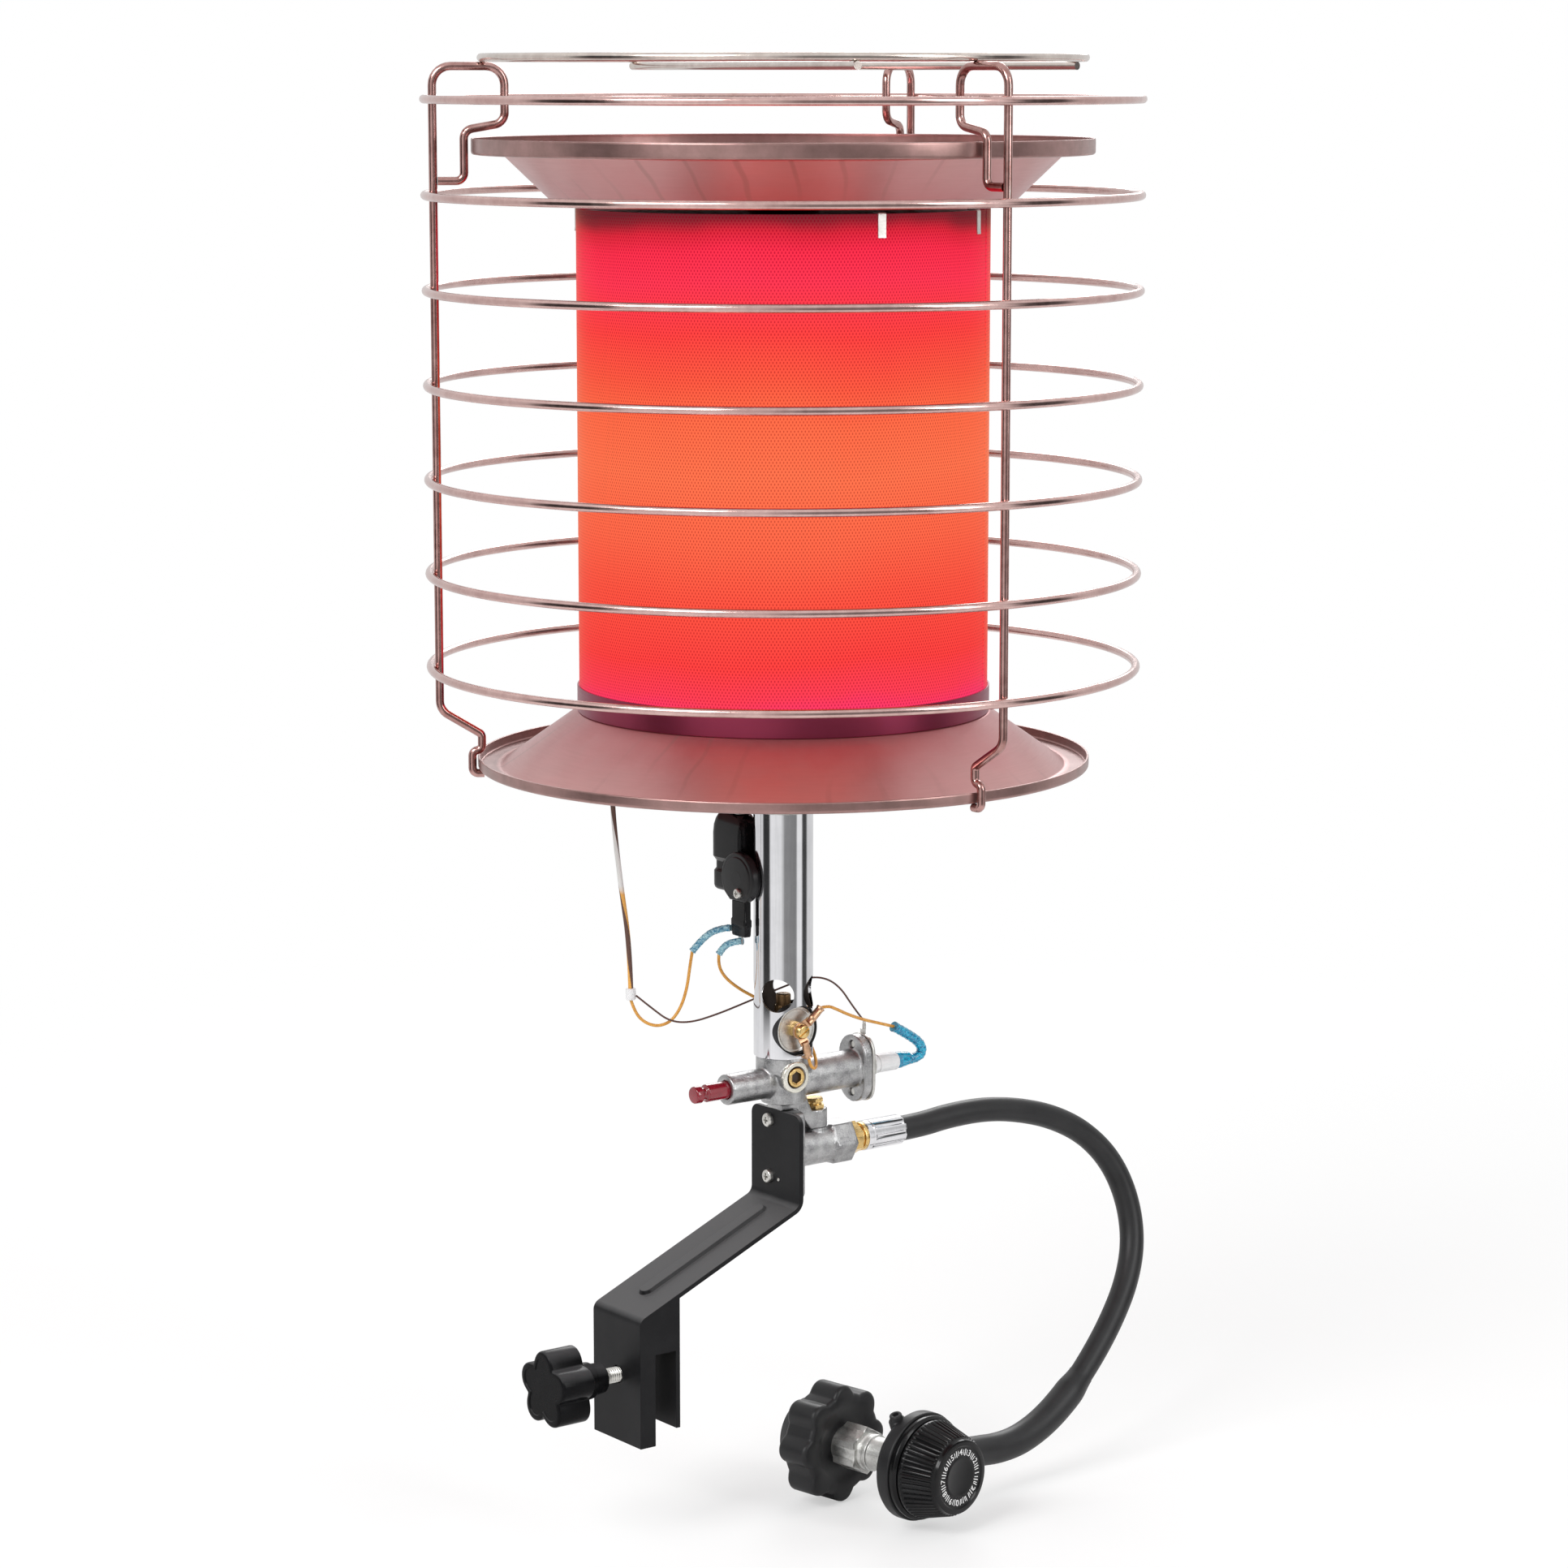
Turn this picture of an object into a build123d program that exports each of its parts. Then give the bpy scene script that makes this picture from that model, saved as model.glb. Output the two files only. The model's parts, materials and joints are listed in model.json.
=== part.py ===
"""Tank-top propane heater: all-round radiant head, gas valve, clamp bracket, hose and regulator.

Millimetres, +Z up. The origin is the middle of the clamp's slot, at the height where the tank
collar's rim stops against it. The post and everything above it stand on the axis X = 0,
Y = POST_Y. The push button and the thumbscrew point to -Y, and the gas inlet points to +Y.
"""

import os
from math import atan2, cos, pi, radians, sin, tan

from build123d import *

os.makedirs("parts", exist_ok=True)

# ---------------------------------------------------------------- driving dimensions (mm)
FIT = 0.06  # radial clearance of a running fit
POST_Y = 88.5  # post axis behind the middle of the clamp slot

# burner post
POST_R = 14.3
POST_BORE_R = 13.1
POST_LOW = 136.5
POST_HIGH = 318.0
AIR_HOLE_Z = 167.7
AIR_HOLE_R = 8.2
STUD_Z = 150.8  # height of the terminal stud on the side of the post

# guard and grate
WIRE_D = 4.2
GUARD_R = 175.7
RING_LOW = 337.0
RING_PITCH = 46.4
RING_COUNT = 7
LOW_RINGS = 3  # the lower rings are a piece of their own
UPRIGHT_R = GUARD_R - WIRE_D + 0.1
UPRIGHT_ANGLES = (0, 120, 240)
LOOP_INNER_R = 136.5
LOOP_Z = 631.2
GRATE_R = 147.5

# reflectors and emitter
PAN_R = 153.0
PAN_SHEET = 0.9
PAN_FLANGE_Z = 588.6
PAN_RIM_Z = 596.5
PAN_FLOOR_Z = 565.0
DISH_LOW = 286.0
DISH_RIM_Z = 291.5
DISH_TOP = 314.0
EMITTER_R = 102.0
EMITTER_SHEET = 0.8
EMITTER_HIGH = 562.5
BAND_HIGH = 327.0
DRUM_R = 58.0
ROD_R = 3.0
PROBE_R = 85.4
PROBE_ANGLE = 235.0

# valve: heights of its two bores, stations along Y from the post axis
VALVE_Z = 122.8
INLET_Z = 86.0
BARREL_R = 7.8
BUTTON_R = 4.5
BUTTON_TIP = -56.5
BUTTON_END = -18.0
BARREL_END = -36.8
CHAMBER_R = 7.5
CHAMBER_Y = 12.0
FLANGE_Y = 49.5
FLANGE_TALL = 35.0
FLANGE_WIDE = 22.0
PLATE_T = 1.6
SPINDLE_R = 1.5

# bracket and clamp
SHEET = 2.5
BRACKET_W = 41.0
PLATE_Y = POST_Y - 5.0  # front face of the upright plate
PLATE_HIGH = 108.0
PLATE_LOW = 61.5
CLAMP_FRONT = -15.5
CLAMP_BACK = 8.75
CLAMP_TOP = 19.0
CLAMP_LOW = -47.0
CLAMP_BACK_LOW = -40.0
SLOT_HALF = 6.25
SCREW_Z = -13.0
SCREW_R = 4.0
PAD_FACE = 0.5
KNOB_FACE = -60.3
KNOB_BACK = -41.0
HUB_END = -25.0

# regulator: its axis lies level, turned from +X towards +Y
REG_ANGLE = 10.0
REG_BASE = (6.5, POST_Y + 23.6, -70.0)
OUTLET_ROLL = 6.5  # the outlet points a little below level
HOSE_D = 13.0
SLEEVE_D = 16.0
LEAD_D = 1.6
THIN_LEAD_D = 1.0
PROBE_LEAD_D = 2.6

# ---------------------------------------------------------------- places
POST_AXIS = Axis((0, POST_Y, 0), (0, 0, 1))
VALVE_AXIS = Axis((0, POST_Y, VALVE_Z), (0, 1, 0))
INLET_AXIS = Axis((0, POST_Y, INLET_Z), (0, 1, 0))
VALVE_SIDE = Plane(origin=(0, POST_Y, VALVE_Z), x_dir=(0, 1, 0), z_dir=(1, 0, 0))
INLET_SIDE = Plane(origin=(0, POST_Y, INLET_Z), x_dir=(0, 1, 0), z_dir=(1, 0, 0))
SCREW_AXIS = Axis((0, 0, SCREW_Z), (0, 1, 0))
SCREW_SIDE = Plane(origin=(0, 0, SCREW_Z), x_dir=(0, 1, 0), z_dir=(1, 0, 0))
REG_DIR = (cos(radians(REG_ANGLE)), sin(radians(REG_ANGLE)), 0)
REG_ACROSS = (-REG_DIR[1], REG_DIR[0], 0)
REG_AXIS = Axis(REG_BASE, REG_DIR)
REG_SIDE = Plane(origin=REG_BASE, x_dir=REG_DIR, z_dir=(REG_DIR[1], -REG_DIR[0], 0))


def level(height):
    """Level plane on the post axis."""
    return Plane(origin=(0, POST_Y, height))


def radial(angle=0.0):
    """Upright plane through the post axis: local x is the radius and local y the height."""
    turn = radians(angle)
    return Plane(
        origin=(0, POST_Y, 0), x_dir=(cos(turn), sin(turn), 0), z_dir=(sin(turn), -cos(turn), 0)
    )


def facing_y(y, height, x=0.0):
    """Plane that faces +Y at a distance from the post axis, its local y upwards."""
    return Plane(origin=(x, POST_Y + y, height), x_dir=(-1, 0, 0), z_dir=(0, 1, 0))


def facing_front(y, height, x=0.0):
    """Plane that faces -Y at a distance from the post axis, its local y upwards."""
    return Plane(origin=(x, POST_Y + y, height), x_dir=(1, 0, 0), z_dir=(0, -1, 0))


def facing_x(x, y, height):
    """Plane that faces +X beside the post, its local x along +Y and its local y upwards."""
    return Plane(origin=(x, POST_Y + y, height), x_dir=(0, 1, 0), z_dir=(1, 0, 0))


def along_regulator(station):
    """Plane across the regulator's axis, facing its knob."""
    place = [base + station * way for base, way in zip(REG_BASE, REG_DIR)]
    return Plane(origin=place, x_dir=REG_ACROSS, z_dir=REG_DIR)


def turned(plane, axis, outline, mode=Mode.ADD):
    """Adds a turned solid: the outline's corners are (distance along, radius) on the plane."""
    with BuildSketch(plane) as half:
        with BuildLine():
            Polyline(*outline, close=True)
        make_face()
    revolve(half.sketch, axis=axis, mode=mode)


def rod(plane, radius, length, mode=Mode.ADD):
    """Adds a round bar that stands on the plane."""
    with BuildSketch(plane) as disc:
        Circle(radius)
    extrude(disc.sketch, amount=length, mode=mode)


def hexagon(plane, across_flats, length):
    """Adds a hexagon bar that stands on the plane."""
    with BuildSketch(plane) as six:
        RegularPolygon(across_flats / 2, 6, major_radius=False)
    extrude(six.sketch, amount=length)


def block(low, high, mode=Mode.ADD):
    """Adds a box between two corners given from the post axis (X, Y from the post, Z)."""
    middle = [(a + b) / 2 for a, b in zip(low, high)]
    size = [b - a for a, b in zip(low, high)]
    with BuildSketch(Plane(origin=(middle[0], POST_Y + middle[1], low[2]))) as foot:
        Rectangle(size[0], size[1])
    extrude(foot.sketch, amount=size[2], mode=mode)


def pan_screw(plane, head_r, head_h, shank_r, shank_l):
    """Adds a pan-head screw: its head stands on the plane and its shank goes below it."""
    with BuildSketch(plane) as head:
        Circle(head_r)
        Rectangle(head_r * 1.1, head_r * 0.26, mode=Mode.SUBTRACT)
        Rectangle(head_r * 0.26, head_r * 1.1, mode=Mode.SUBTRACT)
    extrude(head.sketch, amount=head_h)
    rod(plane, head_r * 0.9, head_h * 0.45)
    rod(plane, shank_r, -shank_l)


def from_post(points):
    """Points given from the post axis, moved to the origin of the part."""
    return [(x, y + POST_Y, z) for x, y, z in points]


def corner_radii(points):
    """For each corner of a route, the largest arc that its two runs leave room for."""
    corners = [Vector(*p) for p in points]
    radii = []
    for before, here, after in zip(corners, corners[1:], corners[2:]):
        half_turn = radians((here - before).get_angle(after - here) / 2)
        shorter = min((here - before).length, (after - here).length)
        radii.append(0.45 * shorter / tan(half_turn))
    return radii


def report_route(name, points, diameter, tube):
    """Prints a cord's length, its bend radii and the smallest of them in diameters."""
    radii = corner_radii(points)
    length = tube.volume / (pi * diameter**2 / 4)
    smallest = min(radii) / diameter
    print(name, "length", round(length, 1), "radii", [round(r, 1) for r in radii])
    print(name, "smallest radius in diameters", round(smallest, 2))


# ================================================================ guard and grate
def wire_rings(first, last):
    """Adds the guard's round wires from one number to another, counted from below."""
    with BuildSketch(radial()) as sections:
        with Locations(*[(GUARD_R, RING_LOW + RING_PITCH * i) for i in range(first, last)]):
            Circle(WIRE_D / 2)
    revolve(sections.sketch, axis=POST_AXIS)


with BuildPart() as guard_rings_low:
    wire_rings(0, LOW_RINGS)
guard_rings_low.part.label = "guard_rings_low"
export_step(guard_rings_low.part, "parts/guard_rings_low.step")

with BuildPart() as guard_rings_high:
    wire_rings(LOW_RINGS, RING_COUNT)
guard_rings_high.part.label = "guard_rings_high"
export_step(guard_rings_high.part, "parts/guard_rings_high.step")

# each upright runs from its weld on the inside, over the top loop, down and under the dish rim
HOOK_R = PAN_R + WIRE_D / 2 + 0.7
HOOK_Z = DISH_LOW - WIRE_D / 2 - 0.05
UPRIGHT_PATH = (
    (UPRIGHT_R - WIRE_D / 2 - 0.1, 576.0),
    (PAN_R + 3.5, 576.0),
    (PAN_R + 3.5, 600.5),
    (LOOP_INNER_R, 604.0),
    (LOOP_INNER_R, LOOP_Z),
    (UPRIGHT_R, LOOP_Z),
    (UPRIGHT_R, 316.0),
    (151.0, 303.5),
    (151.0, 296.0),
    (HOOK_R, 294.8),
    (HOOK_R, HOOK_Z),
    (150.0, HOOK_Z),
)
UPRIGHT_BENDS = (4, 5, 6, 9, 9, 8, 3, 2.8, 2.8, 2.8)
with BuildPart() as guard_uprights:
    for upright_angle in UPRIGHT_ANGLES:
        with BuildLine(radial(upright_angle)) as upright_line:
            FilletPolyline(*UPRIGHT_PATH, radius=UPRIGHT_BENDS)
        with BuildSketch(Plane(origin=upright_line.line @ 0, z_dir=upright_line.line % 0)):
            Circle(WIRE_D / 2)
        sweep()
guard_uprights.part.label = "guard_uprights"
export_step(guard_uprights.part, "parts/guard_uprights.step")

GRATE_Z = LOOP_Z + WIRE_D - 0.1
BAR_Z = LOOP_Z + 0.2


def grate_bar(angle, distance, half):
    """Plane at one end of a straight grate wire whose middle stands at angle and distance."""
    turn = radians(angle)
    x = distance * cos(turn) + half * sin(turn)
    y = distance * sin(turn) - half * cos(turn)
    return Plane(origin=(x, POST_Y + y, BAR_Z), z_dir=(-sin(turn), cos(turn), 0))


GRATE_BARS = ((99.2, 122.0, 85.0), (255.3, 23.7, 147.6))
with BuildPart() as top_grate:
    with BuildSketch(radial()):
        with Locations((GRATE_R, GRATE_Z)):
            Circle(WIRE_D / 2)
    revolve(axis=POST_AXIS)
    for bar_angle, bar_distance, bar_half in GRATE_BARS:
        rod(grate_bar(bar_angle, bar_distance, bar_half), WIRE_D / 2, 2 * bar_half)
top_grate.part.label = "top_grate"
export_step(top_grate.part, "parts/top_grate.step")

# ================================================================ reflectors, emitter and burner
HOLE_R = ROD_R + 0.3
with BuildPart() as top_reflector:
    turned(
        radial(),
        POST_AXIS,
        [
            (HOLE_R, PAN_FLOOR_Z),
            (113.0, PAN_FLOOR_Z),
            (137.6, PAN_FLANGE_Z),
            (PAN_R, PAN_FLANGE_Z),
            (PAN_R, PAN_RIM_Z),
            (PAN_R - PAN_SHEET, PAN_RIM_Z),
            (PAN_R - PAN_SHEET, PAN_FLANGE_Z + PAN_SHEET),
            (137.2, PAN_FLANGE_Z + PAN_SHEET),
            (112.6, PAN_FLOOR_Z + PAN_SHEET),
            (HOLE_R, PAN_FLOOR_Z + PAN_SHEET),
        ],
    )
top_reflector.part.label = "top_reflector"
export_step(top_reflector.part, "parts/top_reflector.step")

NUT_Z = PAN_FLOOR_Z + PAN_SHEET
NUT_H = 5.0
WASHER_T = 1.0
HEAD_TOP = 334.0
ROD_FOOT = HEAD_TOP - 3.0
ROD_TOP = NUT_Z + 8.0
# the long rod that draws the pan down on the emitter, with its flanged nut
with BuildPart() as tie_rod:
    rod(level(NUT_Z), 8.0, WASHER_T)
    hexagon(level(NUT_Z + WASHER_T), 10.0, NUT_H)
    rod(level(NUT_Z), ROD_R + 0.05, WASHER_T + NUT_H, mode=Mode.SUBTRACT)
    rod(level(ROD_FOOT), ROD_R, ROD_TOP - ROD_FOOT)
    chamfer(tie_rod.faces().sort_by(Axis.Z)[-1].edges(), 0.6)
tie_rod.part.label = "tie_rod"
export_step(tie_rod.part, "parts/tie_rod.step")

with BuildPart() as emitter_screen:
    turned(
        radial(),
        POST_AXIS,
        [
            (EMITTER_R - EMITTER_SHEET, DISH_TOP + 1.0),
            (EMITTER_R, DISH_TOP + 1.0),
            (EMITTER_R, EMITTER_HIGH),
            (EMITTER_R - EMITTER_SHEET, EMITTER_HIGH),
        ],
    )
emitter_screen.part.label = "emitter_screen"
export_step(emitter_screen.part, "parts/emitter_screen.step")

CAP_R = EMITTER_R - EMITTER_SHEET - 0.1
CAP_Z = 561.0
with BuildPart() as emitter_cap:
    turned(
        radial(),
        POST_AXIS,
        [
            (HOLE_R, PAN_FLOOR_Z - PAN_SHEET),
            (HOLE_R, PAN_FLOOR_Z),
            (12.0, PAN_FLOOR_Z),
            (18.0, CAP_Z),
            (CAP_R, CAP_Z),
            (CAP_R, CAP_Z - 9.0),
            (CAP_R - PAN_SHEET, CAP_Z - 9.0),
            (CAP_R - PAN_SHEET, CAP_Z - PAN_SHEET),
            (17.6, CAP_Z - PAN_SHEET),
            (11.6, PAN_FLOOR_Z - PAN_SHEET),
        ],
    )
emitter_cap.part.label = "emitter_cap"
export_step(emitter_cap.part, "parts/emitter_cap.step")

PROBE_X = PROBE_R * cos(radians(PROBE_ANGLE))
PROBE_Y = PROBE_R * sin(radians(PROBE_ANGLE))
PROBE_ROD_R = 1.6


def probe_hole():
    """Cuts the thermocouple's hole."""
    with BuildSketch(level(DISH_TOP - 10.0)) as eye:
        with Locations((PROBE_X, PROBE_Y)):
            Circle(PROBE_ROD_R + 0.1)
    extrude(eye.sketch, amount=20.0, mode=Mode.SUBTRACT)


BAND_R = EMITTER_R + 1.0
with BuildPart() as emitter_base:
    turned(
        radial(),
        POST_AXIS,
        [
            (POST_R + 0.1, DISH_TOP),
            (BAND_R, DISH_TOP),
            (BAND_R, BAND_HIGH),
            (EMITTER_R + 0.05, BAND_HIGH),
            (EMITTER_R + 0.05, DISH_TOP + 1.0),
            (POST_R + 0.1, DISH_TOP + 1.0),
        ],
    )
    probe_hole()
emitter_base.part.label = "emitter_base"
export_step(emitter_base.part, "parts/emitter_base.step")

# small bent tabs that hold the screen's top edge to the cap
CLIP_ANGLES = (30, 110, 230, 350)
with BuildPart() as screen_clips:
    for clip_angle in CLIP_ANGLES:
        with BuildSketch(radial(clip_angle)) as clip_side:
            with BuildLine():
                Polyline(
                    (EMITTER_R + 0.05, 551.0),
                    (EMITTER_R + 0.85, 551.0),
                    (EMITTER_R + 0.85, EMITTER_HIGH + 0.9),
                    (EMITTER_R - 5.0, EMITTER_HIGH + 0.9),
                    (EMITTER_R - 5.0, EMITTER_HIGH + 0.1),
                    (EMITTER_R + 0.05, EMITTER_HIGH + 0.1),
                    close=True,
                )
            make_face()
        extrude(clip_side.sketch, amount=2.2, both=True)
screen_clips.part.label = "screen_clips"
export_step(screen_clips.part, "parts/screen_clips.step")

with BuildPart() as burner_drum:
    turned(
        radial(),
        POST_AXIS,
        [
            (DRUM_R - EMITTER_SHEET, DISH_TOP + 1.0),
            (DRUM_R, DISH_TOP + 1.0),
            (DRUM_R, CAP_Z - PAN_SHEET),
            (DRUM_R - EMITTER_SHEET, CAP_Z - PAN_SHEET),
        ],
    )
burner_drum.part.label = "burner_drum"
export_step(burner_drum.part, "parts/burner_drum.step")

PORT_COUNT = 8
with BuildPart() as burner_head:
    turned(
        radial(),
        POST_AXIS,
        [
            (10.0, POST_HIGH - 12.0),
            (POST_BORE_R - 0.1, POST_HIGH - 12.0),
            (POST_BORE_R - 0.1, POST_HIGH),
            (20.0, POST_HIGH),
            (20.0, ROD_FOOT),
            (17.0, HEAD_TOP),
            (ROD_R + 0.05, HEAD_TOP),
            (ROD_R + 0.05, HEAD_TOP - 3.6),
            (10.0, HEAD_TOP - 3.6),
        ],
    )
    for port in range(PORT_COUNT):
        port_turn = radians(360 / PORT_COUNT * port)
        port_way = (cos(port_turn), sin(port_turn), 0)
        rod(Plane(origin=(0, POST_Y, 324.5), z_dir=port_way), 2.8, 25.0, mode=Mode.SUBTRACT)
burner_head.part.label = "burner_head"
export_step(burner_head.part, "parts/burner_head.step")

with BuildPart() as lower_dish:
    turned(
        radial(),
        POST_AXIS,
        [
            (POST_R + 0.1, DISH_TOP - PAN_SHEET),
            (102.5, DISH_TOP - PAN_SHEET),
            (140.6, DISH_LOW),
            (PAN_R, DISH_LOW),
            (PAN_R, DISH_RIM_Z),
            (PAN_R - PAN_SHEET, DISH_RIM_Z),
            (PAN_R - PAN_SHEET, DISH_LOW + PAN_SHEET),
            (141.0, DISH_LOW + PAN_SHEET),
            (103.0, DISH_TOP),
            (POST_R + 0.1, DISH_TOP),
        ],
    )
    probe_hole()
lower_dish.part.label = "lower_dish"
export_step(lower_dish.part, "parts/lower_dish.step")

with BuildPart() as post_collar:
    rod(level(DISH_TOP - PAN_SHEET - 9.0), 22.0, 9.0)
    rod(level(DISH_TOP - PAN_SHEET - 9.0), POST_R + 0.05, 9.0, mode=Mode.SUBTRACT)
    chamfer(post_collar.faces().sort_by(Axis.Z)[0].edges(), 1.0)
post_collar.part.label = "post_collar"
export_step(post_collar.part, "parts/post_collar.step")

PROBE_LOW = DISH_TOP - 8.0
with BuildPart() as thermocouple:
    rod(Plane(origin=(PROBE_X, POST_Y + PROBE_Y, PROBE_LOW)), PROBE_ROD_R, 44.0)
    fillet(thermocouple.faces().sort_by(Axis.Z)[-1].edges(), 1.2)
    hexagon(Plane(origin=(PROBE_X, POST_Y + PROBE_Y, DISH_TOP - PAN_SHEET - 4.2)), 7.0, 4.2)
thermocouple.part.label = "thermocouple"
export_step(thermocouple.part, "parts/thermocouple.step")

# ================================================================ post and terminal stud
CRIMP_Y = FLANGE_Y + PLATE_T  # foot of the thin lead's crimp, above the screw's head
CRIMP_Z = VALVE_Z + 12.5 + 3.75
STUD_HOLE_R = 12.5
AIR_HOLE_ANGLES = (40, 130, 220, 310)
with BuildPart() as burner_tube:
    turned(
        radial(),
        POST_AXIS,
        [
            (POST_BORE_R, POST_LOW),
            (POST_R, POST_LOW),
            (POST_R, POST_HIGH),
            (POST_BORE_R, POST_HIGH),
        ],
    )
    for hole_angle in AIR_HOLE_ANGLES:
        hole_way = (cos(radians(hole_angle)), sin(radians(hole_angle)), 0)
        hole_plane = Plane(origin=(0, POST_Y, AIR_HOLE_Z), z_dir=hole_way)
        rod(hole_plane, AIR_HOLE_R, 25.0, mode=Mode.SUBTRACT)
    rod(facing_x(0, 0, STUD_Z), STUD_HOLE_R, 25.0, mode=Mode.SUBTRACT)
burner_tube.part.label = "burner_tube"
export_step(burner_tube.part, "parts/burner_tube.step")

COLUMN_TOP = 158.0
with BuildPart() as gas_orifice:
    hexagon(level(COLUMN_TOP), 8.4, 4.0)
    rod(level(COLUMN_TOP + 4.0), 3.8, 6.0)
    chamfer(gas_orifice.faces().sort_by(Axis.Z)[-1].edges(), 1.2)
    rod(level(COLUMN_TOP), 0.6, 12.0, mode=Mode.SUBTRACT)
gas_orifice.part.label = "gas_orifice"
export_step(gas_orifice.part, "parts/gas_orifice.step")

STUD_BACK = 6.2
DISC_FACE = 7.5
DISC_R = 11.6
STUD_R = 2.0
with BuildPart() as terminal_disc:
    rod(facing_x(STUD_BACK, 0, STUD_Z), DISC_R, DISC_FACE - STUD_BACK)
    rod(facing_x(STUD_BACK, 0, STUD_Z), STUD_R + 0.05, 5.0, mode=Mode.SUBTRACT)
terminal_disc.part.label = "terminal_disc"
export_step(terminal_disc.part, "parts/terminal_disc.step")

with BuildPart() as terminal_grommet:
    rod(facing_x(STUD_BACK, 0, STUD_Z), DISC_R + 0.8, 2.2)
    rod(facing_x(STUD_BACK, 0, STUD_Z), DISC_R, 2.2, mode=Mode.SUBTRACT)
terminal_grommet.part.label = "terminal_grommet"
export_step(terminal_grommet.part, "parts/terminal_grommet.step")

LUG_T = 0.8
LUG_SEAT = 13.5  # where the first lug lies on the stud's shoulder
UPPER_LUG_REACH = 16.0
LOWER_LUG_REACH = 14.3
LUG_BARREL_R = 2.0
UPPER_LUG_ANGLE = 41.0
LOWER_LUG_ANGLE = -75.0


def lug_way(angle):
    """Direction of a lug in the upright plane beside the post."""
    return (0, cos(radians(angle)), sin(radians(angle)))


def lug(seat, angle, reach):
    """Adds a ring lug that lies on the stud at seat, with its crimp barrel at an angle."""
    ring_plane = facing_x(seat, 0, STUD_Z)
    way = lug_way(angle)
    with BuildSketch(ring_plane) as flat:
        Circle(4.4)
        with Locations((4.5 * way[1], 4.5 * way[2])):
            Rectangle(5.0, 3.6, rotation=angle)
        Circle(STUD_R + 0.05, mode=Mode.SUBTRACT)
    extrude(flat.sketch, amount=LUG_T)
    start = (seat + LUG_T + 1.1, POST_Y + 5.5 * way[1], STUD_Z + 5.5 * way[2])
    rod(Plane(origin=start, z_dir=way), LUG_BARREL_R, reach - 5.5)


with BuildPart() as terminal_lugs:
    lug(LUG_SEAT, UPPER_LUG_ANGLE, UPPER_LUG_REACH)
    lug(LUG_SEAT + LUG_T, LOWER_LUG_ANGLE, LOWER_LUG_REACH)
    # small crimp of the thin lead, held by the top screw of the magnet plate
    block((-1.9, CRIMP_Y, CRIMP_Z), (1.9, CRIMP_Y + 0.6, CRIMP_Z + 3.4))
    rod(Plane(origin=(0, POST_Y + CRIMP_Y + 1.0, CRIMP_Z + 1.0)), 1.0, 6.4)
terminal_lugs.part.label = "terminal_lugs"
export_step(terminal_lugs.part, "parts/terminal_lugs.step")

SCREW_SEAT = LUG_SEAT + 2 * LUG_T
with BuildPart() as terminal_screw:
    rod(facing_x(1.5, 0, STUD_Z), STUD_R, SCREW_SEAT - 1.5)
    hexagon(facing_x(DISC_FACE, 0, STUD_Z), 7.0, LUG_SEAT - DISC_FACE)
    rod(facing_x(SCREW_SEAT, 0, STUD_Z), 3.2, 3.2)
    fillet(terminal_screw.faces().sort_by(Axis.X)[-1].edges(), 0.8)
terminal_screw.part.label = "terminal_screw"
export_step(terminal_screw.part, "parts/terminal_screw.step")

# ================================================================ tilt switch
SWITCH_Z = 227.0
COVER_X = -12.5
COVER_R = 13.5
COVER_BACK = -16.5
BALL_R = 4.2
BALL_CELL = (-27.0, -10.2)
CELL_LOW = 218.0
CELL_HIGH = 236.5
with BuildPart() as switch_housing:
    block((-39.0, COVER_BACK, 214.0), (-15.2, -4.0, 258.0))
    fillet(switch_housing.edges().filter_by(Axis.Z).group_by(Axis.X)[0], 4.5)
    rod(facing_y(COVER_BACK, SWITCH_Z, COVER_X), COVER_R - 0.7, 1.6)
    block((-18.0, -20.0, 197.6), (-6.0, -15.0, 215.5))
    with BuildSketch(Plane(origin=(BALL_CELL[0], POST_Y + BALL_CELL[1], CELL_LOW))) as cell:
        Circle(BALL_R + 0.1)
    extrude(cell.sketch, amount=CELL_HIGH - CELL_LOW, mode=Mode.SUBTRACT)
switch_housing.part.label = "switch_housing"
export_step(switch_housing.part, "parts/switch_housing.step")

COVER_FRONT = -20.5
with BuildPart() as switch_cover:
    rod(facing_front(COVER_BACK, SWITCH_Z, COVER_X), COVER_R, COVER_BACK - COVER_FRONT)
    fillet(switch_cover.faces().sort_by(Axis.Y)[0].edges(), 1.2)
    block((-19.0, -20.6, 200.0), (-5.0, -16.4, 215.6), mode=Mode.SUBTRACT)
switch_cover.part.label = "switch_cover"
export_step(switch_cover.part, "parts/switch_cover.step")

with BuildPart() as switch_terminals:
    block((-21.0, -18.2, 199.0), (-18.0, -17.4, 202.2))
    block((-15.4, -16.9, 193.2), (-12.6, -16.1, 197.6))
switch_terminals.part.label = "switch_terminals"
export_step(switch_terminals.part, "parts/switch_terminals.step")

with BuildPart() as switch_ball:
    with BuildSketch(facing_front(BALL_CELL[1], 0)):
        with BuildLine():
            ball_top = (BALL_CELL[0], CELL_LOW + 0.05 + 2 * BALL_R)
            ball_low = (BALL_CELL[0], CELL_LOW + 0.05)
            ball_out = (BALL_CELL[0] + BALL_R, CELL_LOW + 0.05 + BALL_R)
            ThreePointArc(ball_low, ball_out, ball_top)
            Line(ball_top, ball_low)
        make_face()
    revolve(axis=Axis((BALL_CELL[0], POST_Y + BALL_CELL[1], 0), (0, 0, 1)))
switch_ball.part.label = "switch_ball"
export_step(switch_ball.part, "parts/switch_ball.step")

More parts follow.
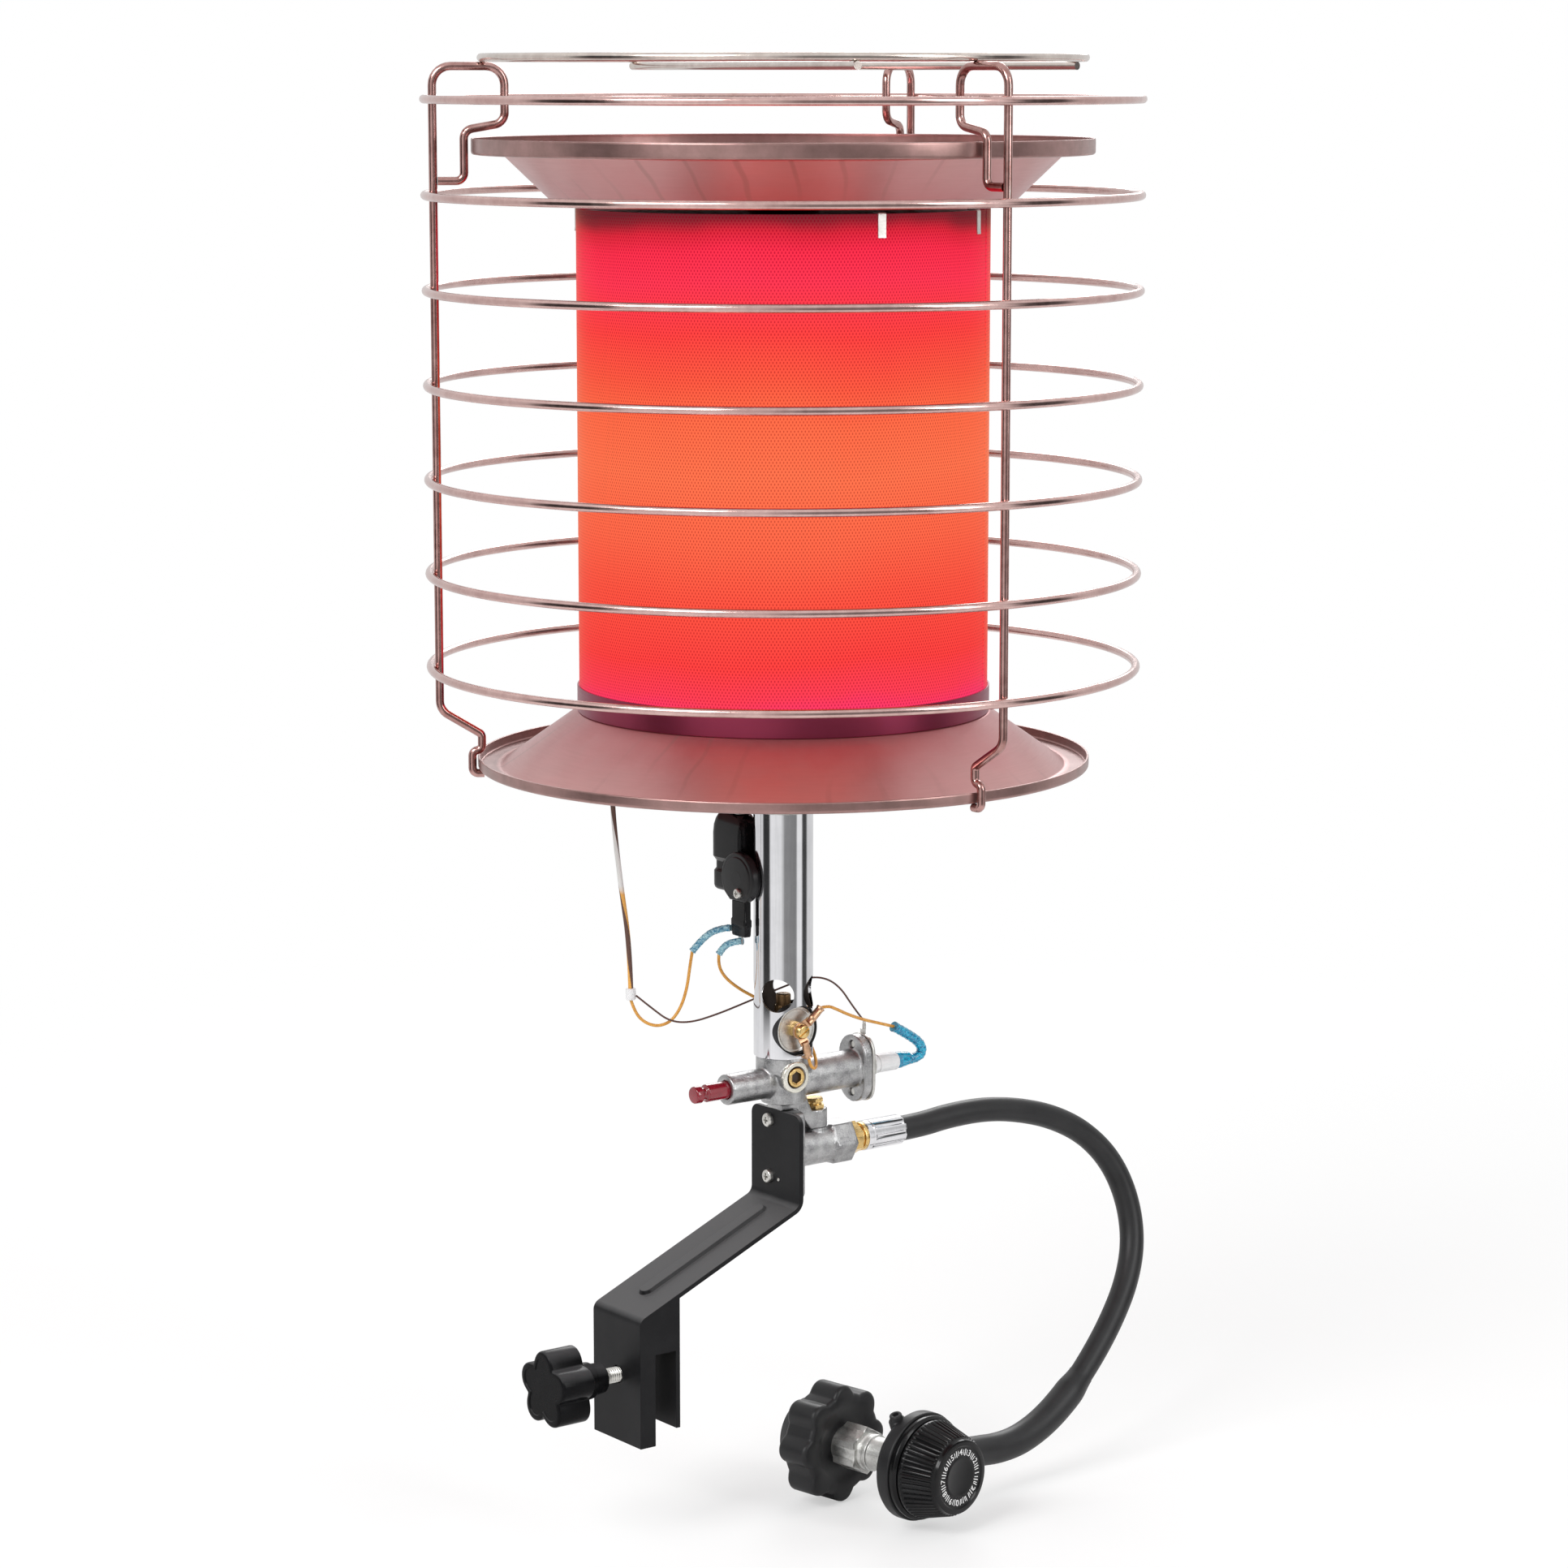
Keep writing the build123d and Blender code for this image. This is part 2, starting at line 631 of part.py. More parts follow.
# strap round the post with an ear under the housing's top, where a screw holds it
with BuildPart() as switch_clip:
    rod(level(262.0), POST_R + 1.3, 10.0)
    block((-30.0, -10.0, 262.0), (-10.0, -8.4, 272.0))
    block((-30.0, -13.0, 258.1), (-20.0, -8.4, 262.0))
    rod(level(250.0), POST_R + 0.05, 30.0, mode=Mode.SUBTRACT)
switch_clip.part.label = "switch_clip"
export_step(switch_clip.part, "parts/switch_clip.step")

# ================================================================ gas valve
BOSS_Y = -2.5
BOSS_Z = 127.0
BOSS_FACE = 14.4
BOSS_R = 7.2
PLUG_R = 5.4
PLUG_BACK = 11.9
BORE_END = -8.0
END_SCREW_OFFSET = 12.5
SCREW_SHANK_R = 2.0
SHANK_HOLE_R = SCREW_SHANK_R + 0.05
COLUMN_Y = 20.0
COLUMN_JOINT = 96.0
PAD_BACK = 3.5
with BuildPart() as valve_body:
    rod(level(112.0), 11.5, 16.0)
    rod(level(128.0), 14.0, POST_LOW - 128.0)
    rod(level(POST_LOW), POST_BORE_R - 0.1, 1.5)
    rod(level(POST_LOW), 6.0, COLUMN_TOP - POST_LOW)
    rod(facing_x(0, 0, STUD_Z), 5.0, STUD_BACK)
    rod(facing_y(BARREL_END, VALVE_Z), BARREL_R, -BARREL_END)
    rod(facing_y(3.0, VALVE_Z), 9.75, 42.0)
    with BuildSketch(facing_y(FLANGE_Y - 5.5, VALVE_Z)) as end_flange:
        SlotOverall(FLANGE_TALL, FLANGE_WIDE, rotation=90)
    extrude(end_flange.sketch, amount=5.5)
    rod(facing_x(0, BOSS_Y, BOSS_Z), BOSS_R, BOSS_FACE)
    with BuildSketch(facing_x(0, 0, 0)) as web:
        with BuildLine():
            Polyline(
                (-6.0, 117.0),
                (9.0, 117.0),
                (14.3, COLUMN_JOINT + 9.5),
                (COLUMN_Y, COLUMN_JOINT + 9.5),
                (COLUMN_Y, COLUMN_JOINT),
                (COLUMN_Y - 6.4, COLUMN_JOINT),
                (PAD_BACK + 0.7, PLATE_HIGH + 0.3),
                (-6.0, PLATE_HIGH + 0.3),
                close=True,
            )
        make_face()
    extrude(web.sketch, amount=6.0, both=True)
    rod(Plane(origin=(0, POST_Y + COLUMN_Y, COLUMN_JOINT)), 6.5, 9.5)
    rod(facing_y(BARREL_END, VALVE_Z), BUTTON_R + FIT, BORE_END - BARREL_END, Mode.SUBTRACT)
    rod(facing_y(BORE_END, VALVE_Z), SPINDLE_R + 0.1, CHAMBER_Y - BORE_END, Mode.SUBTRACT)
    rod(facing_y(CHAMBER_Y, VALVE_Z), CHAMBER_R, FLANGE_Y - CHAMBER_Y, Mode.SUBTRACT)
    rod(level(VALVE_Z), 1.8, COLUMN_TOP - VALVE_Z, Mode.SUBTRACT)
    rod(facing_x(1.4, 0, STUD_Z), STUD_R + 0.05, 6.0, Mode.SUBTRACT)
    rod(facing_x(PLUG_BACK, BOSS_Y, BOSS_Z), PLUG_R + 0.05, 4.0, Mode.SUBTRACT)
    for side in (-1, 1):
        hole_place = facing_y(FLANGE_Y - 5.5, VALVE_Z + side * END_SCREW_OFFSET)
        rod(hole_place, SHANK_HOLE_R, 5.5, Mode.SUBTRACT)
valve_body.part.label = "valve_body"
export_step(valve_body.part, "parts/valve_body.step")

with BuildPart() as valve_button:
    turned(
        VALVE_SIDE,
        VALVE_AXIS,
        [
            (BUTTON_TIP, 0),
            (BUTTON_TIP, BUTTON_R - 0.7),
            (BUTTON_TIP + 0.7, BUTTON_R),
            (-52.6, BUTTON_R),
            (-51.6, 3.1),
            (-50.0, 3.1),
            (-49.0, BUTTON_R),
            (BUTTON_END, BUTTON_R),
            (BUTTON_END, SPINDLE_R),
            (BUTTON_END - 6.0, SPINDLE_R),
            (BUTTON_END - 6.0, 0),
        ],
    )
valve_button.part.label = "valve_button"
export_step(valve_button.part, "parts/valve_button.step")

with BuildPart() as valve_spindle:
    turned(
        VALVE_SIDE,
        VALVE_AXIS,
        [
            (BUTTON_END - 6.0, 0),
            (BUTTON_END - 6.0, SPINDLE_R),
            (CHAMBER_Y + 0.05, SPINDLE_R),
            (CHAMBER_Y + 0.05, 5.5),
            (CHAMBER_Y + 2.0, 5.5),
            (CHAMBER_Y + 2.0, 0),
        ],
    )
valve_spindle.part.label = "valve_spindle"
export_step(valve_spindle.part, "parts/valve_spindle.step")

SPRING_WIRE_R = 0.35
SPRING_R = 3.3
with BuildPart() as valve_spring:
    with BuildLine() as valve_coil:
        Helix(
            pitch=2.3,
            height=8.9,
            radius=SPRING_R,
            center=(0, POST_Y + BUTTON_END + 0.5, VALVE_Z),
            direction=(0, 1, 0),
        )
    with BuildSketch(Plane(origin=valve_coil.line @ 0, z_dir=valve_coil.line % 0)):
        Circle(SPRING_WIRE_R)
    sweep(is_frenet=True)
valve_spring.part.label = "valve_spring"
export_step(valve_spring.part, "parts/valve_spring.step")

MAGNET_Y = 24.0
NUT_END = FLANGE_Y + PLATE_T + 4.9
with BuildPart() as magnet_unit:
    rod(facing_y(MAGNET_Y, VALVE_Z), CHAMBER_R - 0.1, FLANGE_Y - MAGNET_Y)
    rod(facing_y(FLANGE_Y, VALVE_Z), 4.5, PLATE_T)
    hexagon(facing_y(FLANGE_Y + PLATE_T, VALVE_Z), 12.0, 4.9)
    rod(facing_y(NUT_END, VALVE_Z), 3.0, 2.0)
magnet_unit.part.label = "magnet_unit"
export_step(magnet_unit.part, "parts/magnet_unit.step")

with BuildPart() as magnet_plate:
    with BuildSketch(facing_y(FLANGE_Y, VALVE_Z)):
        SlotOverall(FLANGE_TALL, FLANGE_WIDE, rotation=90)
        Circle(4.6, mode=Mode.SUBTRACT)
        with Locations((0, END_SCREW_OFFSET), (0, -END_SCREW_OFFSET)):
            Circle(SHANK_HOLE_R, mode=Mode.SUBTRACT)
    extrude(amount=PLATE_T)
magnet_plate.part.label = "magnet_plate"
export_step(magnet_plate.part, "parts/magnet_plate.step")

CONNECTOR_END = NUT_END + 16.5
with BuildPart() as lead_connector:
    rod(facing_y(NUT_END, VALVE_Z), 4.8, CONNECTOR_END - NUT_END)
    fillet(lead_connector.faces().sort_by(Axis.Y)[-1].edges(), 0.8)
    rod(facing_y(NUT_END, VALVE_Z), 3.05, 2.1, Mode.SUBTRACT)
lead_connector.part.label = "lead_connector"
export_step(lead_connector.part, "parts/lead_connector.step")

with BuildPart() as test_plug:
    rod(facing_x(PLUG_BACK, BOSS_Y, BOSS_Z), PLUG_R, 3.1)
    chamfer(test_plug.faces().sort_by(Axis.X)[-1].edges(), 0.5)
    with BuildSketch(facing_x(PLUG_BACK + 0.6, BOSS_Y, BOSS_Z)):
        RegularPolygon(2.5, 6, major_radius=False)
    extrude(amount=4.0, mode=Mode.SUBTRACT)
test_plug.part.label = "test_plug"
export_step(test_plug.part, "parts/test_plug.step")

# ================================================================ inlet casting and its fittings
HEX_Y = 27.0
HEX_END = 40.0
BRACKET_SCREWS = ((-5.5, 101.7), (-5.5, 72.2))
with BuildPart() as inlet_block:
    block((-14.0, -2.5, 63.0), (14.0, PAD_BACK, PLATE_HIGH))
    fillet(inlet_block.edges().filter_by(Axis.Y), 3.0)
    rod(facing_y(0, INLET_Z), 10.0, HEX_Y)
    hexagon(facing_y(HEX_Y, INLET_Z), 20.5, HEX_END - HEX_Y)
    rod(Plane(origin=(0, POST_Y + COLUMN_Y, INLET_Z)), 6.5, COLUMN_JOINT - INLET_Z)
    rod(facing_y(14.0, INLET_Z), 4.0, HEX_END - 14.0, Mode.SUBTRACT)
    rod(Plane(origin=(0, POST_Y + COLUMN_Y, INLET_Z)), 2.5, 10.0, Mode.SUBTRACT)
    for screw_x, screw_z in BRACKET_SCREWS:
        rod(facing_y(-2.5, screw_z, screw_x), SHANK_HOLE_R, 6.0, Mode.SUBTRACT)
inlet_block.part.label = "inlet_block"
export_step(inlet_block.part, "parts/inlet_block.step")

with BuildPart() as bleed_screw:
    hexagon(Plane(origin=(0, POST_Y + COLUMN_Y, COLUMN_JOINT + 9.5)), 9.0, 2.2)
    rod(Plane(origin=(0, POST_Y + COLUMN_Y, COLUMN_JOINT + 11.7)), 3.6, 1.2)
    hexagon(Plane(origin=(0, POST_Y + COLUMN_Y, COLUMN_JOINT + 12.9)), 8.0, 2.0)
bleed_screw.part.label = "bleed_screw"
export_step(bleed_screw.part, "parts/bleed_screw.step")

ADAPTER_END = 50.5
with BuildPart() as inlet_adapter:
    rod(facing_y(30.0, INLET_Z), 3.95, HEX_END - 30.0)
    hexagon(facing_y(HEX_END, INLET_Z), 15.0, 6.5)
    rod(facing_y(HEX_END + 6.5, INLET_Z), 6.2, 1.6)
    rod(facing_y(HEX_END + 8.1, INLET_Z), 7.4, ADAPTER_END - HEX_END - 8.1)
    rod(facing_y(30.0, INLET_Z), 2.5, ADAPTER_END - 30.0, Mode.SUBTRACT)
inlet_adapter.part.label = "inlet_adapter"
export_step(inlet_adapter.part, "parts/inlet_adapter.step")

FERRULE_R = 7.8
FERRULE_END = 75.5
CRIMP_COUNT = 8
with BuildPart() as hose_ferrule:
    rod(facing_y(ADAPTER_END, INLET_Z), FERRULE_R, FERRULE_END - ADAPTER_END)
    chamfer(hose_ferrule.faces().sort_by(Axis.Y)[-1].edges(), 0.8)
    for crimp in range(CRIMP_COUNT):
        crimp_turn = radians(360 / CRIMP_COUNT * crimp)
        groove_x = (FERRULE_R + 1.1) * cos(crimp_turn)
        groove_z = INLET_Z + (FERRULE_R + 1.1) * sin(crimp_turn)
        rod(facing_y(ADAPTER_END + 3.0, groove_z, groove_x), 1.8, 25.0, Mode.SUBTRACT)
hose_ferrule.part.label = "hose_ferrule"
export_step(hose_ferrule.part, "parts/hose_ferrule.step")

# ================================================================ bracket and clamp
ARM_SLOPE = atan2(PLATE_LOW - CLAMP_TOP, PLATE_Y - CLAMP_FRONT)
ARM_DIR = (0, cos(ARM_SLOPE), sin(ARM_SLOPE))
BEND_R = 5.0


def arm_top(y):
    """Height of the arm's upper face at a distance along Y."""
    return CLAMP_TOP + (y - CLAMP_FRONT) * tan(ARM_SLOPE)


SIDE_VIEW = Plane(origin=(0, 0, 0), x_dir=(0, 1, 0), z_dir=(1, 0, 0))
RIB_W = 9.0
RIB_H = 1.8
with BuildPart() as bracket:
    with BuildSketch(SIDE_VIEW) as spine_view:
        with BuildLine() as spine:
            FilletPolyline(
                (PLATE_Y, PLATE_HIGH),
                (PLATE_Y, PLATE_LOW),
                (CLAMP_FRONT, CLAMP_TOP),
                (CLAMP_FRONT, CLAMP_LOW),
                radius=BEND_R,
            )
            offset(amount=SHEET, side=Side.LEFT)
        make_face()
    extrude(spine_view.sketch, amount=BRACKET_W / 2, both=True)
    fillet(bracket.edges().filter_by(Axis.Y).group_by(Axis.Z)[-1], 5.0)
    # side webs, cut by the slot for the tank collar
    with BuildSketch(SIDE_VIEW) as web_view:
        with BuildLine():
            Polyline(
                (CLAMP_FRONT + 0.4, 12.0),
                (CLAMP_FRONT + 3.2, arm_top(CLAMP_FRONT + 3.2) - 0.6),
                (CLAMP_BACK, arm_top(CLAMP_BACK) - 0.6),
                (CLAMP_BACK, CLAMP_BACK_LOW),
                (SLOT_HALF, CLAMP_BACK_LOW),
                (SLOT_HALF, 0),
                (-SLOT_HALF, 0),
                (-SLOT_HALF, CLAMP_LOW),
                (CLAMP_FRONT + 0.4, CLAMP_LOW),
                close=True,
            )
        make_face()
    for side in (-1, 1):
        web_plane = SIDE_VIEW.offset(side * (BRACKET_W / 2 - SHEET / 2))
        extrude(web_view.sketch.moved(Location(web_plane.origin)), amount=SHEET / 2, both=True)
    # back leg between the webs
    leg_plane = Plane(origin=(0, (SLOT_HALF + CLAMP_BACK) / 2, CLAMP_BACK_LOW))
    with BuildSketch(leg_plane) as back_leg:
        Rectangle(BRACKET_W, CLAMP_BACK - SLOT_HALF)
    extrude(back_leg.sketch, amount=arm_top(SLOT_HALF) - 1.5 - CLAMP_BACK_LOW)
    # pressed rib along the arm, open from below
    rib_plane = Plane(
        origin=(0, 38.0, arm_top(38.0)), x_dir=ARM_DIR, z_dir=(0, -ARM_DIR[2], ARM_DIR[1])
    )
    with BuildSketch(rib_plane) as rib_top:
        SlotOverall(84.0, RIB_W)
    extrude(rib_top.sketch, amount=RIB_H, taper=30)
    with BuildSketch(rib_plane.offset(-SHEET)) as rib_hollow:
        SlotOverall(79.0, RIB_W - 5.0)
    extrude(rib_hollow.sketch, amount=RIB_H, mode=Mode.SUBTRACT)
    for screw_x, screw_z in BRACKET_SCREWS:
        rod(facing_y(-5.0, screw_z, screw_x), SHANK_HOLE_R, SHEET, Mode.SUBTRACT)
    rod(Plane(origin=(0, CLAMP_FRONT, SCREW_Z), z_dir=(0, 1, 0)), 4.6, SHEET, Mode.SUBTRACT)
bracket.part.label = "bracket"
export_step(bracket.part, "parts/bracket.step")

NUT_FACE = CLAMP_FRONT + SHEET
with BuildPart() as clamp_nut:
    hexagon(Plane(origin=(0, NUT_FACE, SCREW_Z), z_dir=(0, 1, 0)), 14.0, 6.3)
    rod(Plane(origin=(0, NUT_FACE, SCREW_Z), z_dir=(0, 1, 0)), SCREW_R + FIT, 6.3, Mode.SUBTRACT)
clamp_nut.part.label = "clamp_nut"
export_step(clamp_nut.part, "parts/clamp_nut.step")

PAD_T = 2.0
SCREW_END = PAD_FACE - PAD_T - 0.05
with BuildPart() as clamp_screw:
    rod(Plane(origin=(0, KNOB_BACK, SCREW_Z), z_dir=(0, 1, 0)), SCREW_R, SCREW_END - KNOB_BACK)
    chamfer(clamp_screw.faces().sort_by(Axis.Y)[-1].edges(), 0.8)
clamp_screw.part.label = "clamp_screw"
export_step(clamp_screw.part, "parts/clamp_screw.step")

LOBE_COUNT = 5
LOBE_R = 6.2
LOBE_CENTRE_R = 13.8
with BuildPart() as star_knob:
    star_plane = Plane(origin=(0, KNOB_BACK, SCREW_Z), x_dir=(1, 0, 0), z_dir=(0, -1, 0))
    with BuildSketch(star_plane) as star:
        Circle(13.0)
        with PolarLocations(LOBE_CENTRE_R, LOBE_COUNT, start_angle=90):
            Circle(LOBE_R)
        fillet(star.vertices(), 3.0)
    extrude(star.sketch, amount=KNOB_BACK - KNOB_FACE)
    fillet(star_knob.faces().sort_by(Axis.Y)[0].edges(), 1.6)
    turned(
        SCREW_SIDE,
        SCREW_AXIS,
        [
            (KNOB_BACK - 2.0, 0),
            (KNOB_BACK - 2.0, 11.0),
            (KNOB_BACK, 10.0),
            (HUB_END, 8.0),
            (HUB_END, 0),
        ],
    )
    rod(Plane(origin=(0, KNOB_BACK, SCREW_Z), z_dir=(0, 1, 0)), SCREW_R, 20.0, Mode.SUBTRACT)
star_knob.part.label = "star_knob"
export_step(star_knob.part, "parts/star_knob.step")

with BuildPart() as clamp_pad:
    rod(Plane(origin=(0, PAD_FACE - PAD_T, SCREW_Z), z_dir=(0, 1, 0)), 8.0, PAD_T)
    chamfer(clamp_pad.faces().sort_by(Axis.Y)[0].edges(), 0.5)
clamp_pad.part.label = "clamp_pad"
export_step(clamp_pad.part, "parts/clamp_pad.step")

# ================================================================ regulator
# stations are distances from the middle of the tank nut along the regulator's axis
STEM_R = 9.5
BODY_START = 50.0
BODY_END = 66.0
KNOB_START = 70.6
KNOB_END = 91.0
NECK_R = 13.42
OUTLET_STATION = 58.0
OUTLET_REACH = 40.0
with BuildPart() as inlet_nipple:
    turned(
        REG_SIDE,
        REG_AXIS,
        [
            (-26.0, 2.0),
            (-26.0, 3.5),
            (-22.0, 5.0),
            (-12.0, 5.0),
            (-12.0, 9.0),
            (-4.0, 9.0),
            (-4.0, 13.0),
            (0.0, 13.0),
            (0.0, STEM_R),
            (34.0, STEM_R),
            (34.0, 8.6),
            (BODY_START, 8.6),
            (BODY_START, 2.0),
        ],
    )
    hexagon(along_regulator(13.5), 22.0, 15.0)
    rod(along_regulator(13.5), 2.0, 20.0, Mode.SUBTRACT)
inlet_nipple.part.label = "inlet_nipple"
export_step(inlet_nipple.part, "parts/inlet_nipple.step")

NUT_LOBES = 8
WHEEL_START = -6.5
WHEEL_END = 12.5
with BuildPart() as qcc_nut:
    with BuildSketch(along_regulator(WHEEL_START)) as wheel:
        Circle(27.0)
        with PolarLocations(24.2, NUT_LOBES):
            Circle(6.8)
        fillet(wheel.vertices(), 3.0)
    extrude(amount=WHEEL_END - WHEEL_START)
    wheel_ends = qcc_nut.faces().filter_by(GeomType.PLANE)
    fillet(wheel_ends.edges(), 1.6)
    turned(REG_SIDE, REG_AXIS, [(-16.0, 0), (-16.0, 19.0), (-6.0, 21.0), (-6.0, 0)])
    rod(along_regulator(-16.0), 16.65, 16.3, Mode.SUBTRACT)
    rod(along_regulator(0.2), STEM_R + 0.1, 20.0, Mode.SUBTRACT)
qcc_nut.part.label = "qcc_nut"
export_step(qcc_nut.part, "parts/qcc_nut.step")

BODY_SHELL = [
    (BODY_START, 2.0),
    (BODY_START, 15.0),
    (53.0, 21.0),
    (58.0, 28.0),
    (60.0, 29.5),
    (BODY_END, 29.5),
    (BODY_END, 23.0),
    (60.0, 23.0),
    (57.0, 6.0),
    (57.0, 2.0),
]


OUTLET_DIR = (
    REG_ACROSS[0] * cos(radians(OUTLET_ROLL)),
    REG_ACROSS[1] * cos(radians(OUTLET_ROLL)),
    -sin(radians(OUTLET_ROLL)),
)


def across_outlet(reach):
    """Plane across the outlet at a reach from the regulator's axis, facing the hose."""
    place = [
        base + OUTLET_STATION * way + reach * side
        for base, way, side in zip(REG_BASE, REG_DIR, OUTLET_DIR)
    ]
    return Plane(origin=place, z_dir=OUTLET_DIR)


with BuildPart() as regulator_body:
    turned(REG_SIDE, REG_AXIS, BODY_SHELL)
    rod(across_outlet(23.6), 7.5, OUTLET_REACH - 23.6)
    rod(across_outlet(20.0), 3.0, OUTLET_REACH - 20.0, Mode.SUBTRACT)
regulator_body.part.label = "regulator_body"
export_step(regulator_body.part, "parts/regulator_body.step")

with BuildPart() as regulator_diaphragm:
    rod(along_regulator(BODY_END - 1.0), 22.9, 0.9)
    rod(along_regulator(BODY_END - 0.1), 8.6, 1.2)
regulator_diaphragm.part.label = "regulator_diaphragm"
export_step(regulator_diaphragm.part, "parts/regulator_diaphragm.step")

with BuildPart() as regulator_bonnet:
    turned(
        REG_SIDE,
        REG_AXIS,
        [
            (BODY_END, 9.5),
            (BODY_END, 27.5),
            (BODY_END + 4.0, 27.5),
            (BODY_END + 4.0, NECK_R),
            (84.0, NECK_R),
            (84.0, 9.5),
        ],
    )
regulator_bonnet.part.label = "regulator_bonnet"
export_step(regulator_bonnet.part, "parts/regulator_bonnet.step")

MAIN_SPRING_R = 7.2
MAIN_WIRE_R = 0.9
with BuildPart() as regulator_spring:
    with BuildLine() as main_coil:
        Helix(
            pitch=3.4,
            height=15.5,
            radius=MAIN_SPRING_R,
            center=tuple(b + (BODY_END + 2.1) * w for b, w in zip(REG_BASE, REG_DIR)),
            direction=REG_DIR,
        )
    with BuildSketch(Plane(origin=main_coil.line @ 0, z_dir=main_coil.line % 0)):
        Circle(MAIN_WIRE_R)
    sweep(is_frenet=True)
regulator_spring.part.label = "regulator_spring"
export_step(regulator_spring.part, "parts/regulator_spring.step")

FLUTE_COUNT = 20
KNOB_R = 25.6
KNOB_FACE_R = 19.6
with BuildPart() as regulator_knob:
    turned(
        REG_SIDE,
        REG_AXIS,
        [
            (KNOB_START, NECK_R + 0.08),
            (KNOB_START, KNOB_R),
            (KNOB_START + 2.5, KNOB_R),
            (KNOB_END - 1.2, KNOB_FACE_R),
            (KNOB_END, KNOB_FACE_R - 1.2),
            (KNOB_END, 10.4),
            (KNOB_END - 0.6, 10.0),
            (KNOB_END - 0.6, 0),
            (86.0, 0),
            (86.0, NECK_R + 0.08),
        ],
    )
    for flute in range(FLUTE_COUNT):
        flute_turn = 2 * pi * flute / FLUTE_COUNT
        out = (Vector(*REG_ACROSS) * cos(flute_turn)) + (Vector(0, 0, 1) * sin(flute_turn))
        way = Vector(*REG_DIR) * (KNOB_END - 3.5 - KNOB_START) - out * (KNOB_R - KNOB_FACE_R)
        foot = Vector(*REG_BASE) + Vector(*REG_DIR) * (KNOB_START + 2.0) + out * (KNOB_R + 1.0)
        rod(Plane(origin=foot, z_dir=way), 1.9, 16.5, Mode.SUBTRACT)
regulator_knob.part.label = "regulator_knob"
export_step(regulator_knob.part, "parts/regulator_knob.step")

# ================================================================ screws
HEAD_R = 3.7
HEAD_H = 2.3
with BuildPart() as pan_screws:
    for screw_x, screw_z in BRACKET_SCREWS:
        pan_screw(facing_front(-5.0, screw_z, screw_x), HEAD_R, HEAD_H, SCREW_SHANK_R, 8.0)
    for side in (-1, 1):
        end_place = facing_y(FLANGE_Y + PLATE_T, VALVE_Z + side * END_SCREW_OFFSET)
        pan_screw(end_place, HEAD_R, HEAD_H, SCREW_SHANK_R, 6.5)
    pan_screw(facing_front(COVER_FRONT, 220.0, COVER_X + 2.0), 2.8, 1.6, 1.2, 0.001)
pan_screws.part.label = "pan_screws"
export_step(pan_screws.part, "parts/pan_screws.step")

# ================================================================ hose and leads
# routes are lists of points from the post axis
HOSE_ROUTE = from_post(
    [
        (0.0, FERRULE_END, INLET_Z),
        (0.0, 89.5, INLET_Z),
        (0.3, 108.0, 88.2),
        (1.3, 131.0, 88.6),
        (2.8, 153.0, 85.4),
        (5.0, 175.5, 78.8),
        (8.2, 195.8, 67.6),
        (12.8, 211.0, 50.8),
        (18.5, 218.2, 29.7),
        (25.4, 216.6, 8.0),
        (32.3, 206.2, -11.2),
        (38.8, 190.0, -28.2),
        (44.3, 171.5, -44.2),
        (48.6, 152.5, -58.4),
        (51.4, 133.5, -69.6),
        (53.2, 114.5, -76.2),
        (53.8, 98.5, -77.5),
    ]
)
OUTLET_MOUTH = across_outlet(OUTLET_REACH).origin
OUTLET_RUN = across_outlet(OUTLET_REACH + 12.0).origin
HOSE_POINTS = HOSE_ROUTE + [tuple(OUTLET_RUN), tuple(OUTLET_MOUTH)]
with BuildPart() as gas_hose:
    with BuildLine() as hose_line:
        FilletPolyline(*HOSE_POINTS, radius=corner_radii(HOSE_POINTS))
    with BuildSketch(Plane(origin=hose_line.line @ 0, z_dir=hose_line.line % 0)):
        Circle(HOSE_D / 2)
    sweep()
gas_hose.part.label = "gas_hose"
export_step(gas_hose.part, "parts/gas_hose.step")
report_route("gas_hose", HOSE_POINTS, HOSE_D, gas_hose.part)

# thicker moulded sleeve over the hose's last stretch before the regulator
SLEEVE_POINTS = HOSE_POINTS[-6:]
with BuildPart() as hose_sleeve:
    with BuildLine() as sleeve_line:
        FilletPolyline(*SLEEVE_POINTS, radius=corner_radii(SLEEVE_POINTS))
    with BuildSketch(Plane(origin=sleeve_line.line @ 0, z_dir=sleeve_line.line % 0)):
        Circle(SLEEVE_D / 2)
        Circle(HOSE_D / 2, mode=Mode.SUBTRACT)
    sweep()
hose_sleeve.part.label = "hose_sleeve"
export_step(hose_sleeve.part, "parts/hose_sleeve.step")

TIE_X = -46.4
TIE_Y = -61.8
TIE_LOW = 164.5
TIE_HIGH = 170.5
with BuildPart() as lead_tie:
    rod(Plane(origin=(TIE_X, POST_Y + TIE_Y, TIE_LOW)), 2.6, TIE_HIGH - TIE_LOW)
    chamfer(lead_tie.edges().filter_by(GeomType.CIRCLE), 0.5)
lead_tie.part.label = "lead_tie"
export_step(lead_tie.part, "parts/lead_tie.step")

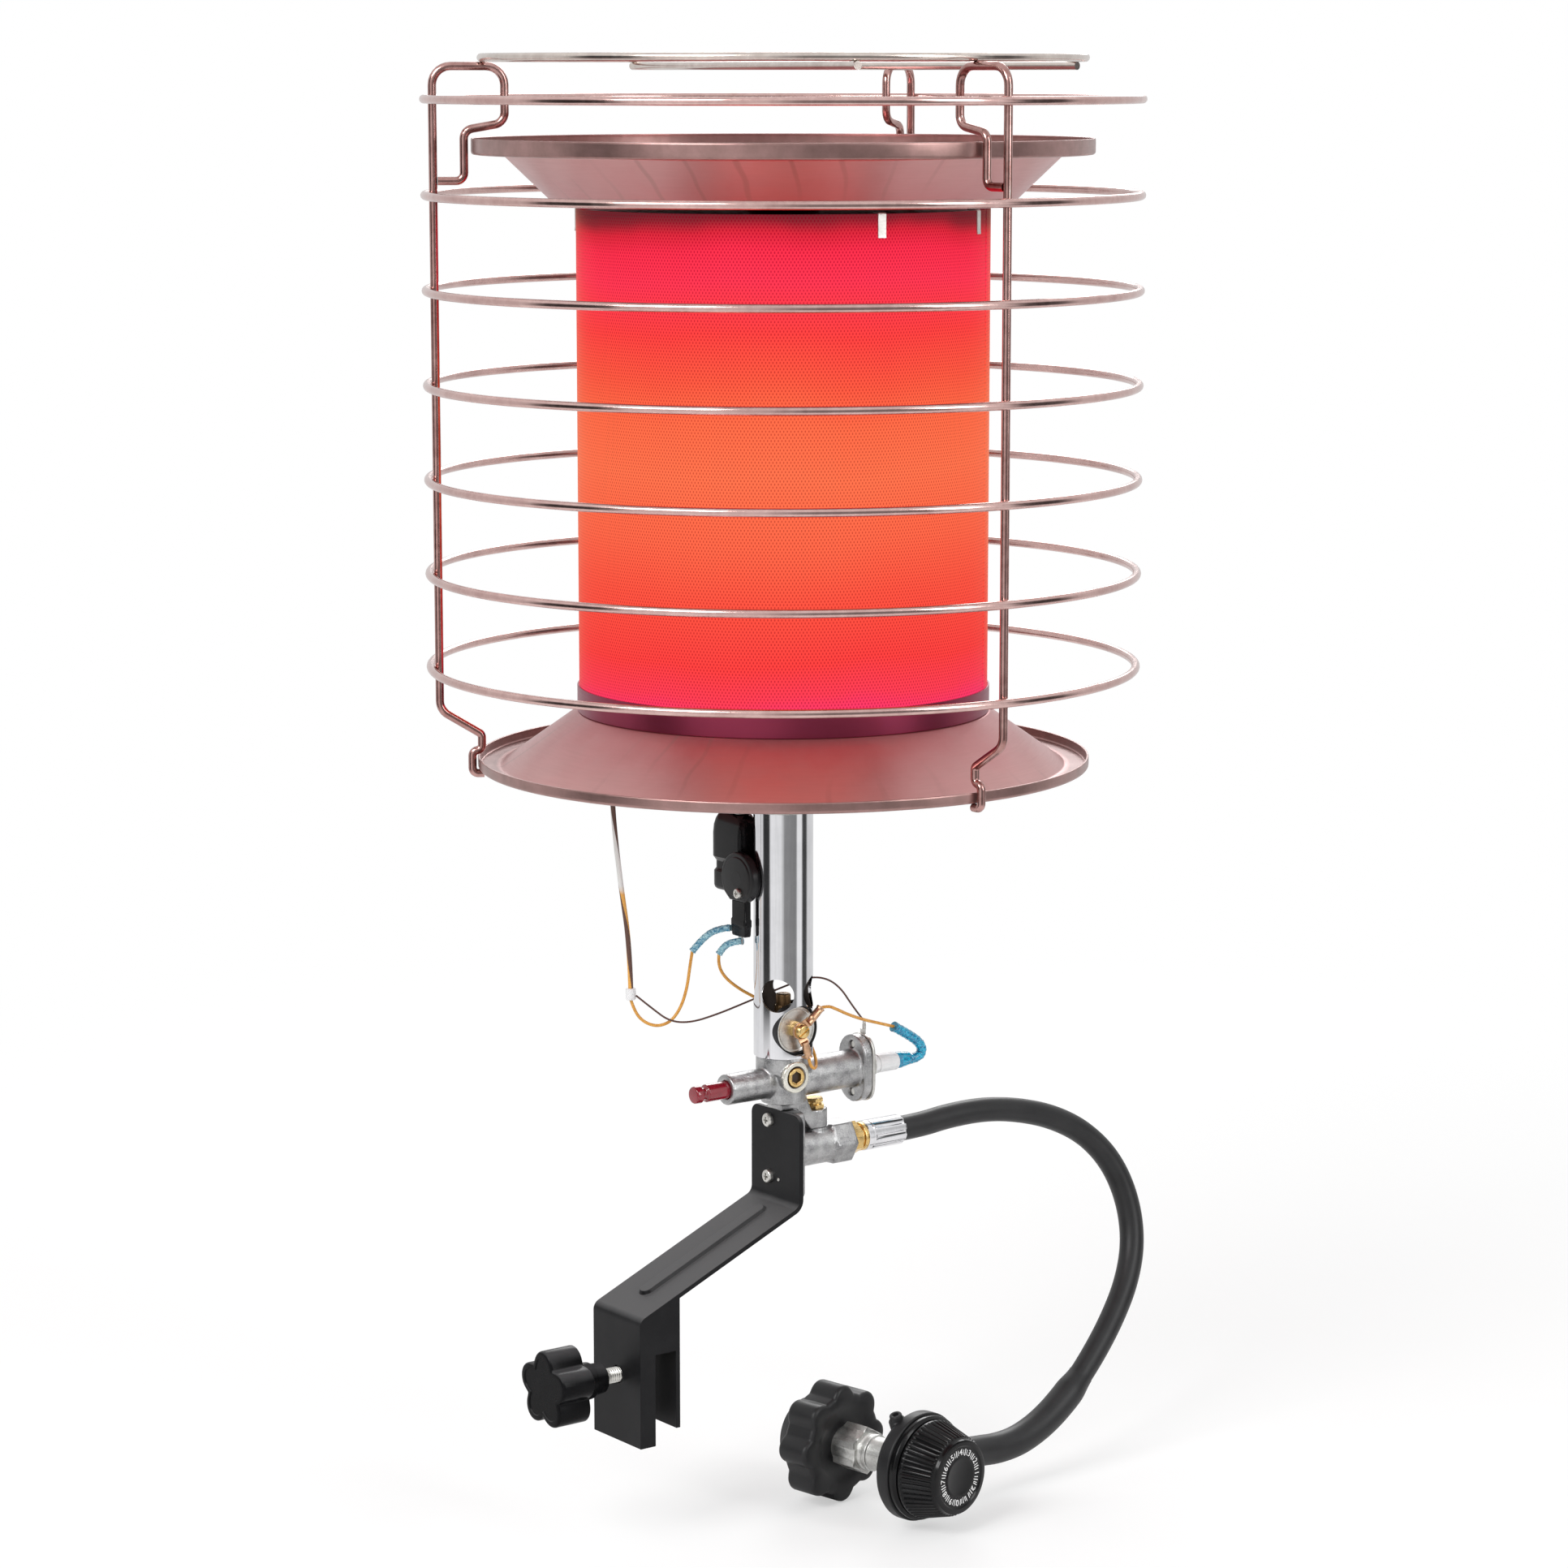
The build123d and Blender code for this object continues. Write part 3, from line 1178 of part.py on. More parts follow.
PROBE_LEAD_POINTS = from_post(
    [
        (PROBE_X, PROBE_Y, PROBE_LOW),
        (PROBE_X - 0.4, PROBE_Y - 1.2, 282.0),
        (-49.4, -69.2, 252.0),
        (-47.6, -66.4, 222.0),
        (-46.6, -62.4, 194.0),
        (TIE_X, TIE_Y, TIE_HIGH),
    ]
)
with BuildPart() as thermocouple_lead:
    with BuildLine() as probe_lead_line:
        FilletPolyline(*PROBE_LEAD_POINTS, radius=corner_radii(PROBE_LEAD_POINTS))
    with BuildSketch(Plane(origin=probe_lead_line.line @ 0, z_dir=probe_lead_line.line % 0)):
        Circle(PROBE_LEAD_D / 2)
    sweep()
thermocouple_lead.part.label = "thermocouple_lead"
export_step(thermocouple_lead.part, "parts/thermocouple_lead.step")
report_route("thermocouple_lead", PROBE_LEAD_POINTS, PROBE_LEAD_D, thermocouple_lead.part)

SWITCH_LEAD_POINTS = from_post(
    [
        (-32.6, -33.2, 188.3),
        (-33.3, -34.3, 180.5),
        (-33.6, -35.6, 170.7),
        (-34.5, -38.4, 160.6),
        (-36.9, -43.0, 152.6),
        (-40.2, -49.2, 149.9),
        (-43.6, -55.4, 152.2),
        (-45.7, -59.9, 157.9),
        (TIE_X, TIE_Y, TIE_LOW),
    ]
)
with BuildPart() as switch_lead:
    with BuildLine() as switch_lead_line:
        FilletPolyline(*SWITCH_LEAD_POINTS, radius=corner_radii(SWITCH_LEAD_POINTS))
    with BuildSketch(Plane(origin=switch_lead_line.line @ 0, z_dir=switch_lead_line.line % 0)):
        Circle(LEAD_D / 2)
    sweep()
switch_lead.part.label = "switch_lead"
export_step(switch_lead.part, "parts/switch_lead.step")
report_route("switch_lead", SWITCH_LEAD_POINTS, LEAD_D, switch_lead.part)

LOWER_WAY = lug_way(LOWER_LUG_ANGLE)
LOWER_LUG_END = (
    LUG_SEAT + 2 * LUG_T + 1.1,
    LOWER_LUG_REACH * LOWER_WAY[1],
    STUD_Z + LOWER_LUG_REACH * LOWER_WAY[2],
)
RETURN_LEAD_POINTS = from_post(
    [
        (-23.6, -23.0, 187.2),
        (-24.4, -23.2, 181.6),
        (-22.7, -20.1, 174.6),
        (-19.8, -13.2, 168.4),
        (-19.0, -4.0, 163.0),
        (-16.8, 5.0, 158.0),
        (-12.0, 12.8, 152.0),
        (-5.5, 16.8, 145.5),
        (1.7, 16.5, 139.2),
        (8.2, 14.6, 133.4),
        (12.3, 11.6, 130.2),
        (15.1, 7.9, 130.3),
        (16.2, 4.8, 132.9),
        LOWER_LUG_END,
    ]
)
with BuildPart() as return_lead:
    with BuildLine() as return_lead_line:
        FilletPolyline(*RETURN_LEAD_POINTS, radius=corner_radii(RETURN_LEAD_POINTS))
    with BuildSketch(Plane(origin=return_lead_line.line @ 0, z_dir=return_lead_line.line % 0)):
        Circle(LEAD_D / 2)
    sweep()
return_lead.part.label = "return_lead"
export_step(return_lead.part, "parts/return_lead.step")
report_route("return_lead", RETURN_LEAD_POINTS, LEAD_D, return_lead.part)

UPPER_WAY = lug_way(UPPER_LUG_ANGLE)
UPPER_LUG_END = (
    LUG_SEAT + LUG_T + 1.1,
    UPPER_LUG_REACH * UPPER_WAY[1],
    STUD_Z + UPPER_LUG_REACH * UPPER_WAY[2],
)
MAGNET_LEAD_POINTS = from_post(
    [
        UPPER_LUG_END,
        (15.4, 16.6, 161.9),
        (13.9, 23.6, 158.8),
        (11.5, 32.8, 154.4),
        (8.0, 45.5, 149.4),
        (4.8, 58.6, 145.2),
        (2.4, 69.6, 141.6),
    ]
)
with BuildPart() as magnet_lead:
    with BuildLine() as magnet_lead_line:
        FilletPolyline(*MAGNET_LEAD_POINTS, radius=corner_radii(MAGNET_LEAD_POINTS))
    with BuildSketch(Plane(origin=magnet_lead_line.line @ 0, z_dir=magnet_lead_line.line % 0)):
        Circle(LEAD_D / 2)
    sweep()
magnet_lead.part.label = "magnet_lead"
export_step(magnet_lead.part, "parts/magnet_lead.step")
report_route("magnet_lead", MAGNET_LEAD_POINTS, LEAD_D, magnet_lead.part)

GROUND_LEAD_POINTS = from_post(
    [
        (-44.0, -60.2, 166.8),
        (-39.2, -53.9, 160.3),
        (-34.4, -46.2, 153.2),
        (-29.4, -36.4, 152.2),
        (-26.0, -22.0, 155.4),
        (-22.5, -8.0, 159.8),
        (-18.8, 6.0, 164.4),
        (-11.5, 15.6, 169.4),
        (-2.5, 19.8, 173.4),
        (3.2, 26.0, 172.6),
        (4.2, 33.6, 166.8),
        (3.4, 40.6, 158.0),
        (1.6, 47.4, 150.8),
        (0.0, CRIMP_Y + 1.0, CRIMP_Z + 7.4),
    ]
)
with BuildPart() as ground_lead:
    with BuildLine() as ground_lead_line:
        FilletPolyline(*GROUND_LEAD_POINTS, radius=corner_radii(GROUND_LEAD_POINTS))
    with BuildSketch(Plane(origin=ground_lead_line.line @ 0, z_dir=ground_lead_line.line % 0)):
        Circle(THIN_LEAD_D / 2)
    sweep()
ground_lead.part.label = "ground_lead"
export_step(ground_lead.part, "parts/ground_lead.step")
report_route("ground_lead", GROUND_LEAD_POINTS, THIN_LEAD_D, ground_lead.part)

# soft insulating sleeves over the two switch terminals and the magnet's connector
SMALL_SLEEVE_R = 1.9
BOOT_R = 2.5
FRONT_SLEEVE_PATH = from_post(
    [(-20.6, -18.3, 200.5), (-23.9, -21.7, 200.2), (-28.8, -28.3, 196.3), (-32.6, -33.2, 188.3)]
)
BACK_SLEEVE_PATH = from_post(
    [(-13.2, -16.0, 194.6), (-17.5, -18.2, 193.9), (-21.7, -21.3, 191.4), (-23.6, -23.0, 187.2)]
)
BOOT_PATH = from_post(
    [
        (0.4, 80.0, 122.2),
        (0.8, 88.6, 122.4),
        (1.4, 89.6, 128.4),
        (2.0, 82.0, 134.8),
        (2.4, 69.6, 141.6),
    ]
)
with BuildPart() as terminal_sleeves:
    for sleeve_path in (FRONT_SLEEVE_PATH, BACK_SLEEVE_PATH):
        with BuildLine() as small_sleeve:
            FilletPolyline(*sleeve_path, radius=corner_radii(sleeve_path))
        with BuildSketch(Plane(origin=small_sleeve.line @ 0, z_dir=small_sleeve.line % 0)):
            Circle(SMALL_SLEEVE_R)
        sweep()
    turned(
        VALVE_SIDE,
        VALVE_AXIS,
        [
            (CONNECTOR_END, 0),
            (CONNECTOR_END, 4.2),
            (CONNECTOR_END + 9.0, 3.4),
            (CONNECTOR_END + 9.0, 0),
        ],
    )
    with BuildLine() as boot_line:
        FilletPolyline(*BOOT_PATH, radius=corner_radii(BOOT_PATH))
    with BuildSketch(Plane(origin=boot_line.line @ 0, z_dir=boot_line.line % 0)):
        Circle(BOOT_R)
    sweep()
terminal_sleeves.part.label = "terminal_sleeves"
export_step(terminal_sleeves.part, "parts/terminal_sleeves.step")
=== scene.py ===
"""Looks of a tank-top propane heater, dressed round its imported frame.

Sizes are millimetres from the part's origin, which is the middle of the clamp's slot, and become
metres where a mesh or curve is made. Each sub-assembly is a class that holds its sizes, builds its
pieces and dresses the frame nodes that stay in view. The post stands on X = 0, Y = POST_Y.
"""

import json
import logging
from collections.abc import Callable, Iterable, Sequence
from dataclasses import dataclass
from enum import Enum
from math import cos, exp, log, pi, radians, sin, sqrt, tan
from typing import ClassVar

import bmesh
import bpy
from bpy.types import ID, ColorRamp, Curve, Material, Mesh, Node, NodeSocket, Object
from mathutils import Matrix, Vector

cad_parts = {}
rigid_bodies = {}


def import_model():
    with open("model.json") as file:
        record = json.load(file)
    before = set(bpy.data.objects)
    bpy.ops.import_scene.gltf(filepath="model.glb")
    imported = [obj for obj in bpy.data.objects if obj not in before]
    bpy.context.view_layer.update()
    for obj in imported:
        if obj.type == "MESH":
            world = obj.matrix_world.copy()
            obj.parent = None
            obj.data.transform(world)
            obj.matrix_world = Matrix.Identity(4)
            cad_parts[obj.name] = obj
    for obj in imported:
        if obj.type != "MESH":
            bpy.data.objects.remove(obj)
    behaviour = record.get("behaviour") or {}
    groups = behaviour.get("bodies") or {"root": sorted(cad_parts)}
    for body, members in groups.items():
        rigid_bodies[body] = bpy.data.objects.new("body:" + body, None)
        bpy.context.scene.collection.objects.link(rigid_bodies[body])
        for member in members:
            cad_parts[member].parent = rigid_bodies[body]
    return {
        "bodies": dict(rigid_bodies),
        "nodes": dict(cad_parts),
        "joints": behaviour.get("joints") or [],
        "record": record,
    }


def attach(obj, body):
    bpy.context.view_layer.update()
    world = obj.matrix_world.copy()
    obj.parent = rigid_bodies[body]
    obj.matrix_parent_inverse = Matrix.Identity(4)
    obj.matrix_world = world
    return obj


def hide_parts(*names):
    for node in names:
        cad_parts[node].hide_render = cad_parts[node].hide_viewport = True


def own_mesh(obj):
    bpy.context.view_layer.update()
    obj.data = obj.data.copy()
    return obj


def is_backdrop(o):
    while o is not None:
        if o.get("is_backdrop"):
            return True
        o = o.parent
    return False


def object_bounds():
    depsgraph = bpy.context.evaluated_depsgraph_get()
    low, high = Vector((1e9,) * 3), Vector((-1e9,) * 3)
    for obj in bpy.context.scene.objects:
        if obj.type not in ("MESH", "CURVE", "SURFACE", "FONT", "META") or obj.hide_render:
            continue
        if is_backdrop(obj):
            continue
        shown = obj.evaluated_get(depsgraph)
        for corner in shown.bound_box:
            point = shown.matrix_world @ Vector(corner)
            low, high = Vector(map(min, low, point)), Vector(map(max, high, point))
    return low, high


LOG = logging.getLogger("heater")
MM = 0.001
POST_Y = 88.5
UP = (0.0, 0.0, 1.0)
PER_METRE = 1000.0
PROBE = (85.4, 235.0)  # the thermocouple from the post's axis: how far, and at which degree
EDGE_ANGLE = 32.0  # degrees up to which an edge is shaded smooth
BEVEL_EDGE_ANGLE = 50.0
CAST_EDGE_ANGLE = 70.0
ROUND_SIDES = 96  # faces round a turned form
RING_POINTS = 200
SQUARE = ((-1, -1), (1, -1), (1, 1), (-1, 1))
Point = tuple[float, float, float]
Colour = tuple[float, float, float]


# ---------------------------------------------------------------- node trees
class NodeSheet:
    """A node tree with one method that adds any node."""

    def __init__(self, tree: bpy.types.NodeTree) -> None:
        """Keeps the tree that the nodes go into."""
        self.tree = tree

    def node(self, kind: str, settings: dict | None = None, sockets: dict | None = None) -> Node:
        """Adds a node.

        Args:
            kind: The node's type.
            settings: What is set first, such as an operation; "stops" are a ramp's stops.
            sockets: Values or links, by an input's name or number.

        Returns:
            The new node.
        """
        made = self.tree.nodes.new(kind)
        for name, value in (settings or {}).items():
            if name == "stops":
                self._set_stops(made.color_ramp, value)
            else:
                setattr(made, name, value)
        for name, value in (sockets or {}).items():
            self.join(value, made.inputs[name])
        return made

    def join(self, value, socket: NodeSocket) -> None:
        """Links or sets one input."""
        source = value.socket if isinstance(value, Signal) else value
        if isinstance(source, NodeSocket):
            self.tree.links.new(source, socket)
        else:
            socket.default_value = source

    def split(self, vector: NodeSocket) -> tuple["Signal", "Signal", "Signal"]:
        """The three parts of a vector."""
        parts = self.node("ShaderNodeSeparateXYZ", {}, {0: vector}).outputs
        return tuple(Signal(self, part) for part in parts)

    def ramp(self, value: "Signal", stops: Sequence[tuple[float, Colour]]) -> NodeSocket:
        """A colour from a value."""
        return self.node("ShaderNodeValToRGB", {"stops": stops}, {0: value}).outputs[0]

    def mix(self, share, first, second, way: str = "MIX") -> NodeSocket:
        """Two colours mixed by a share."""
        def ready(colour: Colour | NodeSocket):
            """A plain colour with its alpha, or a socket as it is."""
            return (*colour, 1.0) if isinstance(colour, tuple) else colour

        sockets = {0: share, 6: ready(first), 7: ready(second)}
        return self.node("ShaderNodeMix", {"data_type": "RGBA", "blend_type": way}, sockets).outputs[2]

    @staticmethod
    def _set_stops(ramp: ColorRamp, stops: Sequence[tuple[float, Colour]]) -> None:
        """Gives a ramp its stops, each a place and a colour."""
        while len(ramp.elements) < len(stops):
            ramp.elements.new(1.0)
        for element, (place, colour) in zip(ramp.elements, stops):
            element.position = place
            element.color = (*colour, 1.0)


class Signal:
    """A value between shader nodes that adds its Math nodes when it is calculated with."""

    def __init__(self, sheet: NodeSheet, socket: NodeSocket) -> None:
        """Keeps the sheet and the output that the value comes from."""
        self.sheet = sheet
        self.socket = socket

    def _maths(self, operation: str, *values, clamp: bool = False) -> "Signal":
        """Adds a Math node.

        Args:
            operation: The node's operation.
            values: Its inputs, signals or numbers.
            clamp: Whether the result is kept between 0 and 1.

        Returns:
            The node's result.
        """
        settings = {"operation": operation, "use_clamp": clamp}
        made = self.sheet.node("ShaderNodeMath", settings, dict(enumerate(values)))
        return Signal(self.sheet, made.outputs[0])

    def __add__(self, other) -> "Signal":
        """The sum."""
        return self._maths("ADD", self, other)

    def __sub__(self, other) -> "Signal":
        """The difference."""
        return self._maths("SUBTRACT", self, other)

    def __rsub__(self, other) -> "Signal":
        """The difference from a number."""
        return self._maths("SUBTRACT", other, self)

    def __mul__(self, other) -> "Signal":
        """The product."""
        return self._maths("MULTIPLY", self, other)

    def __truediv__(self, other) -> "Signal":
        """The quotient."""
        return self._maths("DIVIDE", self, other)

    def __pow__(self, other) -> "Signal":
        """The power."""
        return self._maths("POWER", self, other)

    def kept(self) -> "Signal":
        """The value kept between 0 and 1."""
        return self._maths("ADD", self, 0.0, clamp=True)

    def wave(self) -> "Signal":
        """The cosine of the value."""
        return self._maths("COSINE", self)

    def angle_to(self, other) -> "Signal":
        """The angle whose tangent is this value over the other."""
        return self._maths("ARCTAN2", self, other)

    def over(self, edge: float, width: float) -> "Signal":
        """0 below an edge and 1 above it, with a soft step of the given width."""
        return self._maths("MULTIPLY_ADD", self, 1.0 / width, 0.5 - edge / width, clamp=True)


class Paint(NodeSheet):
    """The nodes of one material."""

    def __init__(self, name: str) -> None:
        """Starts an empty material."""
        self.material = bpy.data.materials.new(name)
        self.material.use_nodes = True
        super().__init__(self.material.node_tree)
        self.tree.nodes.clear()
        self.place = self.node("ShaderNodeTexCoord").outputs["Object"]

    def placed(self, stretch: Sequence[float] = (1, 1, 1), turn: Sequence[float] = (0, 0, 0)):
        """Object coordinates turned and then stretched, as a vector output."""
        turned = self.node("ShaderNodeMapping", {}, {"Vector": self.place, "Rotation": turn})
        sockets = {"Vector": turned.outputs[0], "Scale": tuple(stretch)}
        return self.node("ShaderNodeMapping", {}, sockets).outputs[0]

    def axes(self, middle: Point = (0, 0, 0)) -> tuple[Signal, Signal, Signal]:
        """X, Y and Z in millimetres from a middle."""
        return tuple(part * PER_METRE - at for part, at in zip(self.split(self.place), middle))

    def noise(self, scale: float, detail: float = 3, rough: float = 0.5, where=None) -> Signal:
        """Noise from 0 to 1.

        Args:
            scale: Its scale per metre.
            detail: Its octaves.
            rough: How strong the finer octaves are.
            where: A vector output, if not the plain object coordinates.

        Returns:
            The noise's value.
        """
        sockets = {
            "Vector": where or self.place, "Scale": scale, "Detail": detail, "Roughness": rough,
        }
        return Signal(self, self.node("ShaderNodeTexNoise", {}, sockets).outputs[0])

    def bump(self, height: Signal, strength: float, depth: float, under=None):
        """A normal from a height, with the depth in millimetres."""
        sockets = {"Height": height, "Strength": strength, "Distance": depth * MM}
        if under is not None:
            sockets["Normal"] = under
        return self.node("ShaderNodeBump", {}, sockets).outputs[0]

    def shader(self, **sockets):
        """Ends the material in a Principled shader, whose inputs are given with _ for spaces.

        Returns:
            The finished material.
        """
        named = {name.replace("_", " "): value for name, value in sockets.items()}
        made = self.node("ShaderNodeBsdfPrincipled", {}, named)
        self.node("ShaderNodeOutputMaterial", {}, {0: made.outputs[0]})
        return self.material


class Plan(NodeSheet):
    """A Geometry Nodes tree with named sizes that is worked out once into a plain mesh."""

    def __init__(self, name: str, **sizes) -> None:
        """Starts the tree with a geometry input and one named input for each size."""
        super().__init__(bpy.data.node_groups.new(name, "GeometryNodeTree"))
        face = self.tree.interface
        face.new_socket("Geometry", in_out="INPUT", socket_type="NodeSocketGeometry")
        face.new_socket("Geometry", in_out="OUTPUT", socket_type="NodeSocketGeometry")
        self.values = {}
        for size, value in sizes.items():
            if isinstance(value, Object):
                kind = "NodeSocketObject"
            elif isinstance(value, int):
                kind = "NodeSocketInt"
            else:
                kind = "NodeSocketFloat"
            made = face.new_socket(size, in_out="INPUT", socket_type=kind)
            self.values[made.identifier] = value
        self.entry = self.node("NodeGroupInput").outputs

    def stored(self, kind: str, name: str) -> NodeSocket:
        """A named attribute."""
        made = self.node("GeometryNodeInputNamedAttribute", {"data_type": kind}, {"Name": name})
        return made.outputs[0]

    def repeated(self, points: NodeSocket, unit: NodeSocket, **more: NodeSocket) -> NodeSocket:
        """A unit at each point, with its Rotation or Scale if given."""
        sockets = {"Points": points, "Instance": unit, **more}
        return self.node("GeometryNodeInstanceOnPoints", {}, sockets).outputs[0]

    def circle(self, resolution: int, radius) -> NodeSocket:
        """A round curve."""
        sockets = {"Resolution": resolution, "Radius": radius}
        return self.node("GeometryNodeCurvePrimitiveCircle", {}, sockets).outputs[0]

    def result(self, name: str, geometry: NodeSocket, material: Material,
               base: Mesh | None = None) -> Mesh:
        """Ends the tree and works it out.

        Args:
            name: The new mesh's name.
            geometry: The geometry output that the tree ends with.
            material: The material that the whole mesh takes.
            base: The mesh that goes in, if the tree starts from one.

        Returns:
            A plain mesh.
        """
        real = self.node("GeometryNodeRealizeInstances", {}, {0: geometry}).outputs[0]
        smooth = self.node("GeometryNodeSetShadeSmooth", {}, {0: real}).outputs[0]
        dressed = self.node(
            "GeometryNodeSetMaterial", {}, {0: smooth, "Material": material}
        ).outputs[0]
        self.node("NodeGroupOutput", {}, {0: dressed})
        carrier = linked(name, base or bpy.data.meshes.new(name))
        modifier = carrier.modifiers.new("plan", "NODES")
        modifier.node_group = self.tree
        for identifier, value in self.values.items():
            modifier[identifier] = value
        mesh = worked_out(carrier)
        bpy.data.objects.remove(carrier)
        mesh.name = name
        return mesh


def linked(name: str, data: ID) -> Object:
    """An object of some data, in the scene."""
    made = bpy.data.objects.new(name, data)
    bpy.context.scene.collection.objects.link(made)
    return made


def worked_out(piece: Object) -> Mesh:
    """A piece's mesh with its modifiers worked in."""
    graph = bpy.context.evaluated_depsgraph_get()
    graph.update()
    return bpy.data.meshes.new_from_object(piece.evaluated_get(graph))


# ---------------------------------------------------------------- mesh forms
@dataclass(frozen=True)
class Place:
    """Where a form stands: its foot, the way that it points and its zero direction."""

    foot: Point
    way: Point = UP
    zero: Point = (1.0, 0.0, 0.0)

    def at(self, along: float, out: float = 0.0, turn: float = 0.0) -> Vector:
        """A point along the axis, out from it, turned from the zero direction."""
        way, zero = Vector(self.way), Vector(self.zero)
        side = way.cross(zero)
        return Vector(self.foot) + way * along + (zero * cos(turn) + side * sin(turn)) * out

    def on(self, along: float) -> "Place":
        """The same place further along its axis."""
        return Place(tuple(self.at(along)), self.way, self.zero)


def post_level(height: float) -> Place:
    """A level place on the post's axis."""
    return Place((0.0, POST_Y, height))


def facing_back(y: float, height: float, x: float = 0.0) -> Place:
    """A place that points to +Y, away from the button, at a distance from the post's axis."""
    return Place((x, POST_Y + y, height), (0, 1, 0), (-1, 0, 0))


def facing_front(y: float, height: float, x: float = 0.0) -> Place:
    """A place that points to -Y at a distance from the post's axis."""
    return Place((x, POST_Y + y, height), (0, -1, 0), (1, 0, 0))


def probe_spot() -> tuple[float, float]:
    """X and Y of the thermocouple from the post's axis."""
    reach, angle = PROBE[0], radians(PROBE[1])
    return reach * cos(angle), reach * sin(angle)


def screw_line(y: float, height: float) -> Place:
    """A place on X = 0 that points to +Y, with y from the part's origin."""
    return Place((0, y, height), (0, 1, 0), (1, 0, 0))


def facing_side(x: float, y: float, height: float) -> Place:
    """A place that points to +X beside the post."""
    return Place((x, POST_Y + y, height), (1, 0, 0), (0, 1, 0))


def softened(outline: Sequence[tuple], closed: bool, steps: int = 4) -> list[tuple]:
    """Rounds the corners of an outline that give a radius as their third number.

    Args:
        outline: Corners (along, radius) or (along, radius, softness).
        closed: Whether the last corner joins the first.
        steps: Pieces of each arc.

    Returns:
        Corners without softness.
    """
    flat: list[tuple] = []
    count = len(outline)
    for number, corner in enumerate(outline):
        soft = corner[2] if len(corner) > 2 else 0.0
        inner = closed or 0 < number < count - 1
        if not soft or not inner:
            flat.append(tuple(corner[:2]))
            continue
        here = Vector(corner[:2])
        before = Vector(outline[number - 1][:2]) - here
        after = Vector(outline[(number + 1) % count][:2]) - here
        room = 0.48 * min(before.length, after.length)
        half = before.angle(after) / 2
        reach = min(soft / tan(half), room)
        start, end = here + before.normalized() * reach, here + after.normalized() * reach
        for step in range(steps + 1):
            share = step / steps
            low = start.lerp(here, share)
            flat.append(tuple(low.lerp(here.lerp(end, share), share)))
    return flat


def inset_by(shape: Callable[[float], float], inset: float) -> Callable[[float], float]:
    """A radius by angle, less an inset."""
    return lambda turn: shape(turn) - inset


def turns_of(sides: int) -> list[float]:
    """Even angles round a circle."""
    return [2 * pi * k / sides for k in range(sides)]


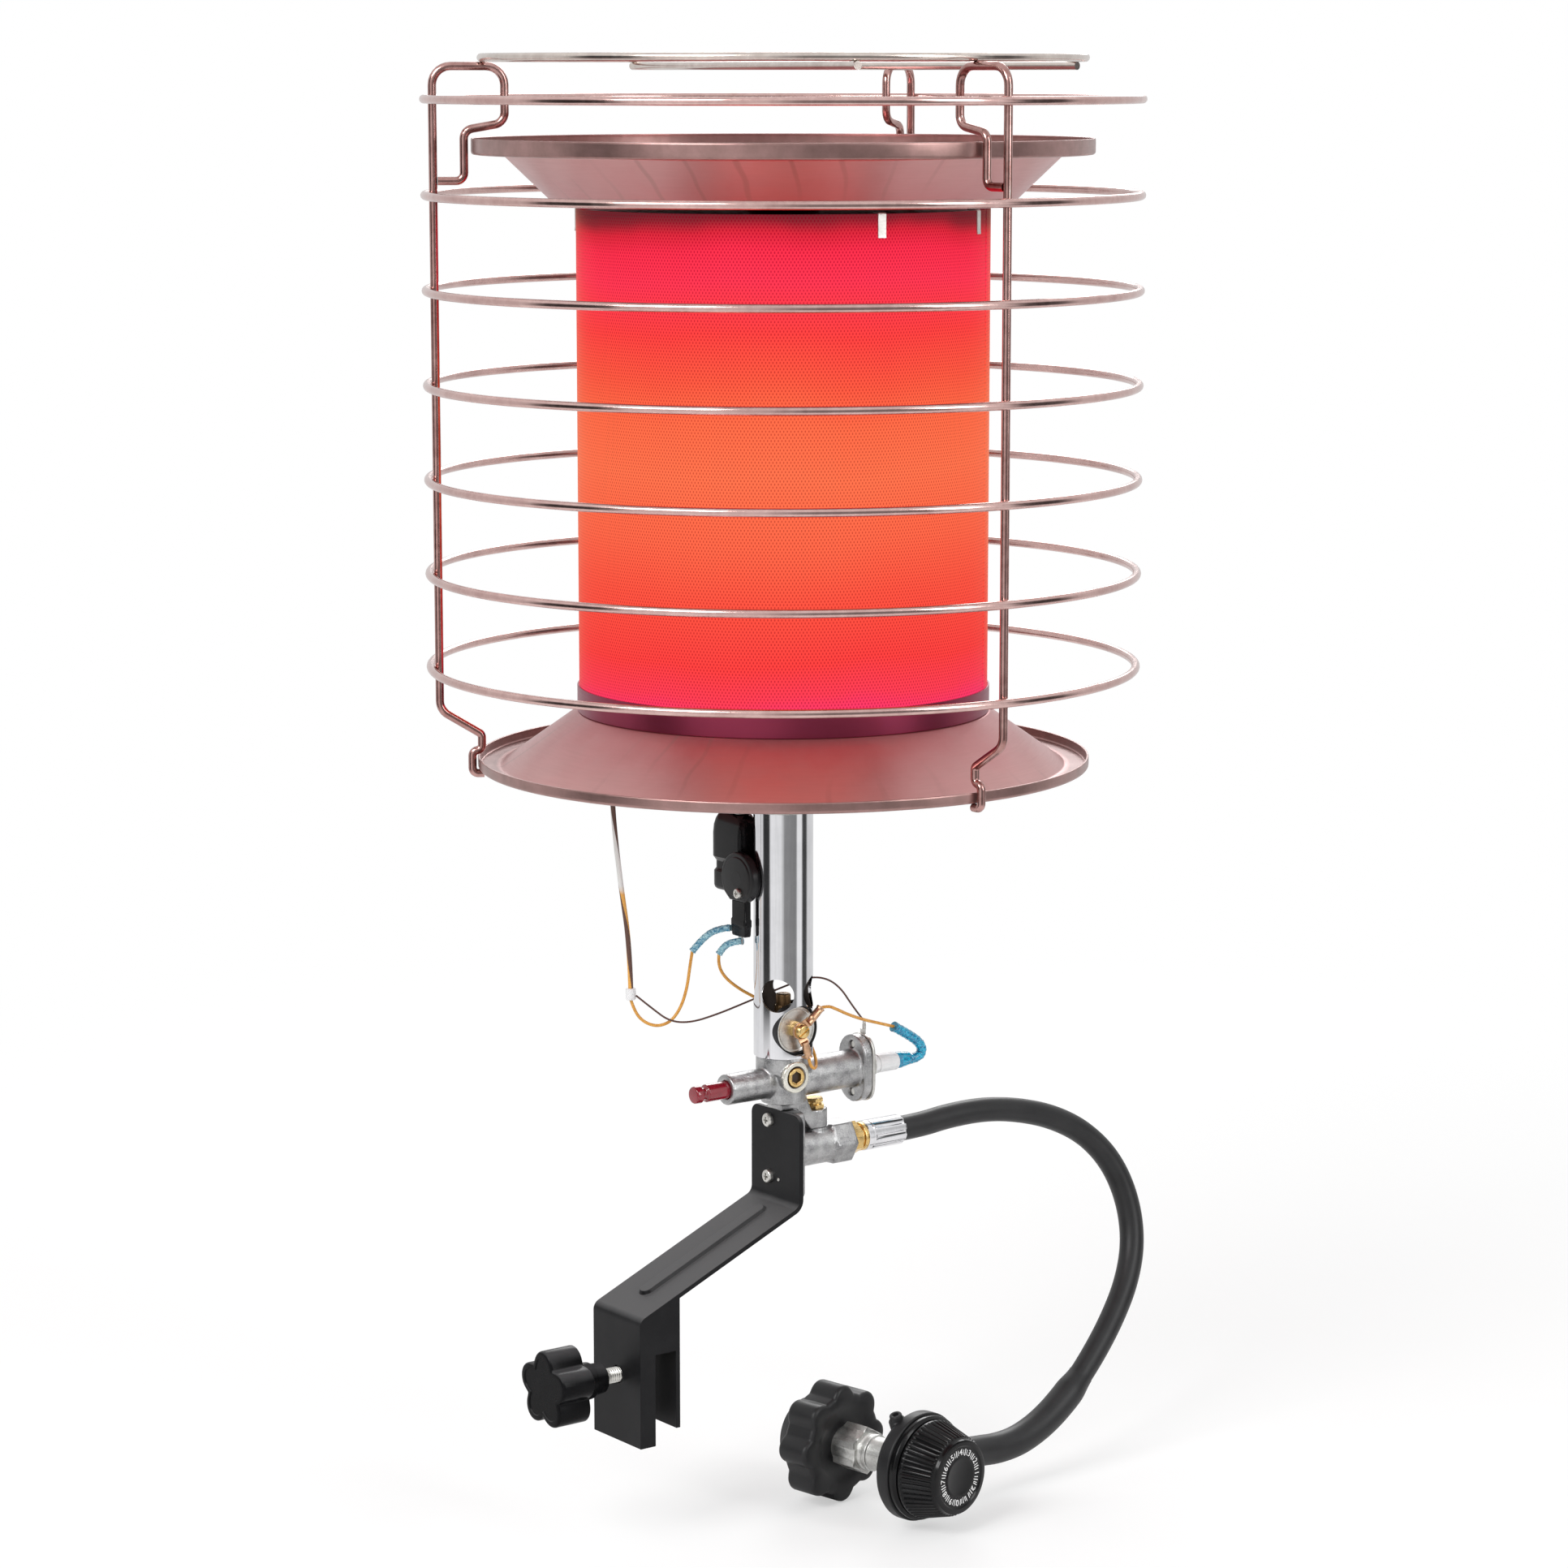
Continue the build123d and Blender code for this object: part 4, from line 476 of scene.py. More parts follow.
class Form:
    """Points and faces of one piece, in millimetres."""

    def __init__(self) -> None:
        """Starts empty."""
        self.points: list[Vector] = []
        self.faces: list[tuple] = []

    def ring(self, points: Iterable[Vector]) -> range:
        """Adds a ring of points and returns their numbers."""
        start = len(self.points)
        self.points += list(points)
        return range(start, len(self.points))

    def rings(self, place: Place, stations: Iterable[tuple], sides: int) -> list[range]:
        """Adds a ring at each (along, radius) of a place, with the radius a number or by angle."""
        turns = turns_of(sides)
        return [self.ring(place.at(along, out(t) if callable(out) else out, t) for t in turns)
                for along, out in stations]

    def skin(self, rings: Sequence[range], looped: bool = False) -> "Form":
        """Joins neighbouring closed rings with faces, and the last to the first if looped."""
        pairs = list(zip(rings, rings[1:])) + ([(rings[-1], rings[0])] if looped else [])
        for first, second in pairs:
            count = len(first)
            for k in range(count):
                n = (k + 1) % count
                self.faces.append((first[k], first[n], second[n], second[k]))
        return self

    def capped(self, rings: Sequence[range]) -> "Form":
        """Joins rings and closes both ends."""
        self.skin(rings)
        self.faces += [tuple(rings[0])[::-1], tuple(rings[-1])]
        return self

    def turned(self, place: Place, outline: Sequence[tuple], closed: bool = True,
               sides: int = ROUND_SIDES) -> "Form":
        """Turns an outline of (along, radius, softness) about a place's axis.

        Args:
            place: The axis.
            outline: The corners.
            closed: Whether the outline is a loop, as on a ring; otherwise its ends are on the axis.
            sides: Faces round.

        Returns:
            The form itself.
        """
        return self.skin(self.rings(place, softened(outline, closed), sides), closed)

    def stacked(self, place: Place, shape: Callable[[float], float],
                layers: Sequence[tuple[float, float]], sides: int = 120) -> "Form":
        """Stacks one outline, given as radius by angle, at layers of (along, inset)."""
        stations = [(along, inset_by(shape, inset)) for along, inset in layers]
        return self.capped(self.rings(place, stations, sides))

    def hexed(self, place: Place, flats: float, length: float, hole: float = 0.0,
              lead: float = 0.07) -> "Form":
        """Adds a hexagon nut or head with turned corners.

        Args:
            place: Its foot.
            flats: The size across flats.
            length: Its length.
            hole: The radius of the hole through it, or 0.
            lead: How much of the size the corners' chamfer takes.

        Returns:
            The form itself.
        """
        tip = flats / sqrt(3)
        layers = [(0.0, flats / 2 * 0.985), (flats * lead * 0.35, tip),
                  (length - flats * lead * 0.35, tip), (length, flats / 2 * 0.985)]

        def within(limit: float) -> Callable[[float], float]:
            """The hexagon's radius by angle, cut at a limit."""
            return lambda turn: min(flats / 2 / cos((turn + pi / 6) % (pi / 3) - pi / 6), limit)

        rings = self.rings(place, [(along, within(limit)) for along, limit in layers], ROUND_SIDES)
        if not hole:
            return self.capped(rings)
        inner = self.rings(place, [(length, hole), (0.0, hole)], ROUND_SIDES)
        return self.skin(rings + inner, looped=True)

    def bar(self, path: Sequence[Vector], radius: float | Callable[[int, float], float],
            sides: int = 16) -> "Form":
        """Runs a round bar along a path.

        Args:
            path: Points along its middle.
            radius: Its radius, or the radius from a point's number and the angle round.
            sides: Faces round.

        Returns:
            The form itself.
        """
        rings = []
        side = None
        for number, point in enumerate(path):
            way = path[min(number + 1, len(path) - 1)] - path[max(number - 1, 0)]
            way = way.normalized()
            if side is None:
                side = way.orthogonal().normalized()
            side = (side - way * side.dot(way)).normalized()
            across = way.cross(side)
            ring = []
            for turn in turns_of(sides):
                reach = radius(number, turn) if callable(radius) else radius
                ring.append(point + (side * cos(turn) + across * sin(turn)) * reach)
            rings.append(self.ring(ring))
        return self.capped(rings)

    def box(self, low: Sequence[float], high: Sequence[float]) -> "Form":
        """Adds a block between two corners given from the post's axis."""
        x, y, z = zip(low, high)
        start = len(self.points)
        self.points += [Vector((a, POST_Y + b, c)) for c in z for b in y for a in x]
        for face in ((0, 2, 3, 1), (4, 5, 7, 6), (0, 1, 5, 4), (2, 6, 7, 3), (0, 4, 6, 2), (1, 3, 7, 5)):
            self.faces.append(tuple(start + k for k in face))
        return self

    def mesh(self, name: str) -> Mesh:
        """The form as a mesh in metres, with its doubles merged and its faces outwards."""
        made = bpy.data.meshes.new(name)
        made.from_pydata([p * MM for p in self.points], [], self.faces)
        work = bmesh.new()
        work.from_mesh(made)
        bmesh.ops.remove_doubles(work, verts=work.verts, dist=1e-6)
        bmesh.ops.dissolve_degenerate(work, edges=work.edges, dist=1e-7)
        bmesh.ops.delete(work, geom=[v for v in work.verts if not v.link_faces], context="VERTS")
        bmesh.ops.recalc_face_normals(work, faces=work.faces)
        work.to_mesh(made)
        work.free()
        return made


def piece(name: str, mesh: Mesh, material: Material, edge_angle: float = EDGE_ANGLE) -> Object:
    """Makes an object of a mesh, smooth up to an edge angle.

    Args:
        name: The piece's name.
        mesh: Its mesh, already in place.
        material: Its material.
        edge_angle: Edges that turn more than this stay sharp, in degrees.

    Returns:
        The object.
    """
    mesh.materials.clear()
    mesh.materials.append(material)
    mesh.shade_smooth()
    mesh.set_sharp_from_angle(angle=radians(edge_angle))
    return linked(name, mesh)


def bevelled(made: Object, width: float, segments: int = 2, angle: float = 35.0) -> Object:
    """Rounds a piece's edges by a width in millimetres and works the modifier in."""
    bevel = made.modifiers.new("edges", "BEVEL")
    bevel.width = width * MM
    bevel.segments = segments
    bevel.limit_method = "ANGLE"
    bevel.angle_limit = radians(angle)
    bevel.use_clamp_overlap = True
    made.data = worked_out(made)
    made.modifiers.clear()
    made.data.shade_smooth()
    made.data.set_sharp_from_angle(angle=radians(BEVEL_EDGE_ANGLE))
    level = made.modifiers.new("level", "WEIGHTED_NORMAL")
    level.keep_sharp = True
    level.weight = 100
    made.data = worked_out(made)
    made.modifiers.clear()
    return made


def cut(made: Object, tool: Form) -> Object:
    """Cuts a form out of a piece."""
    knife = linked("knife", tool.mesh("knife"))
    boolean = made.modifiers.new("cut", "BOOLEAN")
    boolean.operation = "DIFFERENCE"
    boolean.solver = "EXACT"
    boolean.object = knife
    made.data = worked_out(made)
    made.modifiers.clear()
    bpy.data.objects.remove(knife)
    made.data.shade_smooth()
    made.data.set_sharp_from_angle(angle=radians(EDGE_ANGLE))
    return made


# ---------------------------------------------------------------- finishes
def tone(red: float, green: float, blue: float) -> Colour:
    """A colour from the 0 to 255 numbers of a paint chart."""
    def straight(level: float) -> float:
        """One number in linear light."""
        share = level / 255
        return share / 12.92 if share <= 0.04045 else ((share + 0.055) / 1.055) ** 2.4

    return straight(red), straight(green), straight(blue)


class Surface(Enum):
    """How a finish's surface is made, which sets its fine relief."""

    PLATED = "plated"
    DRAWN = "drawn"
    CAST = "cast"
    MOULDED = "moulded"
    COATED = "coated"
    TURNED = "turned"


RELIEF = {
    # surface: (noise scale per metre, stretch, bump strength, depth in mm)
    Surface.PLATED: (260, (1, 1, 1), 0.10, 0.05),
    Surface.DRAWN: (900, (1, 1, 0.05), 0.16, 0.03),
    Surface.CAST: (1500, (1, 1, 1), 0.75, 0.22),
    Surface.MOULDED: (1800, (1, 1, 1), 0.18, 0.05),
    Surface.COATED: (2400, (1, 1, 1), 0.22, 0.06),
    Surface.TURNED: (1200, (1, 0.2, 1), 0.22, 0.04),
}


@dataclass(frozen=True)
class Finish:
    """One finish: its two tones, its shine, its relief and, if given, a painted sheen on faces that
    point up.
    """

    slot: str
    dark: Colour
    light: Colour
    metal: float = 0.0
    shine: tuple[float, float] = (0.3, 0.5)
    surface: Surface = Surface.MOULDED
    coat: float = 0.0
    patch: float = 60.0
    wear: float = 0.0
    specular: float = 0.5
    painted_top_sheen: Colour | None = None

    def material(self, name: str) -> Material:
        """Makes the material: mottled tone, uneven shine and fine relief.

        Args:
            name: The material's name.

        Returns:
            The material.
        """
        paint = Paint(name)
        scale, stretch, strength, depth = RELIEF[self.surface]
        where = paint.placed(stretch)
        blotch = paint.noise(self.patch, 4, 0.6)
        grain = paint.noise(scale, 2, 0.6, where)
        share = (blotch * 0.65 + grain * 0.35).over(0.5, 0.35)
        colour = paint.mix(share.socket, self.dark, self.light)
        if self.wear:
            rub = paint.noise(self.patch * 4, 6, 0.7).over(0.68, 0.12) * self.wear
            colour = paint.mix(rub.socket, colour, self.light, "SCREEN")
        # Painted sheen: faces that point up are lightened towards the given grey, in place of an
        # overhead light's shine.
        if self.painted_top_sheen:
            way = paint.node("ShaderNodeNewGeometry").outputs["Normal"]
            up = paint.split(way)[2]
            top_sheen_share = (up * (blotch * 0.3 + 0.85)).over(0.62, 0.5)
            colour = paint.mix(top_sheen_share.socket, colour, self.painted_top_sheen)
        low, high = self.shine
        return paint.shader(
            Base_Color=colour,
            Metallic=self.metal,
            Roughness=(grain * 0.5 + blotch * 0.5) * (high - low) * 1.6 + (low - (high - low) * 0.3),
            Specular_IOR_Level=self.specular,
            Coat_Weight=self.coat,
            Coat_Roughness=0.08,
            Normal=paint.bump(grain, strength, depth),
        )


FINISHES = {
    "chrome wire": Finish("chrome_wire", (0.50, 0.32, 0.30), (0.67, 0.47, 0.44), 1.0, (0.12, 0.22),
                          Surface.PLATED),
    # A darker copy of the chrome wire for the uprights: painted shade that darkens the upright wires all
    # over.
    "upright wire": Finish("chrome_wire", (0.30, 0.145, 0.13), (0.56, 0.35, 0.325), 1.0,
                           (0.12, 0.22), Surface.PLATED),
    "grate wire": Finish("chrome_wire", (0.54, 0.47, 0.43), (0.70, 0.63, 0.58), 1.0, (0.14, 0.26),
                         Surface.PLATED),
    "zinc": Finish("zinc_plate", (0.50, 0.49, 0.46), (0.72, 0.71, 0.68), 1.0, (0.28, 0.42),
                   Surface.TURNED, patch=180),
    "chrome tube": Finish("chrome_tube", (0.66, 0.66, 0.68), (0.78, 0.78, 0.80), 1.0, (0.06, 0.14),
                          Surface.DRAWN),
    "brass": Finish("brass", (0.58, 0.37, 0.13), (0.84, 0.62, 0.28), 1.0, (0.18, 0.32),
                    Surface.TURNED, patch=240),
    "copper": Finish("copper", (0.46, 0.27, 0.16), (0.72, 0.46, 0.29), 1.0, (0.25, 0.42),
                     Surface.TURNED, patch=240),
    "rubber": Finish("black_rubber", (0.011, 0.011, 0.012), (0.021, 0.021, 0.022), 0.0, (0.34, 0.50),
                     specular=0.32),
    "black plastic": Finish("black_plastic", (0.006, 0.006, 0.007), (0.013, 0.013, 0.014), 0.0,
                            (0.26, 0.40), specular=0.30),
    "black gloss": Finish("black_gloss", (0.003, 0.003, 0.003), (0.008, 0.008, 0.009), 0.0,
                          (0.14, 0.26), coat=0.12, specular=0.16),
    "aged brass": Finish("brass", (0.07, 0.035, 0.016), (0.24, 0.15, 0.07), 0.9, (0.35, 0.55)),
    # The grey given last is a painted sheen on faces that point up.
    "star plastic": Finish("black_gloss", (0.003, 0.003, 0.003), (0.008, 0.008, 0.009), 0.0,
                           (0.16, 0.28), specular=0.05,
                           painted_top_sheen=(0.055, 0.055, 0.057)),
    "cast aluminium": Finish("cast_aluminium", (0.21, 0.21, 0.215), (0.54, 0.54, 0.54), 1.0,
                             (0.26, 0.42), Surface.CAST, patch=140),
    "red plastic": Finish("red_plastic", (0.15, 0.001, 0.008), (0.30, 0.004, 0.020), 0.0,
                          (0.10, 0.2), coat=0.6),
    "spring steel": Finish("spring_steel", (0.40, 0.40, 0.42), (0.60, 0.60, 0.62), 1.0, (0.2, 0.34),
                           Surface.DRAWN),
    "white plastic": Finish("white_plastic", (0.66, 0.67, 0.68), (0.82, 0.82, 0.82), 0.0, (0.3, 0.45)),
    # The grey given last is a painted sheen on faces that point up.
    "black paint": Finish("black_paint", (0.006, 0.006, 0.007), (0.013, 0.013, 0.014), 0.0,
                          (0.28, 0.42), Surface.COATED, wear=0.01, specular=0.12,
                          painted_top_sheen=(0.085, 0.085, 0.087)),
    "black satin": Finish("black_plastic", (0.008, 0.008, 0.009), (0.017, 0.017, 0.018), 0.0,
                          (0.34, 0.48), specular=0.30),
    "cast zinc": Finish("zinc_plate", (0.42, 0.42, 0.40), (0.78, 0.78, 0.76), 1.0, (0.30, 0.46),
                        Surface.CAST, patch=160),
    "faced": Finish("cast_aluminium", (0.70, 0.68, 0.60), (0.86, 0.84, 0.76), 1.0, (0.20, 0.34),
                    Surface.TURNED, patch=200),
    "shadow": Finish("brass", (0.02, 0.012, 0.008), (0.05, 0.03, 0.02), 0.0, (0.5, 0.7)),
    "white print": Finish("black_gloss", (0.70, 0.70, 0.70), (0.85, 0.85, 0.85), 0.0, (0.4, 0.5)),
    "orange": Finish("orange_insulation", (0.50, 0.20, 0.02), (0.76, 0.40, 0.08), 0.0, (0.35, 0.5),
                     patch=300),
    "brown": Finish("brown_insulation", (0.05, 0.022, 0.018), (0.12, 0.05, 0.035), 0.0, (0.35, 0.5),
                    patch=300),
}


@dataclass(frozen=True)
class HotSteelAndPaintedGlow:
    """Steel sheet with rings of colour round the burner, partly heat tint and partly painted glow."""

    slot: str
    near: Colour
    far: Colour
    near_r: float
    far_r: float
    rubbed: Colour = (0.36, 0.20, 0.19)
    shine: tuple[float, float] = (0.20, 0.32)
    metal: float = 0.85
    rim_r: float = 900.0
    rim: Colour = (0.27, 0.165, 0.15)
    inner_rim_band: Colour = (0.10, 0.045, 0.04)
    streaks: float = 0.0

    def material(self, name: str) -> Material:
        """Makes the material, with its tint by radius and a brushing round the axis."""
        paint = Paint(name)
        x, y, z = paint.axes((0, POST_Y, 0))
        reach = (x * x + y * y) ** 0.5
        turn = y.angle_to(x)
        ring = paint.node(
            "ShaderNodeCombineXYZ", {},
            {0: reach * 0.9, 1: turn * 6.0, 2: z * 0.9},
        ).outputs[0]
        brushed = paint.noise(1.0, 4, 0.65, ring)
        blotch = paint.noise(30, 5, 0.6)
        dents = paint.noise(26, 2, 0.4)
        width = self.far_r - self.near_r
        # The colour by radius is partly heat tint and partly painted glow: the red near the axis stands
        # in for the screen's light on the sheet.
        share = (reach + (blotch - 0.5) * 26.0).over((self.near_r + self.far_r) / 2, width)
        base = paint.mix(share.socket, self.near, self.far)
        rub = (brushed * 0.30) + (blotch.over(0.58, 0.2) * 0.16)
        colour = paint.mix(rub.socket, base, self.rubbed)
        if self.streaks:
            # Painted reflection: thin streaks round the axis, in the rim's colour, stand in for the
            # reflected wires.
            wander = paint.noise(9, 3, 0.5)
            lines = (turn * 34.0 + wander * 9.0 + reach * 0.03).wave().over(0.95, 0.08)
            patches = paint.noise(14, 2, 0.5, paint.placed((1, 1, 0.3))).over(0.52, 0.2)
            colour = paint.mix((lines * patches * self.streaks).socket, colour, self.rim)
            mottle = paint.noise(90, 4, 0.65)
            edge = reach.over(self.rim_r, 0.8) * (mottle * 0.9 + 0.35).kept()
            colour = paint.mix(edge.socket, colour, self.rim)
            # Darker in a band just inside the rim.
            gutter = reach.over(self.rim_r - 9.0, 3.0) * (1.0 - reach.over(self.rim_r - 0.3, 0.4))
            colour = paint.mix((gutter * (mottle * 0.5 + 0.5)).socket, colour, self.inner_rim_band)
        low, high = self.shine
        return paint.shader(
            Base_Color=colour, Metallic=self.metal,
            Roughness=brushed * (high - low) + blotch * 0.06 + low,
            Normal=paint.bump(brushed, 0.08, 0.04, paint.bump(dents, 0.35, 1.4)),
        )


@dataclass(frozen=True)
class GlowingScreen:
    """Perforated emitter sheet in use: its glow goes from pink to orange and back."""

    slot: str
    low: float
    high: float
    pitch: float = 1.7
    columns: int = 376

    def material(self, name: str) -> Material:
        """Makes the material with its staggered holes."""
        paint = Paint(name)
        x, y, z = paint.axes((0, POST_Y, 0))
        turn = y.angle_to(x)
        height = (z - self.low) / (self.high - self.low)
        uneven = paint.noise(11, 3, 0.5, paint.placed((1, 1, 0.6)))
        share = (height + (uneven - 0.5) * 0.09).kept()
        glow = paint.ramp(share, [
            (0.0, tone(160, 12, 70)), (0.03, tone(250, 40, 112)), (0.075, tone(252, 50, 82)),
            (0.14, tone(250, 54, 58)), (0.27, tone(250, 78, 60)), (0.37, tone(252, 100, 68)),
            (0.50, tone(254, 113, 73)), (0.60, tone(254, 106, 68)), (0.68, tone(250, 84, 60)),
            (0.77, tone(252, 56, 60)), (0.87, tone(254, 40, 80)), (0.93, tone(246, 26, 72)),
            (0.962, tone(214, 12, 54)), (0.984, tone(120, 6, 40)), (1.0, tone(72, 6, 36)),
        ])
        rows = pi / (self.pitch * 0.866)
        holes = (turn * self.columns).wave() * (z * rows).wave()
        open_share = holes.over(0.42, 0.5)
        land = paint.mix((open_share * 0.52).socket, glow, tone(150, 10, 24))
        lit = paint.mix(((1.0 - open_share) * 0.05).socket, land, tone(255, 150, 110))
        return paint.shader(
            Base_Color=paint.mix(open_share.socket, (0.05, 0.006, 0.005), (0.012, 0.001, 0.001)),
            Metallic=0.0,
            Roughness=open_share * 0.2 + 0.5,
            Specular_IOR_Level=0.0,
            Sheen_Weight=0.6,
            Sheen_Roughness=0.25,
            Sheen_Tint=(1.0, 0.68, 0.48, 1.0),
            Emission_Color=lit,
            Emission_Strength=1.0,
            Normal=paint.bump(1.0 - open_share, 0.3, 0.15),
        )


@dataclass(frozen=True)
class TwistedPair:
    """Two insulated strands that wind round each other and change colour at a height."""

    slot: str
    upper: Colour
    lower: Colour
    other: Colour
    change: float
    winding: float = 76.0
    phase: float = 0.40

    def material(self, name: str) -> Material:
        """Makes the material: bands that climb round the cord."""
        paint = Paint(name)
        _, _, z = paint.axes()
        way = paint.node("ShaderNodeNewGeometry").outputs["Normal"]
        nx, ny, _ = paint.split(way)
        wind = ny.angle_to(nx) + z * (2 * pi / self.winding) + self.phase
        strand = wind.wave().over(-0.1, 0.3)
        soil = paint.noise(300, 3, 0.5)
        above = paint.mix(((z + soil * 8.0 - 4.0).over(self.change, 6.0)).socket, self.lower, self.upper)
        colour = paint.mix(strand.socket, self.other, above)
        return paint.shader(
            Base_Color=colour, Roughness=soil * 0.2 + 0.35,
            Normal=paint.bump(strand, 0.4, 0.3),
        )


@dataclass(frozen=True)
class ClearSleeve:
    """Thin clear blue sleeving with wrinkles."""

    slot: str
    deep: Colour
    pale: Colour
    clear: float = 0.28

    def material(self, name: str) -> Material:
        """Makes the material."""
        paint = Paint(name)
        crease = paint.noise(420, 4, 0.7, paint.placed((1, 1, 1.6)))
        fine = paint.noise(1500, 3, 0.6)
        share = (crease * 0.8 + fine * 0.2).over(0.52, 0.22)
        return paint.shader(
            Base_Color=paint.mix(share.socket, self.deep, self.pale),
            Roughness=fine * 0.2 + 0.06,
            Transmission_Weight=self.clear,
            IOR=1.45,
            Coat_Weight=0.8,
            Alpha=(1.0 - share * self.clear),
            Normal=paint.bump(crease, 0.6, 0.5),
        )


# The reflector's red near the axis is partly painted glow of the screen, and its streaks are painted
# reflections.
REFLECTOR = HotSteelAndPaintedGlow("reflector_steel", (0.42, 0.12, 0.13), (0.62, 0.36, 0.35), 100.0, 146.0,
                     shine=(0.22, 0.35), metal=0.80, rim_r=151.6, streaks=0.4)
BASE_STEEL = HotSteelAndPaintedGlow("heat_tinted_steel", (0.16, 0.012, 0.03), (0.26, 0.03, 0.06), 60.0, 104.0,
                      (0.20, 0.03, 0.10), (0.26, 0.40))
SCREEN = GlowingScreen("emitter_mesh", 315.0, 562.5)
SLEEVING = ClearSleeve("blue_sleeving", tone(18, 118, 156), tone(186, 240, 248))
BOOT = ClearSleeve("blue_sleeving", tone(0, 104, 150), tone(6, 188, 222), 0.08)
PAIR = TwistedPair("brown_insulation", (0.74, 0.74, 0.72), (0.72, 0.36, 0.07),
                   (0.10, 0.045, 0.03), 221.0)


class Dresser:
    """Keeps the frame and the materials, and puts each piece on its body."""

    def __init__(self, frame: dict) -> None:
        """Starts with the loaded frame."""
        self.frame = frame
        self.made: dict[str, tuple[Material, str]] = {}
        kinds = dict(FINISHES) | {
            "reflector": REFLECTOR, "base steel": BASE_STEEL, "screen": SCREEN,
            "sleeving": SLEEVING, "boot": BOOT, "twisted pair": PAIR,
        }
        for name, finish in kinds.items():
            self.made[name] = (finish.material(name.replace(" ", "_")), finish.slot)

    def stuff(self, finish: str) -> Material:
        """The material of a finish."""
        return self.made[finish][0]

    def add(self, made: Object, finish: str, body: str = "heater",
            instead_of: Sequence[str] = ()) -> Object:
        """Puts a piece on a body, hides the nodes that it stands for and logs it."""
        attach(made, body)
        if instead_of:
            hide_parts(*instead_of)
        LOG.info("piece %s: %s on %s", made.name, finish, body)
        return made

    def put(self, name: str, form: Form, finish: str, node: str = "", body: str = "heater",
            edge_angle: float = EDGE_ANGLE, slot_of: str = "") -> Object:
        """Makes a piece of a form and puts it on a body.

        Args:
            name: The piece's name.
            form: Its shape.
            finish: What it is made of.
            node: The frame node that it stands for, if any.
            body: The body that it rides on.
            edge_angle: Edges that turn more than this stay sharp, in degrees.
            slot_of: The finish that the log names, if not its own.

        Returns:
            The piece.
        """
        made = piece(name, form.mesh(node or name), self.stuff(finish), edge_angle)
        return self.add(made, slot_of or finish, body, [node] if node else [])

    def cast(self, name: str, node: str, grid: float, rounds: int) -> None:
        """Puts a cast surface in place of a frame node, with a grid and rounds as in cast_skin."""
        mesh = cast_skin(self.frame["nodes"][node], name, grid, rounds)
        made = piece(name, mesh, self.stuff("cast aluminium"), CAST_EDGE_ANGLE)
        self.add(made, "cast aluminium", instead_of=[node])

    def dress(self, finish: str, *nodes: str) -> None:
        """Gives frame nodes that stay in view a finish."""
        for node in nodes:
            piece_of_frame = self.frame["nodes"][node]
            if not piece_of_frame.material_slots:
                piece_of_frame.data.materials.append(self.stuff(finish))
            for socket in piece_of_frame.material_slots:
                socket.material = self.stuff(finish)
            LOG.info("node %s: %s", node, finish)


# ---------------------------------------------------------------- cords
def metres(points: Sequence[Point]) -> list[Point]:
    """Route points from the post's axis in millimetres, as metres from the part's origin."""
    return [(x * MM, (y + POST_Y) * MM, z * MM) for x, y, z in points]


def smooth_line(line: Curve, route: Sequence[Point]) -> list[Vector]:
    """Gives a curve one NURBS spline through a route and reads millimetre points along it.

    Args:
        line: The curve, still without a section.
        route: Control points from the post's axis, in millimetres.

    Returns:
        Points along the spline's own line.
    """
    line.dimensions = "3D"
    spline = line.splines.new("NURBS")
    points = metres(route)
    spline.points.add(len(points) - 1)
    for slot, point in zip(spline.points, points):
        slot.co = (*point, 1.0)
    spline.order_u = 3
    spline.use_endpoint_u = True
    line.resolution_u = 12
    carrier = linked("line_carrier", line)
    mesh = worked_out(carrier)
    bpy.data.objects.remove(carrier)
    found = [v.co / MM for v in mesh.vertices]
    bpy.data.meshes.remove(mesh)
    return found


@dataclass
class Cord:
    """A free cord on one smooth curve through its route."""

    name: str
    finish: str
    route: Sequence[Point]
    width: float
    length: float
    far_end: str = "object"
    stiffness: str = "medium"

    def build(self, dresser: Dresser) -> Object:
        """Makes the curve with its round section and dresses it.

        Args:
            dresser: Who puts pieces on bodies.

        Returns:
            The curve's object.
        """
        line = bpy.data.curves.new(self.name + "_curve", "CURVE")
        self.path = smooth_line(line, self.route)
        line.bevel_depth = self.width / 2 * MM
        line.bevel_resolution = 6
        line.use_fill_caps = True
        line.materials.append(dresser.stuff(self.finish))
        made = linked(self.name + "_cord", line)
        return dresser.add(made, self.finish, instead_of=[self.name])

    def declare(self, made: Object, with_pieces: Sequence = ()) -> None:
        """Reads the cord's first point and its width, and keeps nothing."""
        start = metres(self.route)[0]
        self.width * MM


def spaced(path: Sequence[Vector], step: float, start: float = 0.0) -> list[Vector]:
    """Points at even steps along a path, from a distance along it to its end."""
    found, left = [], start
    for first, second in zip(path, path[1:]):
        length = (second - first).length
        while left <= length:
            found.append(first.lerp(second, left / length) if length else first)
            left += step
        left -= length
    return found + [path[-1]]


def path_length(path: Sequence[Vector]) -> float:
    """The length of a path."""
    return sum((b - a).length for a, b in zip(path, path[1:]))


